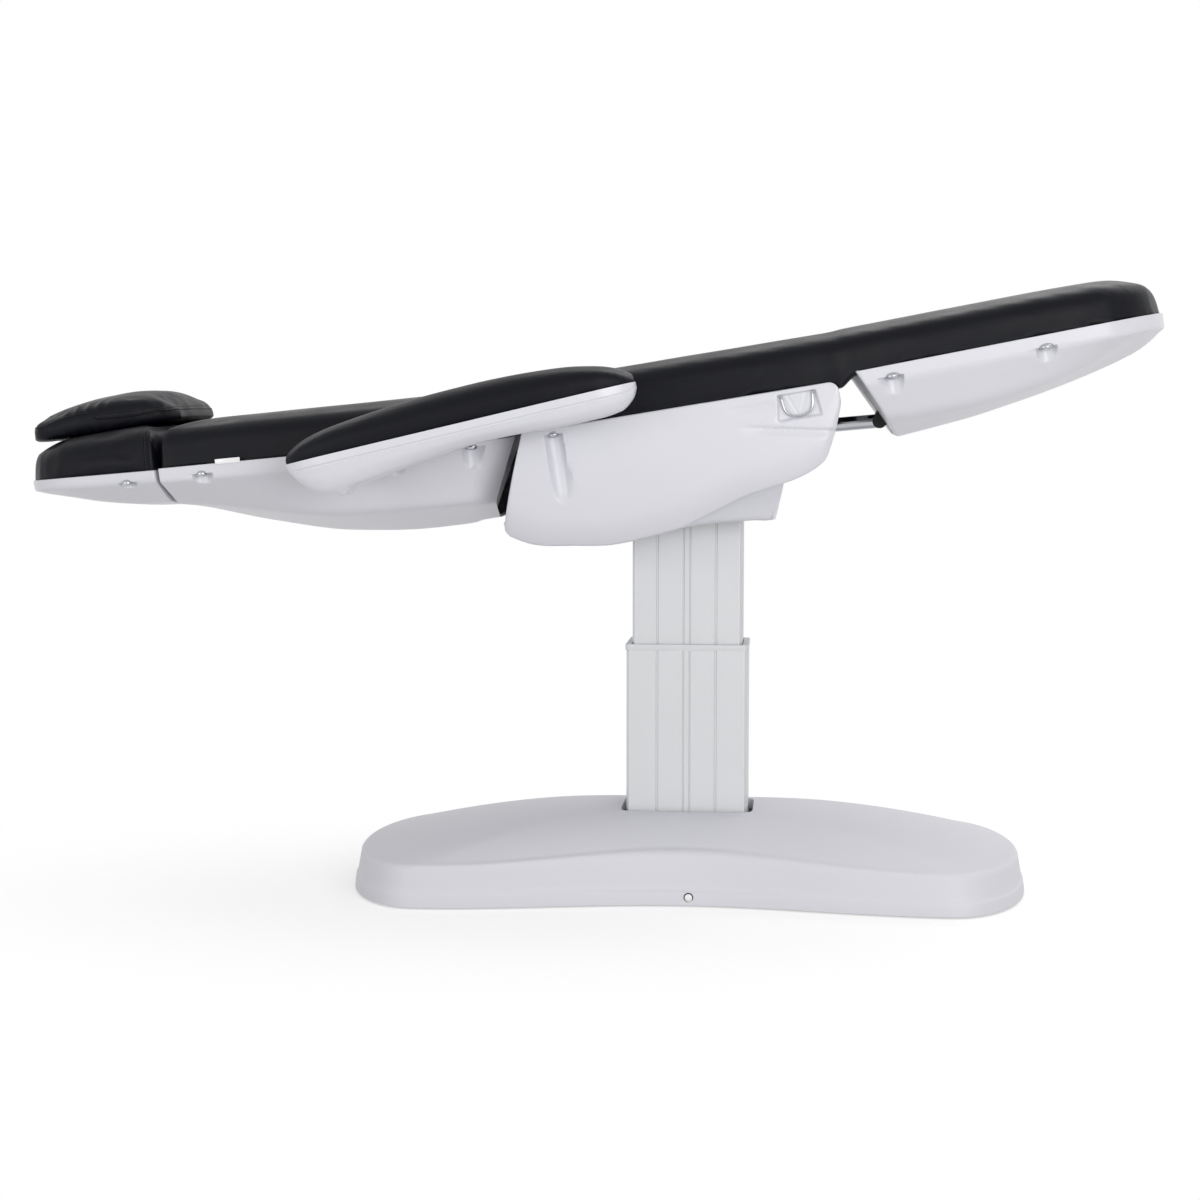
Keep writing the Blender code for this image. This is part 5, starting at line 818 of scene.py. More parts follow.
def even_aims(count):
    """Directions from the column that meet the cover's outline at even distances."""
    aims = []
    for step in range(count):
        turn = 2 * math.pi * (step + 0.5) / count
        aims.append(Vector((math.cos(turn), math.sin(turn))))
    for _ in range(3):
        loop = [cover_edge(aim) for aim in aims]
        loop.append(loop[0])
        runs = [0.0]
        for first, second in zip(loop, loop[1:]):
            runs.append(runs[-1] + (second - first).length)
        aims = []
        at = 0
        for step in range(count):
            goal = runs[-1] * step / count
            while runs[at + 1] < goal:
                at += 1
            part = (goal - runs[at]) / (runs[at + 1] - runs[at])
            aims.append(loop[at].lerp(loop[at + 1], part).normalized())
    return aims


def build_base_cover():
    """The moulded cover of the base: its band, its wall, its domed top and the edge of the column's slot."""
    aims = even_aims(300)
    edges = [cover_edge(aim) for aim in aims]
    band = ((0.0, 0.003), (0.0003, 0.010), (0.0015, 0.0195), (0.0020, 0.0228), (0.0030, 0.0240), (0.0042, 0.0248),
            (0.0052, BASE_BAND_TOP))
    wall = [(0.0052 + 0.0058 * step / 6, 0.12 + 0.78 * step / 6) for step in range(1, 7)]
    wall += [(0.0128, 0.965), (0.0150, 1.02), (0.0185, 1.065), (0.0235, 1.09), (0.0290, 1.11)]
    rows = [[(edge - aim * draw, height) for aim, edge in zip(aims, edges)] for draw, height in band]
    for draw, rise in wall:
        rows.append([(edge - aim * draw, BASE_BAND_TOP + (wall_top(abs(edge.x)) - BASE_BAND_TOP) * rise)
                     for aim, edge in zip(aims, edges)])
    shoulder = rows[-1]
    for step in range(1, 25):
        share = step / 24
        rows.append([(start.lerp(aim * slot_reach(aim), share), low + (BASE_TOP - low) * (1 - (1 - share) ** 1.7))
                     for aim, (start, low) in zip(aims, shoulder)])
    for drop, gap in ((0.0012, 0.0003), (0.008, 0.0008), (0.016, 0.0008)):
        rows.append([(aim * (slot_reach(aim) - gap), BASE_TOP - drop) for aim in aims])
    bm = bmesh.new()
    grid = [[bm.verts.new((COLUMN_X + place.x, place.y, level)) for place, level in row] for row in rows]
    skin(bm, grid)
    bm.normal_update()
    if grid[20][0].normal.z < 0.0:
        bmesh.ops.reverse_faces(bm, faces=bm.faces)
    piece = as_object("base_cover_moulding", bm)
    thicken(piece, 0.0035)
    blend_shade(piece, 40.0)
    dress(piece, "base", "grey_plastic", ["base_cover"])


def cap_rings(profile):
    """Rings of a turned part in the near side of the base, from radii and how far out they lie."""
    rings = []
    for radius, out in profile:
        ring = []
        for step in range(CAP_TURNS):
            turn = 2 * math.pi * step / CAP_TURNS
            ring.append((COLUMN_X + 0.011 + radius * math.cos(turn), out - 0.2048, 0.015 + radius * math.sin(turn)))
        rings.append(ring)
    return rings


def build_base_cap():
    """The small cap in the near side of the base, in its dark ring."""
    piece = as_object("base_cap_button", ringed(cap_rings((
        (0.0030, -0.0031), (0.0048, -0.0027), (0.0058, -0.0018), (0.0061, -0.0006), (0.0062, 0.0010)))))
    blend_shade(piece, 40.0)
    dress(piece, "base", "bright_white_plastic", ["base_cap"])
    ring = as_object("base_cap_ring", ringed(cap_rings((
        (0.0063, 0.0010), (0.0063, -0.0008), (0.0070, -0.0012), (0.0077, -0.0008), (0.0077, 0.0010))), hollow=True))
    blend_shade(ring, 40.0)
    dress(ring, "base", "black_rubber")


def column_outline(half_x, half_y, chamfer, grooves, sizes):
    """Plan outline of an extruded tube, with grooves down its two broad faces."""
    points = []
    for sign_y in (-1, 1):
        face = []
        for place, width in grooves:
            half = width / 2
            deep = sizes.column_groove_deep
            face += [(place - half - deep * 0.3, 0.0), (place - half, deep * 0.25), (place - half * 0.7, deep),
                     (place + half * 0.7, deep), (place + half, deep * 0.25), (place + half + deep * 0.3, 0.0)]
        bevel = [(0.0, 2.4), (0.52, 0.20), (0.62, 0.05), (0.75, 0.0)]
        line = [(-half_x + chamfer * x, sign_y * (half_y - chamfer * y)) for x, y in bevel]
        line += [(x, sign_y * (half_y - deep)) for x, deep in face]
        line += [(half_x - chamfer * x, sign_y * (half_y - chamfer * y)) for x, y in reversed(bevel)]
        points += line if sign_y < 0 else list(reversed(line))
    return points


def column_tube(name, body, half, wall, low, high, grooves, nodes, sizes):
    """One extruded tube of the column."""
    half_x, half_y, chamfer = half
    lip = 0.0008
    outer = column_outline(half_x, half_y, chamfer, grooves, sizes)
    inner = []
    for x, y in outer:
        inner.append((max(-half_x + wall, min(half_x - wall, x)), max(-half_y + wall, min(half_y - wall, y))))
    rings = []
    for level, inset, line in ((low, 0.0, outer), (high - lip, 0.0, outer), (high, lip, outer), (high, 0.0, inner),
                               (low, 0.0, inner)):
        rings.append([(COLUMN_X + x * (1 - inset / half_x), y * (1 - inset / half_y), level) for x, y in line])
    piece = as_object(name, ringed(rings, hollow=True))
    blend_shade(piece, 20.0)
    dress(piece, body, "grey_column_paint", nodes)


def build_column(sizes):
    """The two extruded tubes of the column, with the collar at the top of the lower one."""
    grooves = ((-0.0485, sizes.groove), (-0.0055, sizes.groove * 0.7), (0.0050, sizes.groove * 0.7),
               (0.0475, sizes.groove))
    column_tube("outer_column_tube", "base", (0.100, 0.066, 0.008), 0.005, 0.0453, 0.405, grooves,
                ["outer_column"], sizes)
    column_tube("inner_column_tube", "carriage", (0.0905, 0.0565, 0.007), 0.005, 0.285, 0.6397, grooves,
                ["inner_column"], sizes)
    corner, bends = 0.008, 6
    rings = []
    for half_x, half_y, level in ((0.1004, 0.0664, 0.396), (0.1008, 0.0668, 0.3968), (0.1008, 0.0668, 0.4052),
                                  (0.1002, 0.0662, 0.4060), (0.0918, 0.0578, 0.4060), (0.0915, 0.0575, 0.4052),
                                  (0.0915, 0.0575, 0.396)):
        ring = []
        for sign_x, sign_y in ((1, 1), (-1, 1), (-1, -1), (1, -1)):
            turns = range(bends + 1) if sign_x * sign_y > 0 else range(bends, -1, -1)
            for step in turns:
                turn = math.pi / 2 * step / bends
                ring.append((COLUMN_X + sign_x * (half_x - corner + corner * math.cos(turn)),
                             sign_y * (half_y - corner + corner * math.sin(turn)), level))
        rings.append(ring)
    collar = as_object("column_collar", ringed(rings, hollow=True))
    blend_shade(collar, 30.0)
    dress(collar, "base", "grey_plastic", finish="collar_plastic")


# Pads


def pad_ring(place, width, low, high, crown, edge, middle=0.0, draw=0.0012):
    """One section of a pad: drawn in at its foot, rounded at its top edges, with a crown."""
    edge = min(edge, (high - low) * 0.45, width * 0.42)
    half = []
    for step in range(6):
        t = step / 5
        half.append((width - draw * (1 - t) ** 2, low + (high - edge - low) * t))
    for step in range(1, 7):
        turn = math.pi / 2 * step / 6
        half.append((width - edge + edge * math.cos(turn), high - edge + edge * math.sin(turn)))
    flat = width - edge
    for step in range(1, 10):
        across = flat * (1 - step / 10)
        half.append((across, high + crown * (1 - (across / flat) ** 2)))
    right = [Vector((place, middle + across, up)) for across, up in half]
    left = [Vector((place, middle - across, up)) for across, up in reversed(half)]
    return right + [Vector((place, middle, high + crown))] + left


def swell(piece, voxel, cap):
    """Remesh a pad, blow its cover up as cloth that is held at its foot, and limit how far it moves."""
    step = piece.modifiers.new("even", "REMESH")
    step.mode = "VOXEL"
    step.voxel_size = voxel
    step.use_smooth_shade = True
    settle(piece)
    rest = [vert.co.copy() for vert in piece.data.vertices]
    held = piece.vertex_groups.new(name="held")
    normals = [vert.normal.z for vert in piece.data.vertices]
    held.add([index for index, z in enumerate(normals) if z < COVER_HOLD], 1.0, "REPLACE")
    cloth = piece.modifiers.new("cover", "CLOTH")
    cloth.settings.quality = 4
    cloth.settings.use_pressure = True
    cloth.settings.uniform_pressure_force = COVER_PRESSURE
    cloth.settings.effector_weights.gravity = 0.0
    cloth.settings.vertex_group_mass = "held"
    cloth.collision_settings.use_collision = False
    cloth.point_cache.frame_start = 1
    cloth.point_cache.frame_end = COVER_FRAMES
    scene = bpy.context.scene
    for number in range(1, COVER_FRAMES + 1):
        scene.frame_set(number)
    settle(piece)
    scene.frame_set(1)
    piece.vertex_groups.clear()
    for vert, start in zip(piece.data.vertices, rest):
        move = vert.co - start
        reach = move.length
        if reach > 1e-9:
            move *= cap * (1 - math.exp(-reach / cap)) / reach
        vert.co = start + move
    smooth = piece.modifiers.new("ease", "SMOOTH")
    smooth.factor = 0.5
    smooth.iterations = 3
    finer = piece.modifiers.new("finer", "SUBSURF")
    finer.levels = 1
    finer.render_levels = 1
    settle(piece)
    piece.data.shade_smooth()


def wave(piece, size, depth, seed):
    """A pad's cover lies slightly uneven over its foam."""
    offset = Vector((seed, seed * 0.7, seed * 1.3))
    starts = [(vert.co.copy(), vert.normal.copy()) for vert in piece.data.vertices]
    for vert, (place, normal) in zip(piece.data.vertices, starts):
        vert.co = place + normal * depth * noise.noise(place / size + offset)


def build_long_pad(sizes):
    """The one pad that covers the seat and the leg rest."""
    room, edge = sizes.puff * 0.5, 0.022
    seat, leg = section_matrix("seat"), section_matrix("leg_rest")
    widths = ((0.0, 0.985), (0.03, 1.0), (0.6, 1.0), (0.97, 0.985), (1.0, 0.975))
    rings = []
    for place in (0.0, 0.0008, 0.003, 0.007, 0.013, 0.020, 0.04, 0.10, 0.16, 0.22, 0.28, 0.34, 0.38, 0.405, 0.420,
                  0.428, 0.436, 0.444):
        share = place / (SEAT_PAD_RIGHT - SEAT_PAD_LEFT)
        fall = corner_fall(edge, edge - place)
        width = SEAT_PAD_HALF_WIDTH * curve_at(widths, share) - fall * 0.35
        at = SEAT_PAD_LEFT + place
        low = SEAT_RIM - PAD_SINK - 0.008 * ease(0.250, 0.268, at)
        high = SEAT_RIM + SEAT_PAD_HEIGHT * min(1.0, 0.99 + share) - fall
        rings.append([seat @ point for point in pad_ring(at, width - room, low, high - room, PAD_CROWN, PAD_EDGE)])
    for place in (-0.004, 0.004, 0.010, 0.018, 0.030, 0.06, 0.11, 0.16, 0.21, 0.26, 0.30, 0.34, 0.37, 0.40, 0.42,
                  0.435, 0.450, 0.462, 0.472, 0.480, 0.487, 0.492, 0.4950):
        share = max(0.0, (place - LEG_LEFT) / LEG_LENGTH)
        width = LEG_HALF_WIDTH * curve_at(LEG_WIDTH_SHARES, share) - 0.002 + 0.004 * (1 - ease(0.0, 0.10, place))
        low = LEG_RIM - PAD_SINK - 0.004 * (1 - ease(-0.006, 0.010, place))
        high = LEG_RIM + LEG_PAD_HEIGHT * curve_at(LEG_PAD_HEIGHT_SHARES, share)
        rings.append([leg @ point for point in pad_ring(place, width - room, low, high - room, PAD_CROWN, PAD_EDGE)])
    piece = as_object("seat_and_leg_pad", ringed(rings))
    swell(piece, 0.0080, sizes.puff)
    wave(piece, 0.110, 0.0006, 3.1)
    dress(piece, None, "black_upholstery", ["seat_cushion", "leg_cushion"])
    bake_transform(piece)


def build_back_pad(sizes):
    """The back's pad, whose right end is rounded about the hinge."""
    room = sizes.puff * 0.5
    rings = []
    heights = ((0.0, 0.955), (0.1, 0.965), (1.0, 1.0))
    reach, edge, bends = -BACK_LEFT, 0.014, 11
    for place in (0.0005, 0.002, 0.005, 0.010, 0.016, 0.03, 0.06, 0.10, 0.15, 0.20, 0.25, 0.30, 0.35, 0.40, 0.45,
                  0.49, 0.53, 0.56, 0.58, reach):
        fall = corner_fall(edge, edge - place)
        share = min(0.90, place / (BACK_RIGHT - BACK_LEFT))
        width = BACK_HALF_WIDTH * curve_at(BACK_WIDTH_SHARES, share) - 0.002 - fall * 0.4
        width -= 0.002 * ease(0.52, reach, place)
        high = BACK_RIM + BACK_PAD_HEIGHT * curve_at(heights, place / reach) - fall
        low = BACK_RIM - PAD_SINK * (1 - ease(0.545, 0.575, place))
        rings.append(pad_ring(BACK_LEFT + place, width - room, low, high - room, PAD_CROWN, PAD_EDGE))
    for step in range(1, bends + 1):
        turn = math.radians(90 - 82 * step / bends)
        low = BACK_RIM * math.sin(turn) + 0.0005
        high = (0.031 - room) * math.sin(turn)
        rings.append(pad_ring(0.0355 * math.cos(turn), 0.286 - room, low, high, PAD_CROWN * math.sin(turn), PAD_EDGE))
    piece = as_object("back_pad", ringed(rings))
    swell(piece, 0.0080, sizes.puff)
    wave(piece, 0.110, 0.0006, 7.7)
    carve(piece, [brick(-0.113, 0.052, *notch) for notch in both_sides(0.124, 0.151, -0.060, 0.018)])
    blend_shade(piece, 50.0)
    dress(piece, "back", "black_upholstery", ["back_cushion"], section_matrix("back"))


def build_head_pad(sizes):
    """The headrest's pad."""
    room = sizes.puff * 0.5
    edge = 0.012
    rings = []
    for place in (0.0005, 0.003, 0.008, 0.015, 0.025, 0.038, 0.055, 0.08, 0.11, 0.14, 0.17, 0.20, 0.222, 0.232,
                  0.237, 0.2405, 0.2425):
        share = place / HEAD_LENGTH
        fall = corner_fall(edge, place - HEAD_LENGTH + edge)
        width = HEAD_HALF_WIDTH * curve_at(HEAD_WIDTH_SHARES, share) - 0.002 - fall * 0.4 - room
        high = HEAD_RIM + HEAD_PAD_HEIGHT * curve_at(HEAD_PAD_HEIGHT_SHARES, share) - fall - room
        rings.append(pad_ring(HEAD_LEFT + place, width, HEAD_RIM - PAD_SINK, high, PAD_CROWN, SMALL_PAD_EDGE))
    piece = as_object("headrest_pad", ringed(rings))
    swell(piece, 0.0065, sizes.puff)
    wave(piece, 0.070, 0.0006, 12.3)
    dress(piece, "headrest", "black_upholstery", ["headrest_cushion"], section_matrix("headrest"))


def build_pillow(sizes):
    """The loose head pillow, puckered along its two ends."""
    rings = []
    room, count = 0.003, 24
    for step in range(count + 1):
        share = 0.5 - 0.5 * math.cos(math.pi * step / count)
        width = PILLOW_HALF_WIDTH * curve_at(PILLOW_WIDTH_SHARES, share) - room
        high = PILLOW_HEIGHT * curve_at(PILLOW_HEIGHT_SHARES, share) - room
        rings.append(pad_ring(PILLOW_LENGTH * (share - 0.5), width, 0.0008, high, 0.010, 0.018, draw=0.006))
    piece = as_object("head_pillow_cover", ringed(rings))
    swell(piece, 0.0055, sizes.pillow_puff)
    for vert in piece.data.vertices:
        near = ease(0.030, 0.0, abs(abs(vert.co.y) - 0.150)) * ease(0.05, 0.02, abs(vert.co.x + 0.02))
        vert.co.z += 0.0016 * near * math.sin(vert.co.x * 2 * math.pi / 0.019)
    wave(piece, 0.045, 0.0010, 21.9)
    dress(piece, "pillow", "black_upholstery", ["head_pillow"], section_matrix("pillow"))


def build_arm_pads(sizes):
    """Both armrests' pads."""
    room, count = 0.0018, 40
    for side, sign in SIDES:
        rings = []
        for step in range(count + 1):
            share = 0.5 - 0.5 * math.cos(math.pi * step / count)
            width = ARM_HALF_WIDTH * curve_at(ARM_WIDTH_SHARES, share) - 0.001 - room
            high = ARM_RIM + ARM_PAD_HEIGHT * curve_at(ARM_HEIGHT_SHARES, share) - room
            rings.append(pad_ring(ARM_LEFT + ARM_LENGTH * share, width, ARM_RIM - PAD_SINK * 0.7, high, PAD_CROWN,
                                  SMALL_PAD_EDGE, middle=sign * ARM_MIDDLE_Y, draw=0.0015))
        piece = as_object(f"armrest_cover_{side}", ringed(rings))
        swell(piece, 0.0050, sizes.puff * 0.7)
        wave(piece, 0.060, 0.0004, 30.0 + sign)
        dress(piece, f"armrest_{side}", "black_upholstery", [f"armrest_pad_{side}"], section_matrix("armrest"))


# Node trees for what repeats or follows a path


def node(tree, kind, settings=None, links=None):
    """Add a node to a tree with its settings and its links."""
    item = tree.nodes.new(kind)
    for name, value in (settings or {}).items():
        if isinstance(name, str) and hasattr(item, name):
            setattr(item, name, value)
        else:
            item.inputs[name].default_value = value
    for name, source in (links or {}).items():
        tree.links.new(source, item.inputs[name])
    return item


def node_tree(name, sizes):
    """A geometry tree with a mesh in and out, named lengths and a material."""
    tree = bpy.data.node_groups.new(name, "GeometryNodeTree")
    tree.interface.new_socket("Geometry", in_out="INPUT", socket_type="NodeSocketGeometry")
    for label, size in sizes:
        socket = tree.interface.new_socket(label, in_out="INPUT", socket_type="NodeSocketFloat")
        socket.subtype = "DISTANCE"
        socket.default_value = size
    tree.interface.new_socket("Material", in_out="INPUT", socket_type="NodeSocketMaterial")
    tree.interface.new_socket("Geometry", in_out="OUTPUT", socket_type="NodeSocketGeometry")
    return tree, node(tree, "NodeGroupInput"), node(tree, "NodeGroupOutput")


def close_tree(tree, start, end, geometry):
    """End a tree in Realize Instances and Set Material."""
    whole = node(tree, "GeometryNodeRealizeInstances", links={"Geometry": geometry})
    finish = node(tree, "GeometryNodeSetMaterial", links={"Geometry": whole.outputs["Geometry"],
                                                          "Material": start.outputs["Material"]})
    tree.links.new(finish.outputs["Geometry"], end.inputs["Geometry"])
    return tree


def screw_tree():
    """A domed button screw with a hexagon socket on each point."""
    tree, start, end = node_tree("Button screws", (("Head Radius", 0.0085), ("Head Rise", 0.0056)))
    dome = node(tree, "GeometryNodeMeshUVSphere", {"Segments": 28, "Rings": 14},
                {"Radius": start.outputs["Head Radius"]})
    flat = node(tree, "ShaderNodeMath", {"operation": "DIVIDE"},
                {0: start.outputs["Head Rise"], 1: start.outputs["Head Radius"]})
    scale = node(tree, "ShaderNodeCombineXYZ", {"X": 1.0, "Y": 1.0}, {"Z": flat.outputs[0]})
    low_dome = node(tree, "GeometryNodeTransform", links={"Geometry": dome.outputs["Mesh"],
                                                          "Scale": scale.outputs[0]})
    reach = node(tree, "ShaderNodeMath", {"operation": "MULTIPLY", 1: 0.42}, {0: start.outputs["Head Radius"]})
    hexagon = node(tree, "GeometryNodeMeshCylinder", {"Vertices": 6},
                   {"Radius": reach.outputs[0], "Depth": start.outputs["Head Rise"]})
    down = node(tree, "ShaderNodeMath", {"operation": "MULTIPLY", 1: -1.0}, {0: start.outputs["Head Rise"]})
    place = node(tree, "ShaderNodeCombineXYZ", links={"Z": down.outputs[0]})
    socket = node(tree, "GeometryNodeTransform", links={"Geometry": hexagon.outputs["Mesh"],
                                                        "Translation": place.outputs[0]})
    head = node(tree, "GeometryNodeMeshBoolean", {"operation": "DIFFERENCE"},
                {0: low_dome.outputs["Geometry"], 1: socket.outputs["Geometry"]})
    spread = node(tree, "GeometryNodeInstanceOnPoints", links={"Points": start.outputs["Geometry"],
                                                               "Instance": head.outputs["Mesh"]})
    return close_tree(tree, start, end, spread.outputs["Instances"])


def welt_tree():
    """A raised round seam along a path."""
    tree, start, end = node_tree("Raised seam", (("Radius", 0.0016),))
    path = node(tree, "GeometryNodeMeshToCurve", links={"Mesh": start.outputs["Geometry"]})
    circle = node(tree, "GeometryNodeCurvePrimitiveCircle", {"Resolution": 8}, {"Radius": start.outputs["Radius"]})
    tube = node(tree, "GeometryNodeCurveToMesh", {"Fill Caps": True},
                {"Curve": path.outputs["Curve"], "Profile Curve": circle.outputs["Curve"]})
    smooth = node(tree, "GeometryNodeSetShadeSmooth", links={"Geometry": tube.outputs["Mesh"]})
    return close_tree(tree, start, end, smooth.outputs["Geometry"])


def stitch_tree():
    """Stitches of thread along a path, each a short rounded run."""
    tree, start, end = node_tree("Stitches", (("Pitch", 0.0055), ("Stitch Length", 0.004),
                                              ("Thread Thickness", 0.0009)))
    path = node(tree, "GeometryNodeMeshToCurve", links={"Mesh": start.outputs["Geometry"]})
    points = node(tree, "GeometryNodeCurveToPoints", {"mode": "LENGTH"},
                  {"Curve": path.outputs["Curve"], "Length": start.outputs["Pitch"]})
    bead = node(tree, "GeometryNodeMeshUVSphere", {"Segments": 6, "Rings": 5, "Radius": 0.5})
    scale = node(tree, "ShaderNodeCombineXYZ", links={"X": start.outputs["Thread Thickness"],
                                                      "Y": start.outputs["Thread Thickness"],
                                                      "Z": start.outputs["Stitch Length"]})
    stitch = node(tree, "GeometryNodeTransform", links={"Geometry": bead.outputs["Mesh"],
                                                        "Scale": scale.outputs[0]})
    spread = node(tree, "GeometryNodeInstanceOnPoints",
                  links={"Points": points.outputs["Points"], "Instance": stitch.outputs["Geometry"],
                         "Rotation": points.outputs["Rotation"]})
    smooth = node(tree, "GeometryNodeSetShadeSmooth", links={"Geometry": spread.outputs["Instances"]})
    return close_tree(tree, start, end, smooth.outputs["Geometry"])


def grow(name, tree, source, values, material):
    """Run a tree on a small mesh of points or edges, and keep the result as a plain mesh object."""
    step = source.modifiers.new(tree.name, "NODES")
    step.node_group = tree
    for item in tree.interface.items_tree:
        if item.item_type == "SOCKET" and item.in_out == "INPUT":
            if item.name in values:
                step[item.identifier] = values[item.name]
            elif item.name == "Material":
                step[item.identifier] = bpy.data.materials[material]
    bpy.context.view_layer.update()
    mesh = bpy.data.meshes.new_from_object(source.evaluated_get(bpy.context.evaluated_depsgraph_get()))
    source.modifiers.clear()
    bpy.data.objects.remove(source, do_unlink=True)
    mesh.name = name
    piece = bpy.data.objects.new(name, mesh)
    bpy.context.scene.collection.objects.link(piece)
    if not mesh.vertices:
        raise RuntimeError(f"{name} came out empty")
    return piece


def points_object(points, chain=False):
    """A mesh of loose points, or of points joined in a line."""
    mesh = bpy.data.meshes.new("path")
    edges = [(index, index + 1) for index in range(len(points) - 1)] if chain else []
    mesh.from_pydata([tuple(point) for point in points], edges, [])
    item = bpy.data.objects.new("path", mesh)
    bpy.context.scene.collection.objects.link(item)
    return item


def build_screws(sizes):
    """The button screws in the shells' pockets, one mesh for each body."""
    tree = screw_tree()
    back_span = BACK_RIGHT - BACK_LEFT
    sets = (
        ("seat", "seat", SEAT_SCREWS, SEAT_RIM, lambda place: SEAT_HALF_WIDTH),
        ("back", "back", BACK_SCREWS, BACK_RIM, lambda place: back_half((place - BACK_LEFT) / back_span)[0].x),
        ("headrest", "headrest", HEAD_SCREWS, HEAD_RIM,
         lambda place: head_half((place - HEAD_LEFT) / HEAD_LENGTH)[0].x),
        ("leg", "leg_rest", LEG_SCREWS, LEG_RIM, lambda place: leg_half((place - LEG_LEFT) / LEG_LENGTH)[0].x),
    )
    for name, body, screws, rim, width_at in sets:
        points, nodes = [], []
        for number, (place, drop) in enumerate(screws, 1):
            for side, sign in SIDES:
                points.append((place, sign * (width_at(place) - 0.005), rim - drop - 0.0004))
                nodes.append(f"{name}_screw_{side}_{number}")
        values = {"Head Radius": sizes.screw_head * (1.35 if name == "leg" else 1.0), "Head Rise": sizes.screw_rise}
        piece = grow(f"{name}_button_screws", tree, points_object(points), values, "chrome_plate")
        blend_shade(piece, 30.0)
        dress(piece, body, "chrome", nodes, section_matrix(body))


def surface_of(piece):
    """A search tree over a piece's finished surface."""
    bm = bmesh.new()
    bm.from_mesh(piece.data)
    tree = BVHTree.FromBMesh(bm)
    bm.free()
    return tree


def girth(tree, matrix, place, width, low, high, lift):
    """Points where a plane across a pad meets its cover, from the near foot over the top to the far foot."""
    line = []
    count, margin = 150, 0.03
    flat = width - 0.034
    core = low + (high - low) * 0.5
    corners = (Vector((-width - margin, low)), Vector((-width - margin, high + margin)),
               Vector((width + margin, high + margin)), Vector((width + margin, low)))
    runs = [(second - first).length for first, second in zip(corners, corners[1:])]
    for step in range(count + 1):
        goal = sum(runs) * (step / count)
        index = 0
        while index < 2 and goal > runs[index]:
            goal -= runs[index]
            index += 1
        out = corners[index].lerp(corners[index + 1], min(1.0, goal / runs[index]))
        level = min(out.y, core) if abs(out.x) > flat else core
        origin = matrix @ Vector((place, out.x, out.y))
        aim = matrix @ Vector((place, max(-flat, min(flat, out.x)), level)) - origin
        hit, normal, _, _ = tree.ray_cast(origin, aim.normalized())
        if hit is not None and (not line or (line[-1] - hit).length > 0.0008):
            line.append(hit + normal * lift)
    return line


def belt(tree, matrix, outline, heights, lift):
    """Points on a pad's cover along a closed or open plan outline, at a height for each point."""
    line = []
    for (out, core), up in zip(outline, heights):
        origin = matrix @ Vector((out[0], out[1], up))
        goal = matrix @ Vector((core[0], core[1], up))
        hit, normal, _, _ = tree.ray_cast(origin, (goal - origin).normalized())
        if hit is not None:
            line.append(hit + normal * lift)
    return line


def build_seams(sizes):
    """The raised seams and stitches on the headrest's pad, the back's pad and the pillow."""
    welt, stitches = welt_tree(), stitch_tree()
    thread = {"Pitch": sizes.stitch_pitch, "Stitch Length": sizes.stitch_long, "Thread Thickness": sizes.thread_thick}

    def sew(name, body, line, radius=None):
        """A welt of a radius along a line, or stitches where none is given."""
        source = points_object(line, True)
        if radius:
            finish = "vinyl_leatherette"
            piece = grow(name, welt, source, {"Radius": radius}, finish)
        else:
            finish = "sewing_thread"
            piece = grow(name, stitches, source, thread, finish)
        piece.data.shade_smooth()
        dress(piece, body, "black_upholstery", finish=finish)

    surface = surface_of(bpy.data.objects["headrest_pad"])
    head, right = section_matrix("headrest"), HEAD_LEFT + HEAD_LENGTH
    for name, away, lift, radius in (("headrest_seam_1", 0.0105, -0.0004, sizes.welt),
                                     ("headrest_seam_2", 0.0170, -0.0004, sizes.welt),
                                     ("headrest_stitches", 0.0138, 0.0002, None)):
        sew(name, "headrest", girth(surface, head, right - away, HEAD_HALF_WIDTH, HEAD_RIM + 0.001,
                                    HEAD_RIM + 0.080, lift), radius)
    surface = surface_of(bpy.data.objects["back_pad"])
    sew("back_stitches", "back", girth(surface, section_matrix("back"), BACK_LEFT + 0.0105, 0.267, BACK_RIM + 0.001,
                                       BACK_RIM + 0.078, 0.0002))
    surface = surface_of(bpy.data.objects["head_pillow_cover"])
    outline, heights, count = [], [], 220
    for step in range(count + 1):
        turn = 2 * math.pi * step / count
        x = 0.16 * math.copysign(math.sqrt(abs(math.cos(turn))), math.cos(turn))
        y = 0.215 * math.copysign(math.sqrt(abs(math.sin(turn))), math.sin(turn))
        outline.append(((x, y), (x * 0.35, y * 0.55)))
        heights.append(curve_at(PILLOW_SEAM_HEIGHTS, x))
    pillow = section_matrix("pillow")
    sew("pillow_seam", "pillow", belt(surface, pillow, outline, heights, -0.0003), sizes.welt * 0.9)
    sew("pillow_stitches", "pillow", belt(surface, pillow, outline, [up + 0.0045 for up in heights], 0.0001))


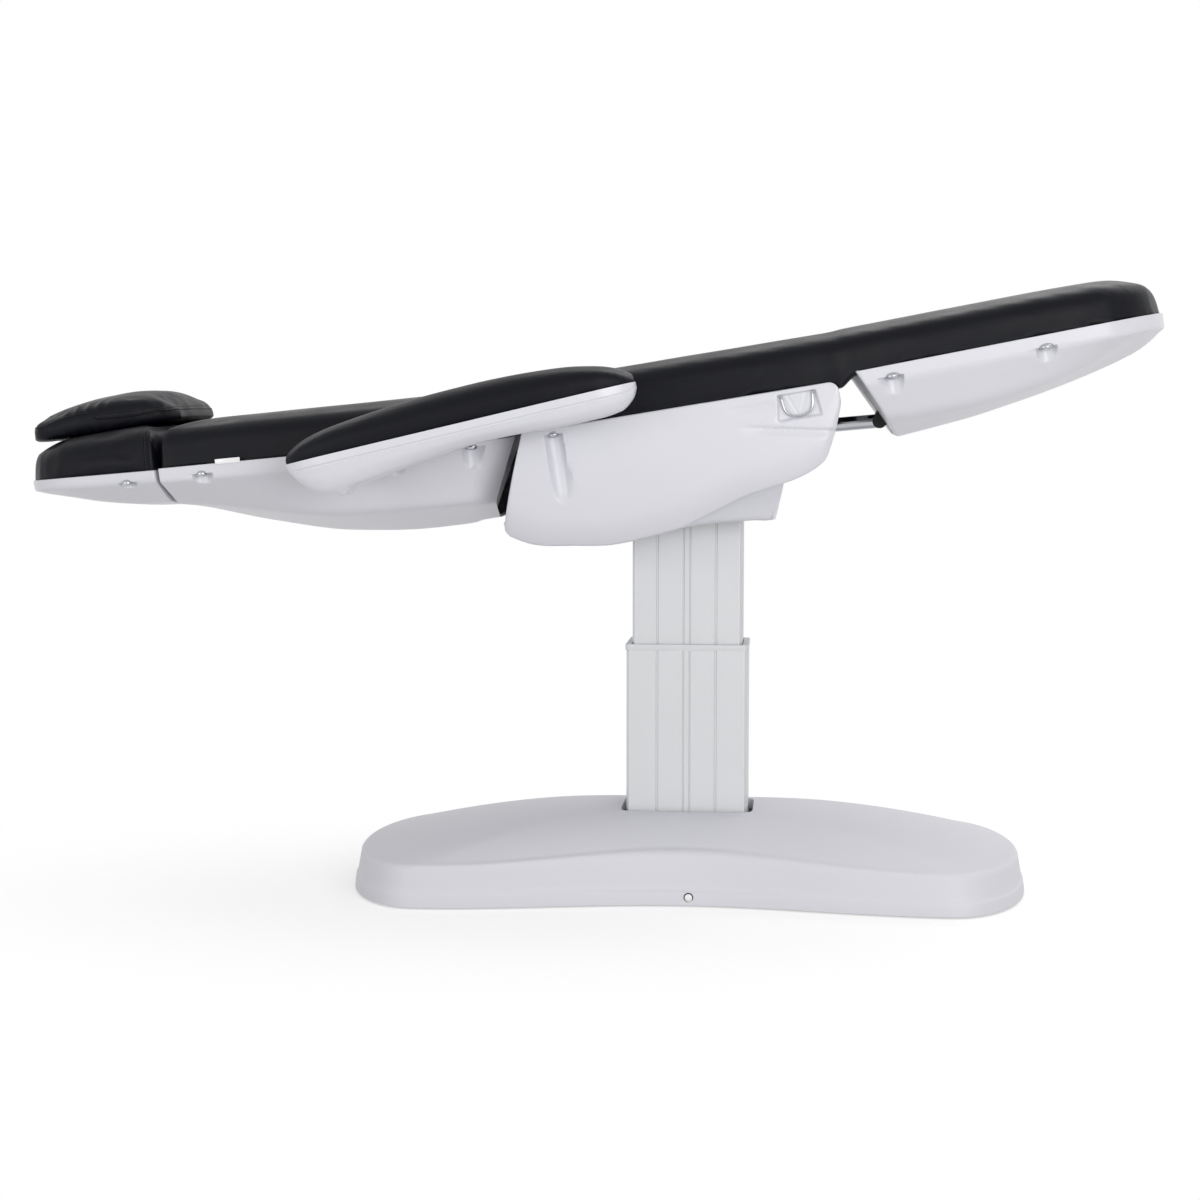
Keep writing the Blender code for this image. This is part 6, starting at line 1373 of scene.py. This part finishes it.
def build_rings():
    """The two D-rings of chromed wire that hang in the seat's wings."""
    wire, wire_sides, bends = 0.0018, 14, 32
    path = [Vector((-0.0285, 0.0, 0.0)), Vector((-0.0262, 0.0, 0.0))]
    for step in range(bends + 1):
        turn = math.pi * step / bends
        x = -0.0235 * math.copysign(abs(math.cos(turn)) ** 0.75, math.cos(turn))
        path.append(Vector((x, 0.0, -0.033 * math.sin(turn) ** 0.62 - 0.0002)))
    path += [Vector((0.0262, 0.0, 0.0)), Vector((0.0285, 0.0, 0.0))]
    along, across, up = RING_PLACE
    for side, sign in SIDES:
        centre = Vector((along, sign * across, up))
        rings = []
        for index, point in enumerate(path):
            run = (path[min(len(path) - 1, index + 1)] - path[max(0, index - 1)]).normalized()
            out = Vector((0.0, 1.0, 0.0))
            aside = run.cross(out).normalized()
            ring = []
            for step in range(wire_sides):
                turn = 2 * math.pi * step / wire_sides
                ring.append(centre + point + wire * (out * math.cos(turn) + aside * math.sin(turn)))
            rings.append(ring)
        piece = as_object(f"d_ring_wire_{side}", ringed(rings))
        blend_shade(piece, 50.0)
        dress(piece, f"ring_{side}", "chrome", [f"d_ring_{side}"], section_matrix("seat"))


def build_tab():
    """The small glossy tab between the back's shell and its pad."""
    bm = brick(TAB_LEFT, TAB_RIGHT, -0.0009, 0.0009, -0.0016, 0.0066)
    bmesh.ops.bevel(bm, geom=bm.edges[:], offset=0.0008, segments=3, profile=0.5, affect="EDGES")
    piece = as_object("shell_tab_plate", bm)
    blend_shade(piece, 40.0)
    width = back_half((TAB_RIGHT - BACK_LEFT) / (BACK_RIGHT - BACK_LEFT))[0].x
    dress(piece, "back", "bright_white_plastic", ["shell_tab"],
          section_matrix("back") @ Matrix.Translation((0.0, -width - 0.0013, BACK_RIM)))


# Materials


def principled(name, base, settings):
    """A new material with its shader, ready for more nodes."""
    material = bpy.data.materials.new(name)
    material.use_nodes = True
    tree = material.node_tree
    shader = tree.nodes["Principled BSDF"]
    shader.inputs["Base Color"].default_value = (*base, 1.0)
    for label, value in settings.items():
        shader.inputs[label].default_value = value
    place = node(tree, "ShaderNodeTexCoord")
    return tree, shader, place.outputs["Object"]


def mottle(tree, shader, place, base, scale, amount):
    """Slight changes of colour over the surface."""
    cloud = node(tree, "ShaderNodeTexNoise", {"Scale": scale, "Detail": 4.0, "Roughness": 0.6}, {"Vector": place})
    ramp = node(tree, "ShaderNodeValToRGB", links={"Fac": cloud.outputs["Fac"]})
    for stop, at, change in zip(ramp.color_ramp.elements, (0.3, 0.7), (1 - amount, 1 + amount)):
        stop.position = at
        stop.color = (*(min(1.0, part * change) for part in base), 1.0)
    tree.links.new(ramp.outputs["Color"], shader.inputs["Base Color"])
    return cloud


def vary(tree, shader, source, low, high):
    """Roughness that follows a pattern between two values."""
    span = node(tree, "ShaderNodeMapRange", {"From Min": 0.3, "From Max": 0.7, "To Min": low, "To Max": high},
                {"Value": source})
    tree.links.new(span.outputs["Result"], shader.inputs["Roughness"])


def raise_by(tree, shader, source, distance, strength, under=None):
    """A bump of a real height in metres."""
    links = {"Height": source}
    if under is not None:
        links["Normal"] = under
    bump = node(tree, "ShaderNodeBump", {"Distance": distance, "Strength": strength}, links)
    tree.links.new(bump.outputs["Normal"], shader.inputs["Normal"])


def coat(name, base, settings, cloud=None, rough=None, grain=None):
    """A finish, whose cloud is (scale, share of shade), rough a range and grain (scale, detail, height, strength)."""
    tree, shader, place = principled(name, base, settings)
    if cloud:
        drift = mottle(tree, shader, place, base, *cloud)
        if rough:
            vary(tree, shader, drift.outputs["Fac"], *rough)
    if grain:
        bumps = node(tree, "ShaderNodeTexNoise", {"Scale": grain[0], "Detail": grain[1]}, {"Vector": place})
        raise_by(tree, shader, bumps.outputs["Fac"], *grain[2:])
    return tree, shader, place


def make_finishes(tones):
    """Every finish of the table, each from what the real one is."""
    # Injection-moulded white ABS with a fine spark-eroded grain: satin, with soft broad highlights. The grain is
    # 0.3 mm on the real mould, drawn at 0.8 mm so that it shows
    spark = (1250.0, 2.0, 0.00003, 0.5)
    coat("moulded_abs_white", tones.shell, {"IOR": 1.53}, (3.0, 0.012), (0.30, 0.38), spark)
    coat("moulded_abs_grey", tones.base, {"IOR": 1.53}, (3.0, 0.012), (0.50, 0.60), spark)
    # Glossy white polypropylene: smooth, with a faint moulding ripple
    coat("gloss_white_plastic", tones.gloss_white, {"IOR": 1.49}, (60.0, 0.01), (0.10, 0.18))
    # Paler glide collar of acetal, matt
    coat("collar_plastic", tones.collar, {"IOR": 1.48}, (40.0, 0.015), (0.40, 0.50))
    # Black PVC leatherette on foam: embossed pebble grain, satin with a soft sheen on its raised parts. The pebbles
    # are about 1 mm on the real cover, drawn at 2 mm so that they show
    tree, shader, place = coat("vinyl_leatherette", tones.leather, {"IOR": 1.50, "Specular IOR Level": 0.14},
                               (14.0, 0.10), (0.36, 0.46))
    pebbles = node(tree, "ShaderNodeTexVoronoi", {"feature": "DISTANCE_TO_EDGE", "Scale": 520.0, "Randomness": 1.0},
                   {"Vector": place})
    creases = node(tree, "ShaderNodeMapRange", {"From Min": 0.0, "From Max": 0.16, "To Min": 0.0, "To Max": 1.0},
                   {"Value": pebbles.outputs["Distance"]})
    folds = node(tree, "ShaderNodeTexNoise", {"Scale": 38.0, "Detail": 3.0, "Roughness": 0.55}, {"Vector": place})
    soft = node(tree, "ShaderNodeBump", {"Distance": 0.0009, "Strength": 0.35}, {"Height": folds.outputs["Fac"]})
    raise_by(tree, shader, creases.outputs["Result"], 0.00012, 0.55, soft.outputs["Normal"])
    # Twisted polyester thread
    tree, shader, place = coat("sewing_thread", tones.thread, {"Roughness": 0.62}, (200.0, 0.15))
    twist = node(tree, "ShaderNodeTexWave", {"Scale": 420.0, "Distortion": 1.5}, {"Vector": place})
    raise_by(tree, shader, twist.outputs["Fac"], 0.0001, 0.6)
    # Aluminium extrusion in satin silver paint: fine flake and faint draw lines up the tube
    tree, shader, place = coat("satin_column", tones.column, {"IOR": 1.50, "Metallic": 0.25}, (5.0, 0.012))
    lines = node(tree, "ShaderNodeMapping", {"Scale": (900.0, 900.0, 6.0)}, {"Vector": place})
    streaks = node(tree, "ShaderNodeTexNoise", {"Scale": 1.0, "Detail": 3.0}, {"Vector": lines.outputs["Vector"]})
    vary(tree, shader, streaks.outputs["Fac"], 0.34, 0.44)
    raise_by(tree, shader, streaks.outputs["Fac"], 0.00002, 0.5)
    # Black powder coat on welded steel: orange-peel bump at 1.5 mm
    coat("powder_coated_steel", tones.frame_paint, {"IOR": 1.50}, (20.0, 0.08), (0.42, 0.55),
         (650.0, 1.0, 0.0001, 0.5))
    # Dark glass-filled nylon of the drive housings: matt and slightly coarse
    coat("nylon_housing", tones.housing, {"IOR": 1.53}, (30.0, 0.10), (0.46, 0.60), (900.0, 2.0, 0.00008, 0.6))
    # Bright chromium plate on steel, with faint handling haze
    tree, shader, place = coat("chrome_plate", tones.chrome, {"Metallic": 1.0})
    haze = node(tree, "ShaderNodeTexNoise", {"Scale": 120.0, "Detail": 4.0}, {"Vector": place})
    vary(tree, shader, haze.outputs["Fac"], 0.07, 0.16)
    # Moulded black rubber
    coat("moulded_rubber", tones.rubber, {"IOR": 1.52}, (50.0, 0.15), (0.78, 0.90), (1400.0, 2.0, 0.00006, 0.7))


# The finish of each slot
FINISHES = {
    "white_plastic": "moulded_abs_white",
    "grey_plastic": "moulded_abs_grey",
    "bright_white_plastic": "gloss_white_plastic",
    "black_upholstery": "vinyl_leatherette",
    "grey_column_paint": "satin_column",
    "black_frame_paint": "powder_coated_steel",
    "dark_housing": "nylon_housing",
    "chrome": "chrome_plate",
    "black_rubber": "moulded_rubber",
}


def finish_frame():
    """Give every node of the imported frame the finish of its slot."""
    for name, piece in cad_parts.items():
        for place in piece.material_slots:
            known = place.material.name.split(".")[0] if place.material else ""
            if known not in FINISHES:
                raise RuntimeError(f"{name} has no finish for {known}")
            place.material = bpy.data.materials[FINISHES[known]]


# Stage, with each light as (name, place, aim, size, watts)
LIGHTS = (
    ("overhead", (1.3, 1.2, 2.8), (0.2, 0.0, 0.6), (3.2, 1.8), 34.0),
    ("key", (1.9, -3.8, 1.1), (0.0, 0.0, 0.6), (2.2, 1.6), 60.0),
    ("fill", (-2.5, -3.3, 0.9), (0.0, 0.0, 0.6), (2.0, 1.4), 26.0),
)
CAMERA_PLACE, CAMERA_DIP, CAMERA_TURN = (0.35555, -3.9771, 0.8018), 4.707, 4.927
CAMERA_LENS, CAMERA_SENSOR = 72.021, 36.0
WHITE = (1.0, 1.0, 1.0, 1.0)


def area_light(name, place, aim, size, power):
    """A soft rectangular light that faces a point."""
    lamp = bpy.data.lights.new(name, "AREA")
    lamp.shape = "RECTANGLE"
    lamp.size, lamp.size_y = size
    lamp.energy = power
    item = bpy.data.objects.new(name, lamp)
    bpy.context.scene.collection.objects.link(item)
    item.location = place
    item.rotation_euler = (Vector(aim) - Vector(place)).to_track_quat("-Z", "Y").to_euler()


def seen_rays(tree):
    """1 for rays that show the background: from the camera, mirrored or passed through."""
    path = node(tree, "ShaderNodeLightPath")
    first = node(tree, "ShaderNodeMath", {"operation": "ADD"},
                 {0: path.outputs["Is Camera Ray"], 1: path.outputs["Is Glossy Ray"]})
    return node(tree, "ShaderNodeMath", {"operation": "ADD", "use_clamp": True},
                {0: first.outputs[0], 1: path.outputs["Is Transmission Ray"]}).outputs[0]


def build_floor():
    """A pale floor that keeps the table's shadow near it, and turns to plain white further out."""
    bm = bmesh.new()
    bmesh.ops.create_circle(bm, cap_ends=True, segments=96, radius=30.0)
    floor = as_object("stage_floor", bm)
    material = bpy.data.materials.new("studio_floor")
    material.use_nodes = True
    tree = material.node_tree
    tree.nodes.remove(tree.nodes["Principled BSDF"])
    place = node(tree, "ShaderNodeTexCoord")
    centred = node(tree, "ShaderNodeMapping", {"Location": (-0.10, 0.0, 0.0), "Scale": (0.55, 0.80, 1.0)},
                   {"Vector": place.outputs["Object"]})
    away = node(tree, "ShaderNodeVectorMath", {"operation": "LENGTH"}, {0: centred.outputs["Vector"]})
    fade = node(tree, "ShaderNodeMapRange", {"interpolation_type": "SMOOTHSTEP", "From Min": 0.30, "From Max": 0.80},
                {"Value": away.outputs["Value"]})
    seen = seen_rays(tree)
    both = node(tree, "ShaderNodeMath", {"operation": "MULTIPLY"}, {0: fade.outputs["Result"], 1: seen})
    paper = node(tree, "ShaderNodeBsdfDiffuse", {"Color": (0.63, 0.63, 0.63, 1.0)})
    glow = node(tree, "ShaderNodeEmission", {"Color": WHITE, "Strength": 1.0})
    tint = node(tree, "ShaderNodeMath", {"operation": "MULTIPLY", 1: 0.50}, {0: seen})
    pale = node(tree, "ShaderNodeEmission", {"Color": WHITE}, {"Strength": tint.outputs[0]})
    near = node(tree, "ShaderNodeAddShader", links={0: paper.outputs[0], 1: pale.outputs[0]})
    mixed = node(tree, "ShaderNodeMixShader", links={0: both.outputs[0], 1: near.outputs[0], 2: glow.outputs[0]})
    tree.links.new(mixed.outputs[0], tree.nodes["Material Output"].inputs["Surface"])
    floor.data.materials.append(material)


def build_world():
    """Soft even light, and plain white wherever the background shows."""
    world = bpy.data.worlds.new("studio")
    bpy.context.scene.world = world
    world.use_nodes = True
    tree = world.node_tree
    tree.nodes.clear()
    light = node(tree, "ShaderNodeBackground", {"Color": WHITE, "Strength": 0.56})
    white = node(tree, "ShaderNodeBackground", {"Color": WHITE, "Strength": 1.0})
    mixed = node(tree, "ShaderNodeMixShader", links={0: seen_rays(tree), 1: light.outputs[0], 2: white.outputs[0]})
    node(tree, "ShaderNodeOutputWorld", links={"Surface": mixed.outputs[0]})


def build_stage():
    """Pale floor, white surroundings, soft lights and the camera."""
    build_floor()
    build_world()
    for light in LIGHTS:
        area_light(*light)
    lens = bpy.data.cameras.new("camera")
    lens.lens = CAMERA_LENS
    lens.sensor_width = CAMERA_SENSOR
    camera = bpy.data.objects.new("camera", lens)
    scene = bpy.context.scene
    scene.collection.objects.link(camera)
    camera.location = CAMERA_PLACE
    camera.rotation_euler = (math.radians(90 - CAMERA_DIP), 0.0, math.radians(CAMERA_TURN))
    scene.camera = camera
    scene.view_settings.view_transform = "Standard"


# Operators, in the order that they run


class SPA_OT_finishes(bpy.types.Operator):
    """Make every finish, and give the frame's nodes theirs."""
    bl_idname = "spa.finishes"
    bl_label = "Finishes"

    def execute(self, context):
        make_finishes(context.scene.spa_finishes)
        finish_frame()
        return {"FINISHED"}


class SPA_OT_base(bpy.types.Operator):
    """Build the base's moulded cover and its cap."""
    bl_idname = "spa.base"
    bl_label = "Base cover"

    def execute(self, context):
        build_base_cover()
        build_base_cap()
        return {"FINISHED"}


class SPA_OT_column(bpy.types.Operator):
    """Build the column's extruded tubes and its collar."""
    bl_idname = "spa.column"
    bl_label = "Column"

    def execute(self, context):
        build_column(context.scene.spa_sizes)
        return {"FINISHED"}


class SPA_OT_seat_shell(bpy.types.Operator):
    """Build the seat's moulded shell."""
    bl_idname = "spa.seat_shell"
    bl_label = "Seat shell"

    def execute(self, context):
        build_seat_shell()
        return {"FINISHED"}


class SPA_OT_back_shell(bpy.types.Operator):
    """Build the back's moulded shell and its tab."""
    bl_idname = "spa.back_shell"
    bl_label = "Back shell"

    def execute(self, context):
        build_back_shell()
        build_tab()
        return {"FINISHED"}


class SPA_OT_headrest_shell(bpy.types.Operator):
    """Build the headrest's moulded shell."""
    bl_idname = "spa.headrest_shell"
    bl_label = "Headrest shell"

    def execute(self, context):
        build_head_shell()
        return {"FINISHED"}


class SPA_OT_leg_shell(bpy.types.Operator):
    """Build the leg rest's moulded shell."""
    bl_idname = "spa.leg_shell"
    bl_label = "Leg rest shell"

    def execute(self, context):
        build_leg_shell()
        return {"FINISHED"}


class SPA_OT_armrest_shells(bpy.types.Operator):
    """Build both armrests' moulded shells."""
    bl_idname = "spa.armrest_shells"
    bl_label = "Armrest shells"

    def execute(self, context):
        build_arm_shells()
        return {"FINISHED"}


class SPA_OT_long_pad(bpy.types.Operator):
    """Build the one pad that covers the seat and the leg rest."""
    bl_idname = "spa.long_pad"
    bl_label = "Seat and leg pad"

    def execute(self, context):
        build_long_pad(context.scene.spa_sizes)
        return {"FINISHED"}


class SPA_OT_back_pad(bpy.types.Operator):
    """Build the back's pad."""
    bl_idname = "spa.back_pad"
    bl_label = "Back pad"

    def execute(self, context):
        build_back_pad(context.scene.spa_sizes)
        return {"FINISHED"}


class SPA_OT_headrest_pad(bpy.types.Operator):
    """Build the headrest's pad."""
    bl_idname = "spa.headrest_pad"
    bl_label = "Headrest pad"

    def execute(self, context):
        build_head_pad(context.scene.spa_sizes)
        return {"FINISHED"}


class SPA_OT_pillow(bpy.types.Operator):
    """Build the head pillow."""
    bl_idname = "spa.pillow"
    bl_label = "Pillow"

    def execute(self, context):
        build_pillow(context.scene.spa_sizes)
        return {"FINISHED"}


class SPA_OT_armrest_pads(bpy.types.Operator):
    """Build both armrests' pads."""
    bl_idname = "spa.armrest_pads"
    bl_label = "Armrest pads"

    def execute(self, context):
        build_arm_pads(context.scene.spa_sizes)
        return {"FINISHED"}


class SPA_OT_seams(bpy.types.Operator):
    """Sew the pads' raised seams and stitches."""
    bl_idname = "spa.seams"
    bl_label = "Seams and stitches"

    def execute(self, context):
        build_seams(context.scene.spa_sizes)
        return {"FINISHED"}


class SPA_OT_screws(bpy.types.Operator):
    """Set the shells' button screws in their pockets."""
    bl_idname = "spa.screws"
    bl_label = "Button screws"

    def execute(self, context):
        build_screws(context.scene.spa_sizes)
        return {"FINISHED"}


class SPA_OT_rings(bpy.types.Operator):
    """Hang the seat's two D-rings."""
    bl_idname = "spa.rings"
    bl_label = "D-rings"

    def execute(self, context):
        build_rings()
        return {"FINISHED"}


class SPA_OT_stage(bpy.types.Operator):
    """Set the floor, the lights and the camera."""
    bl_idname = "spa.stage"
    bl_label = "Stage"

    def execute(self, context):
        build_stage()
        return {"FINISHED"}


OPERATORS = (
    SPA_OT_finishes,
    SPA_OT_base,
    SPA_OT_column,
    SPA_OT_seat_shell,
    SPA_OT_back_shell,
    SPA_OT_headrest_shell,
    SPA_OT_leg_shell,
    SPA_OT_armrest_shells,
    SPA_OT_long_pad,
    SPA_OT_back_pad,
    SPA_OT_headrest_pad,
    SPA_OT_pillow,
    SPA_OT_armrest_pads,
    SPA_OT_seams,
    SPA_OT_screws,
    SPA_OT_rings,
    SPA_OT_stage,
)


class SPA_PT_panel(bpy.types.Panel):
    """The table's pieces, in the order that they are made."""
    bl_idname = "SPA_PT_panel"
    bl_label = "Spa table"
    bl_space_type = "VIEW_3D"
    bl_region_type = "UI"
    bl_category = "Spa table"

    def draw(self, context):
        for kind in OPERATORS:
            self.layout.operator(kind.bl_idname)
        for group in (context.scene.spa_finishes, context.scene.spa_sizes):
            box = self.layout.box()
            for name in group.__annotations__:
                box.prop(group, name)


CLASSES = (SPA_PG_finishes, SPA_PG_sizes) + OPERATORS + (SPA_PT_panel,)


def register():
    """Add the classes, and their groups to the scene."""
    for kind in CLASSES:
        bpy.utils.register_class(kind)
    bpy.types.Scene.spa_finishes = bpy.props.PointerProperty(type=SPA_PG_finishes)
    bpy.types.Scene.spa_sizes = bpy.props.PointerProperty(type=SPA_PG_sizes)


def unregister():
    """Take the groups and the classes out again."""
    del bpy.types.Scene.spa_sizes
    del bpy.types.Scene.spa_finishes
    for kind in reversed(CLASSES):
        bpy.utils.unregister_class(kind)


def main():
    """Build the whole look, running every operator in order."""
    register()
    for kind in OPERATORS:
        area, name = kind.bl_idname.split(".")
        if "FINISHED" not in getattr(getattr(bpy.ops, area), name)():
            raise RuntimeError(f"{kind.bl_label} did not finish")


if __name__ == "__main__":
    main()
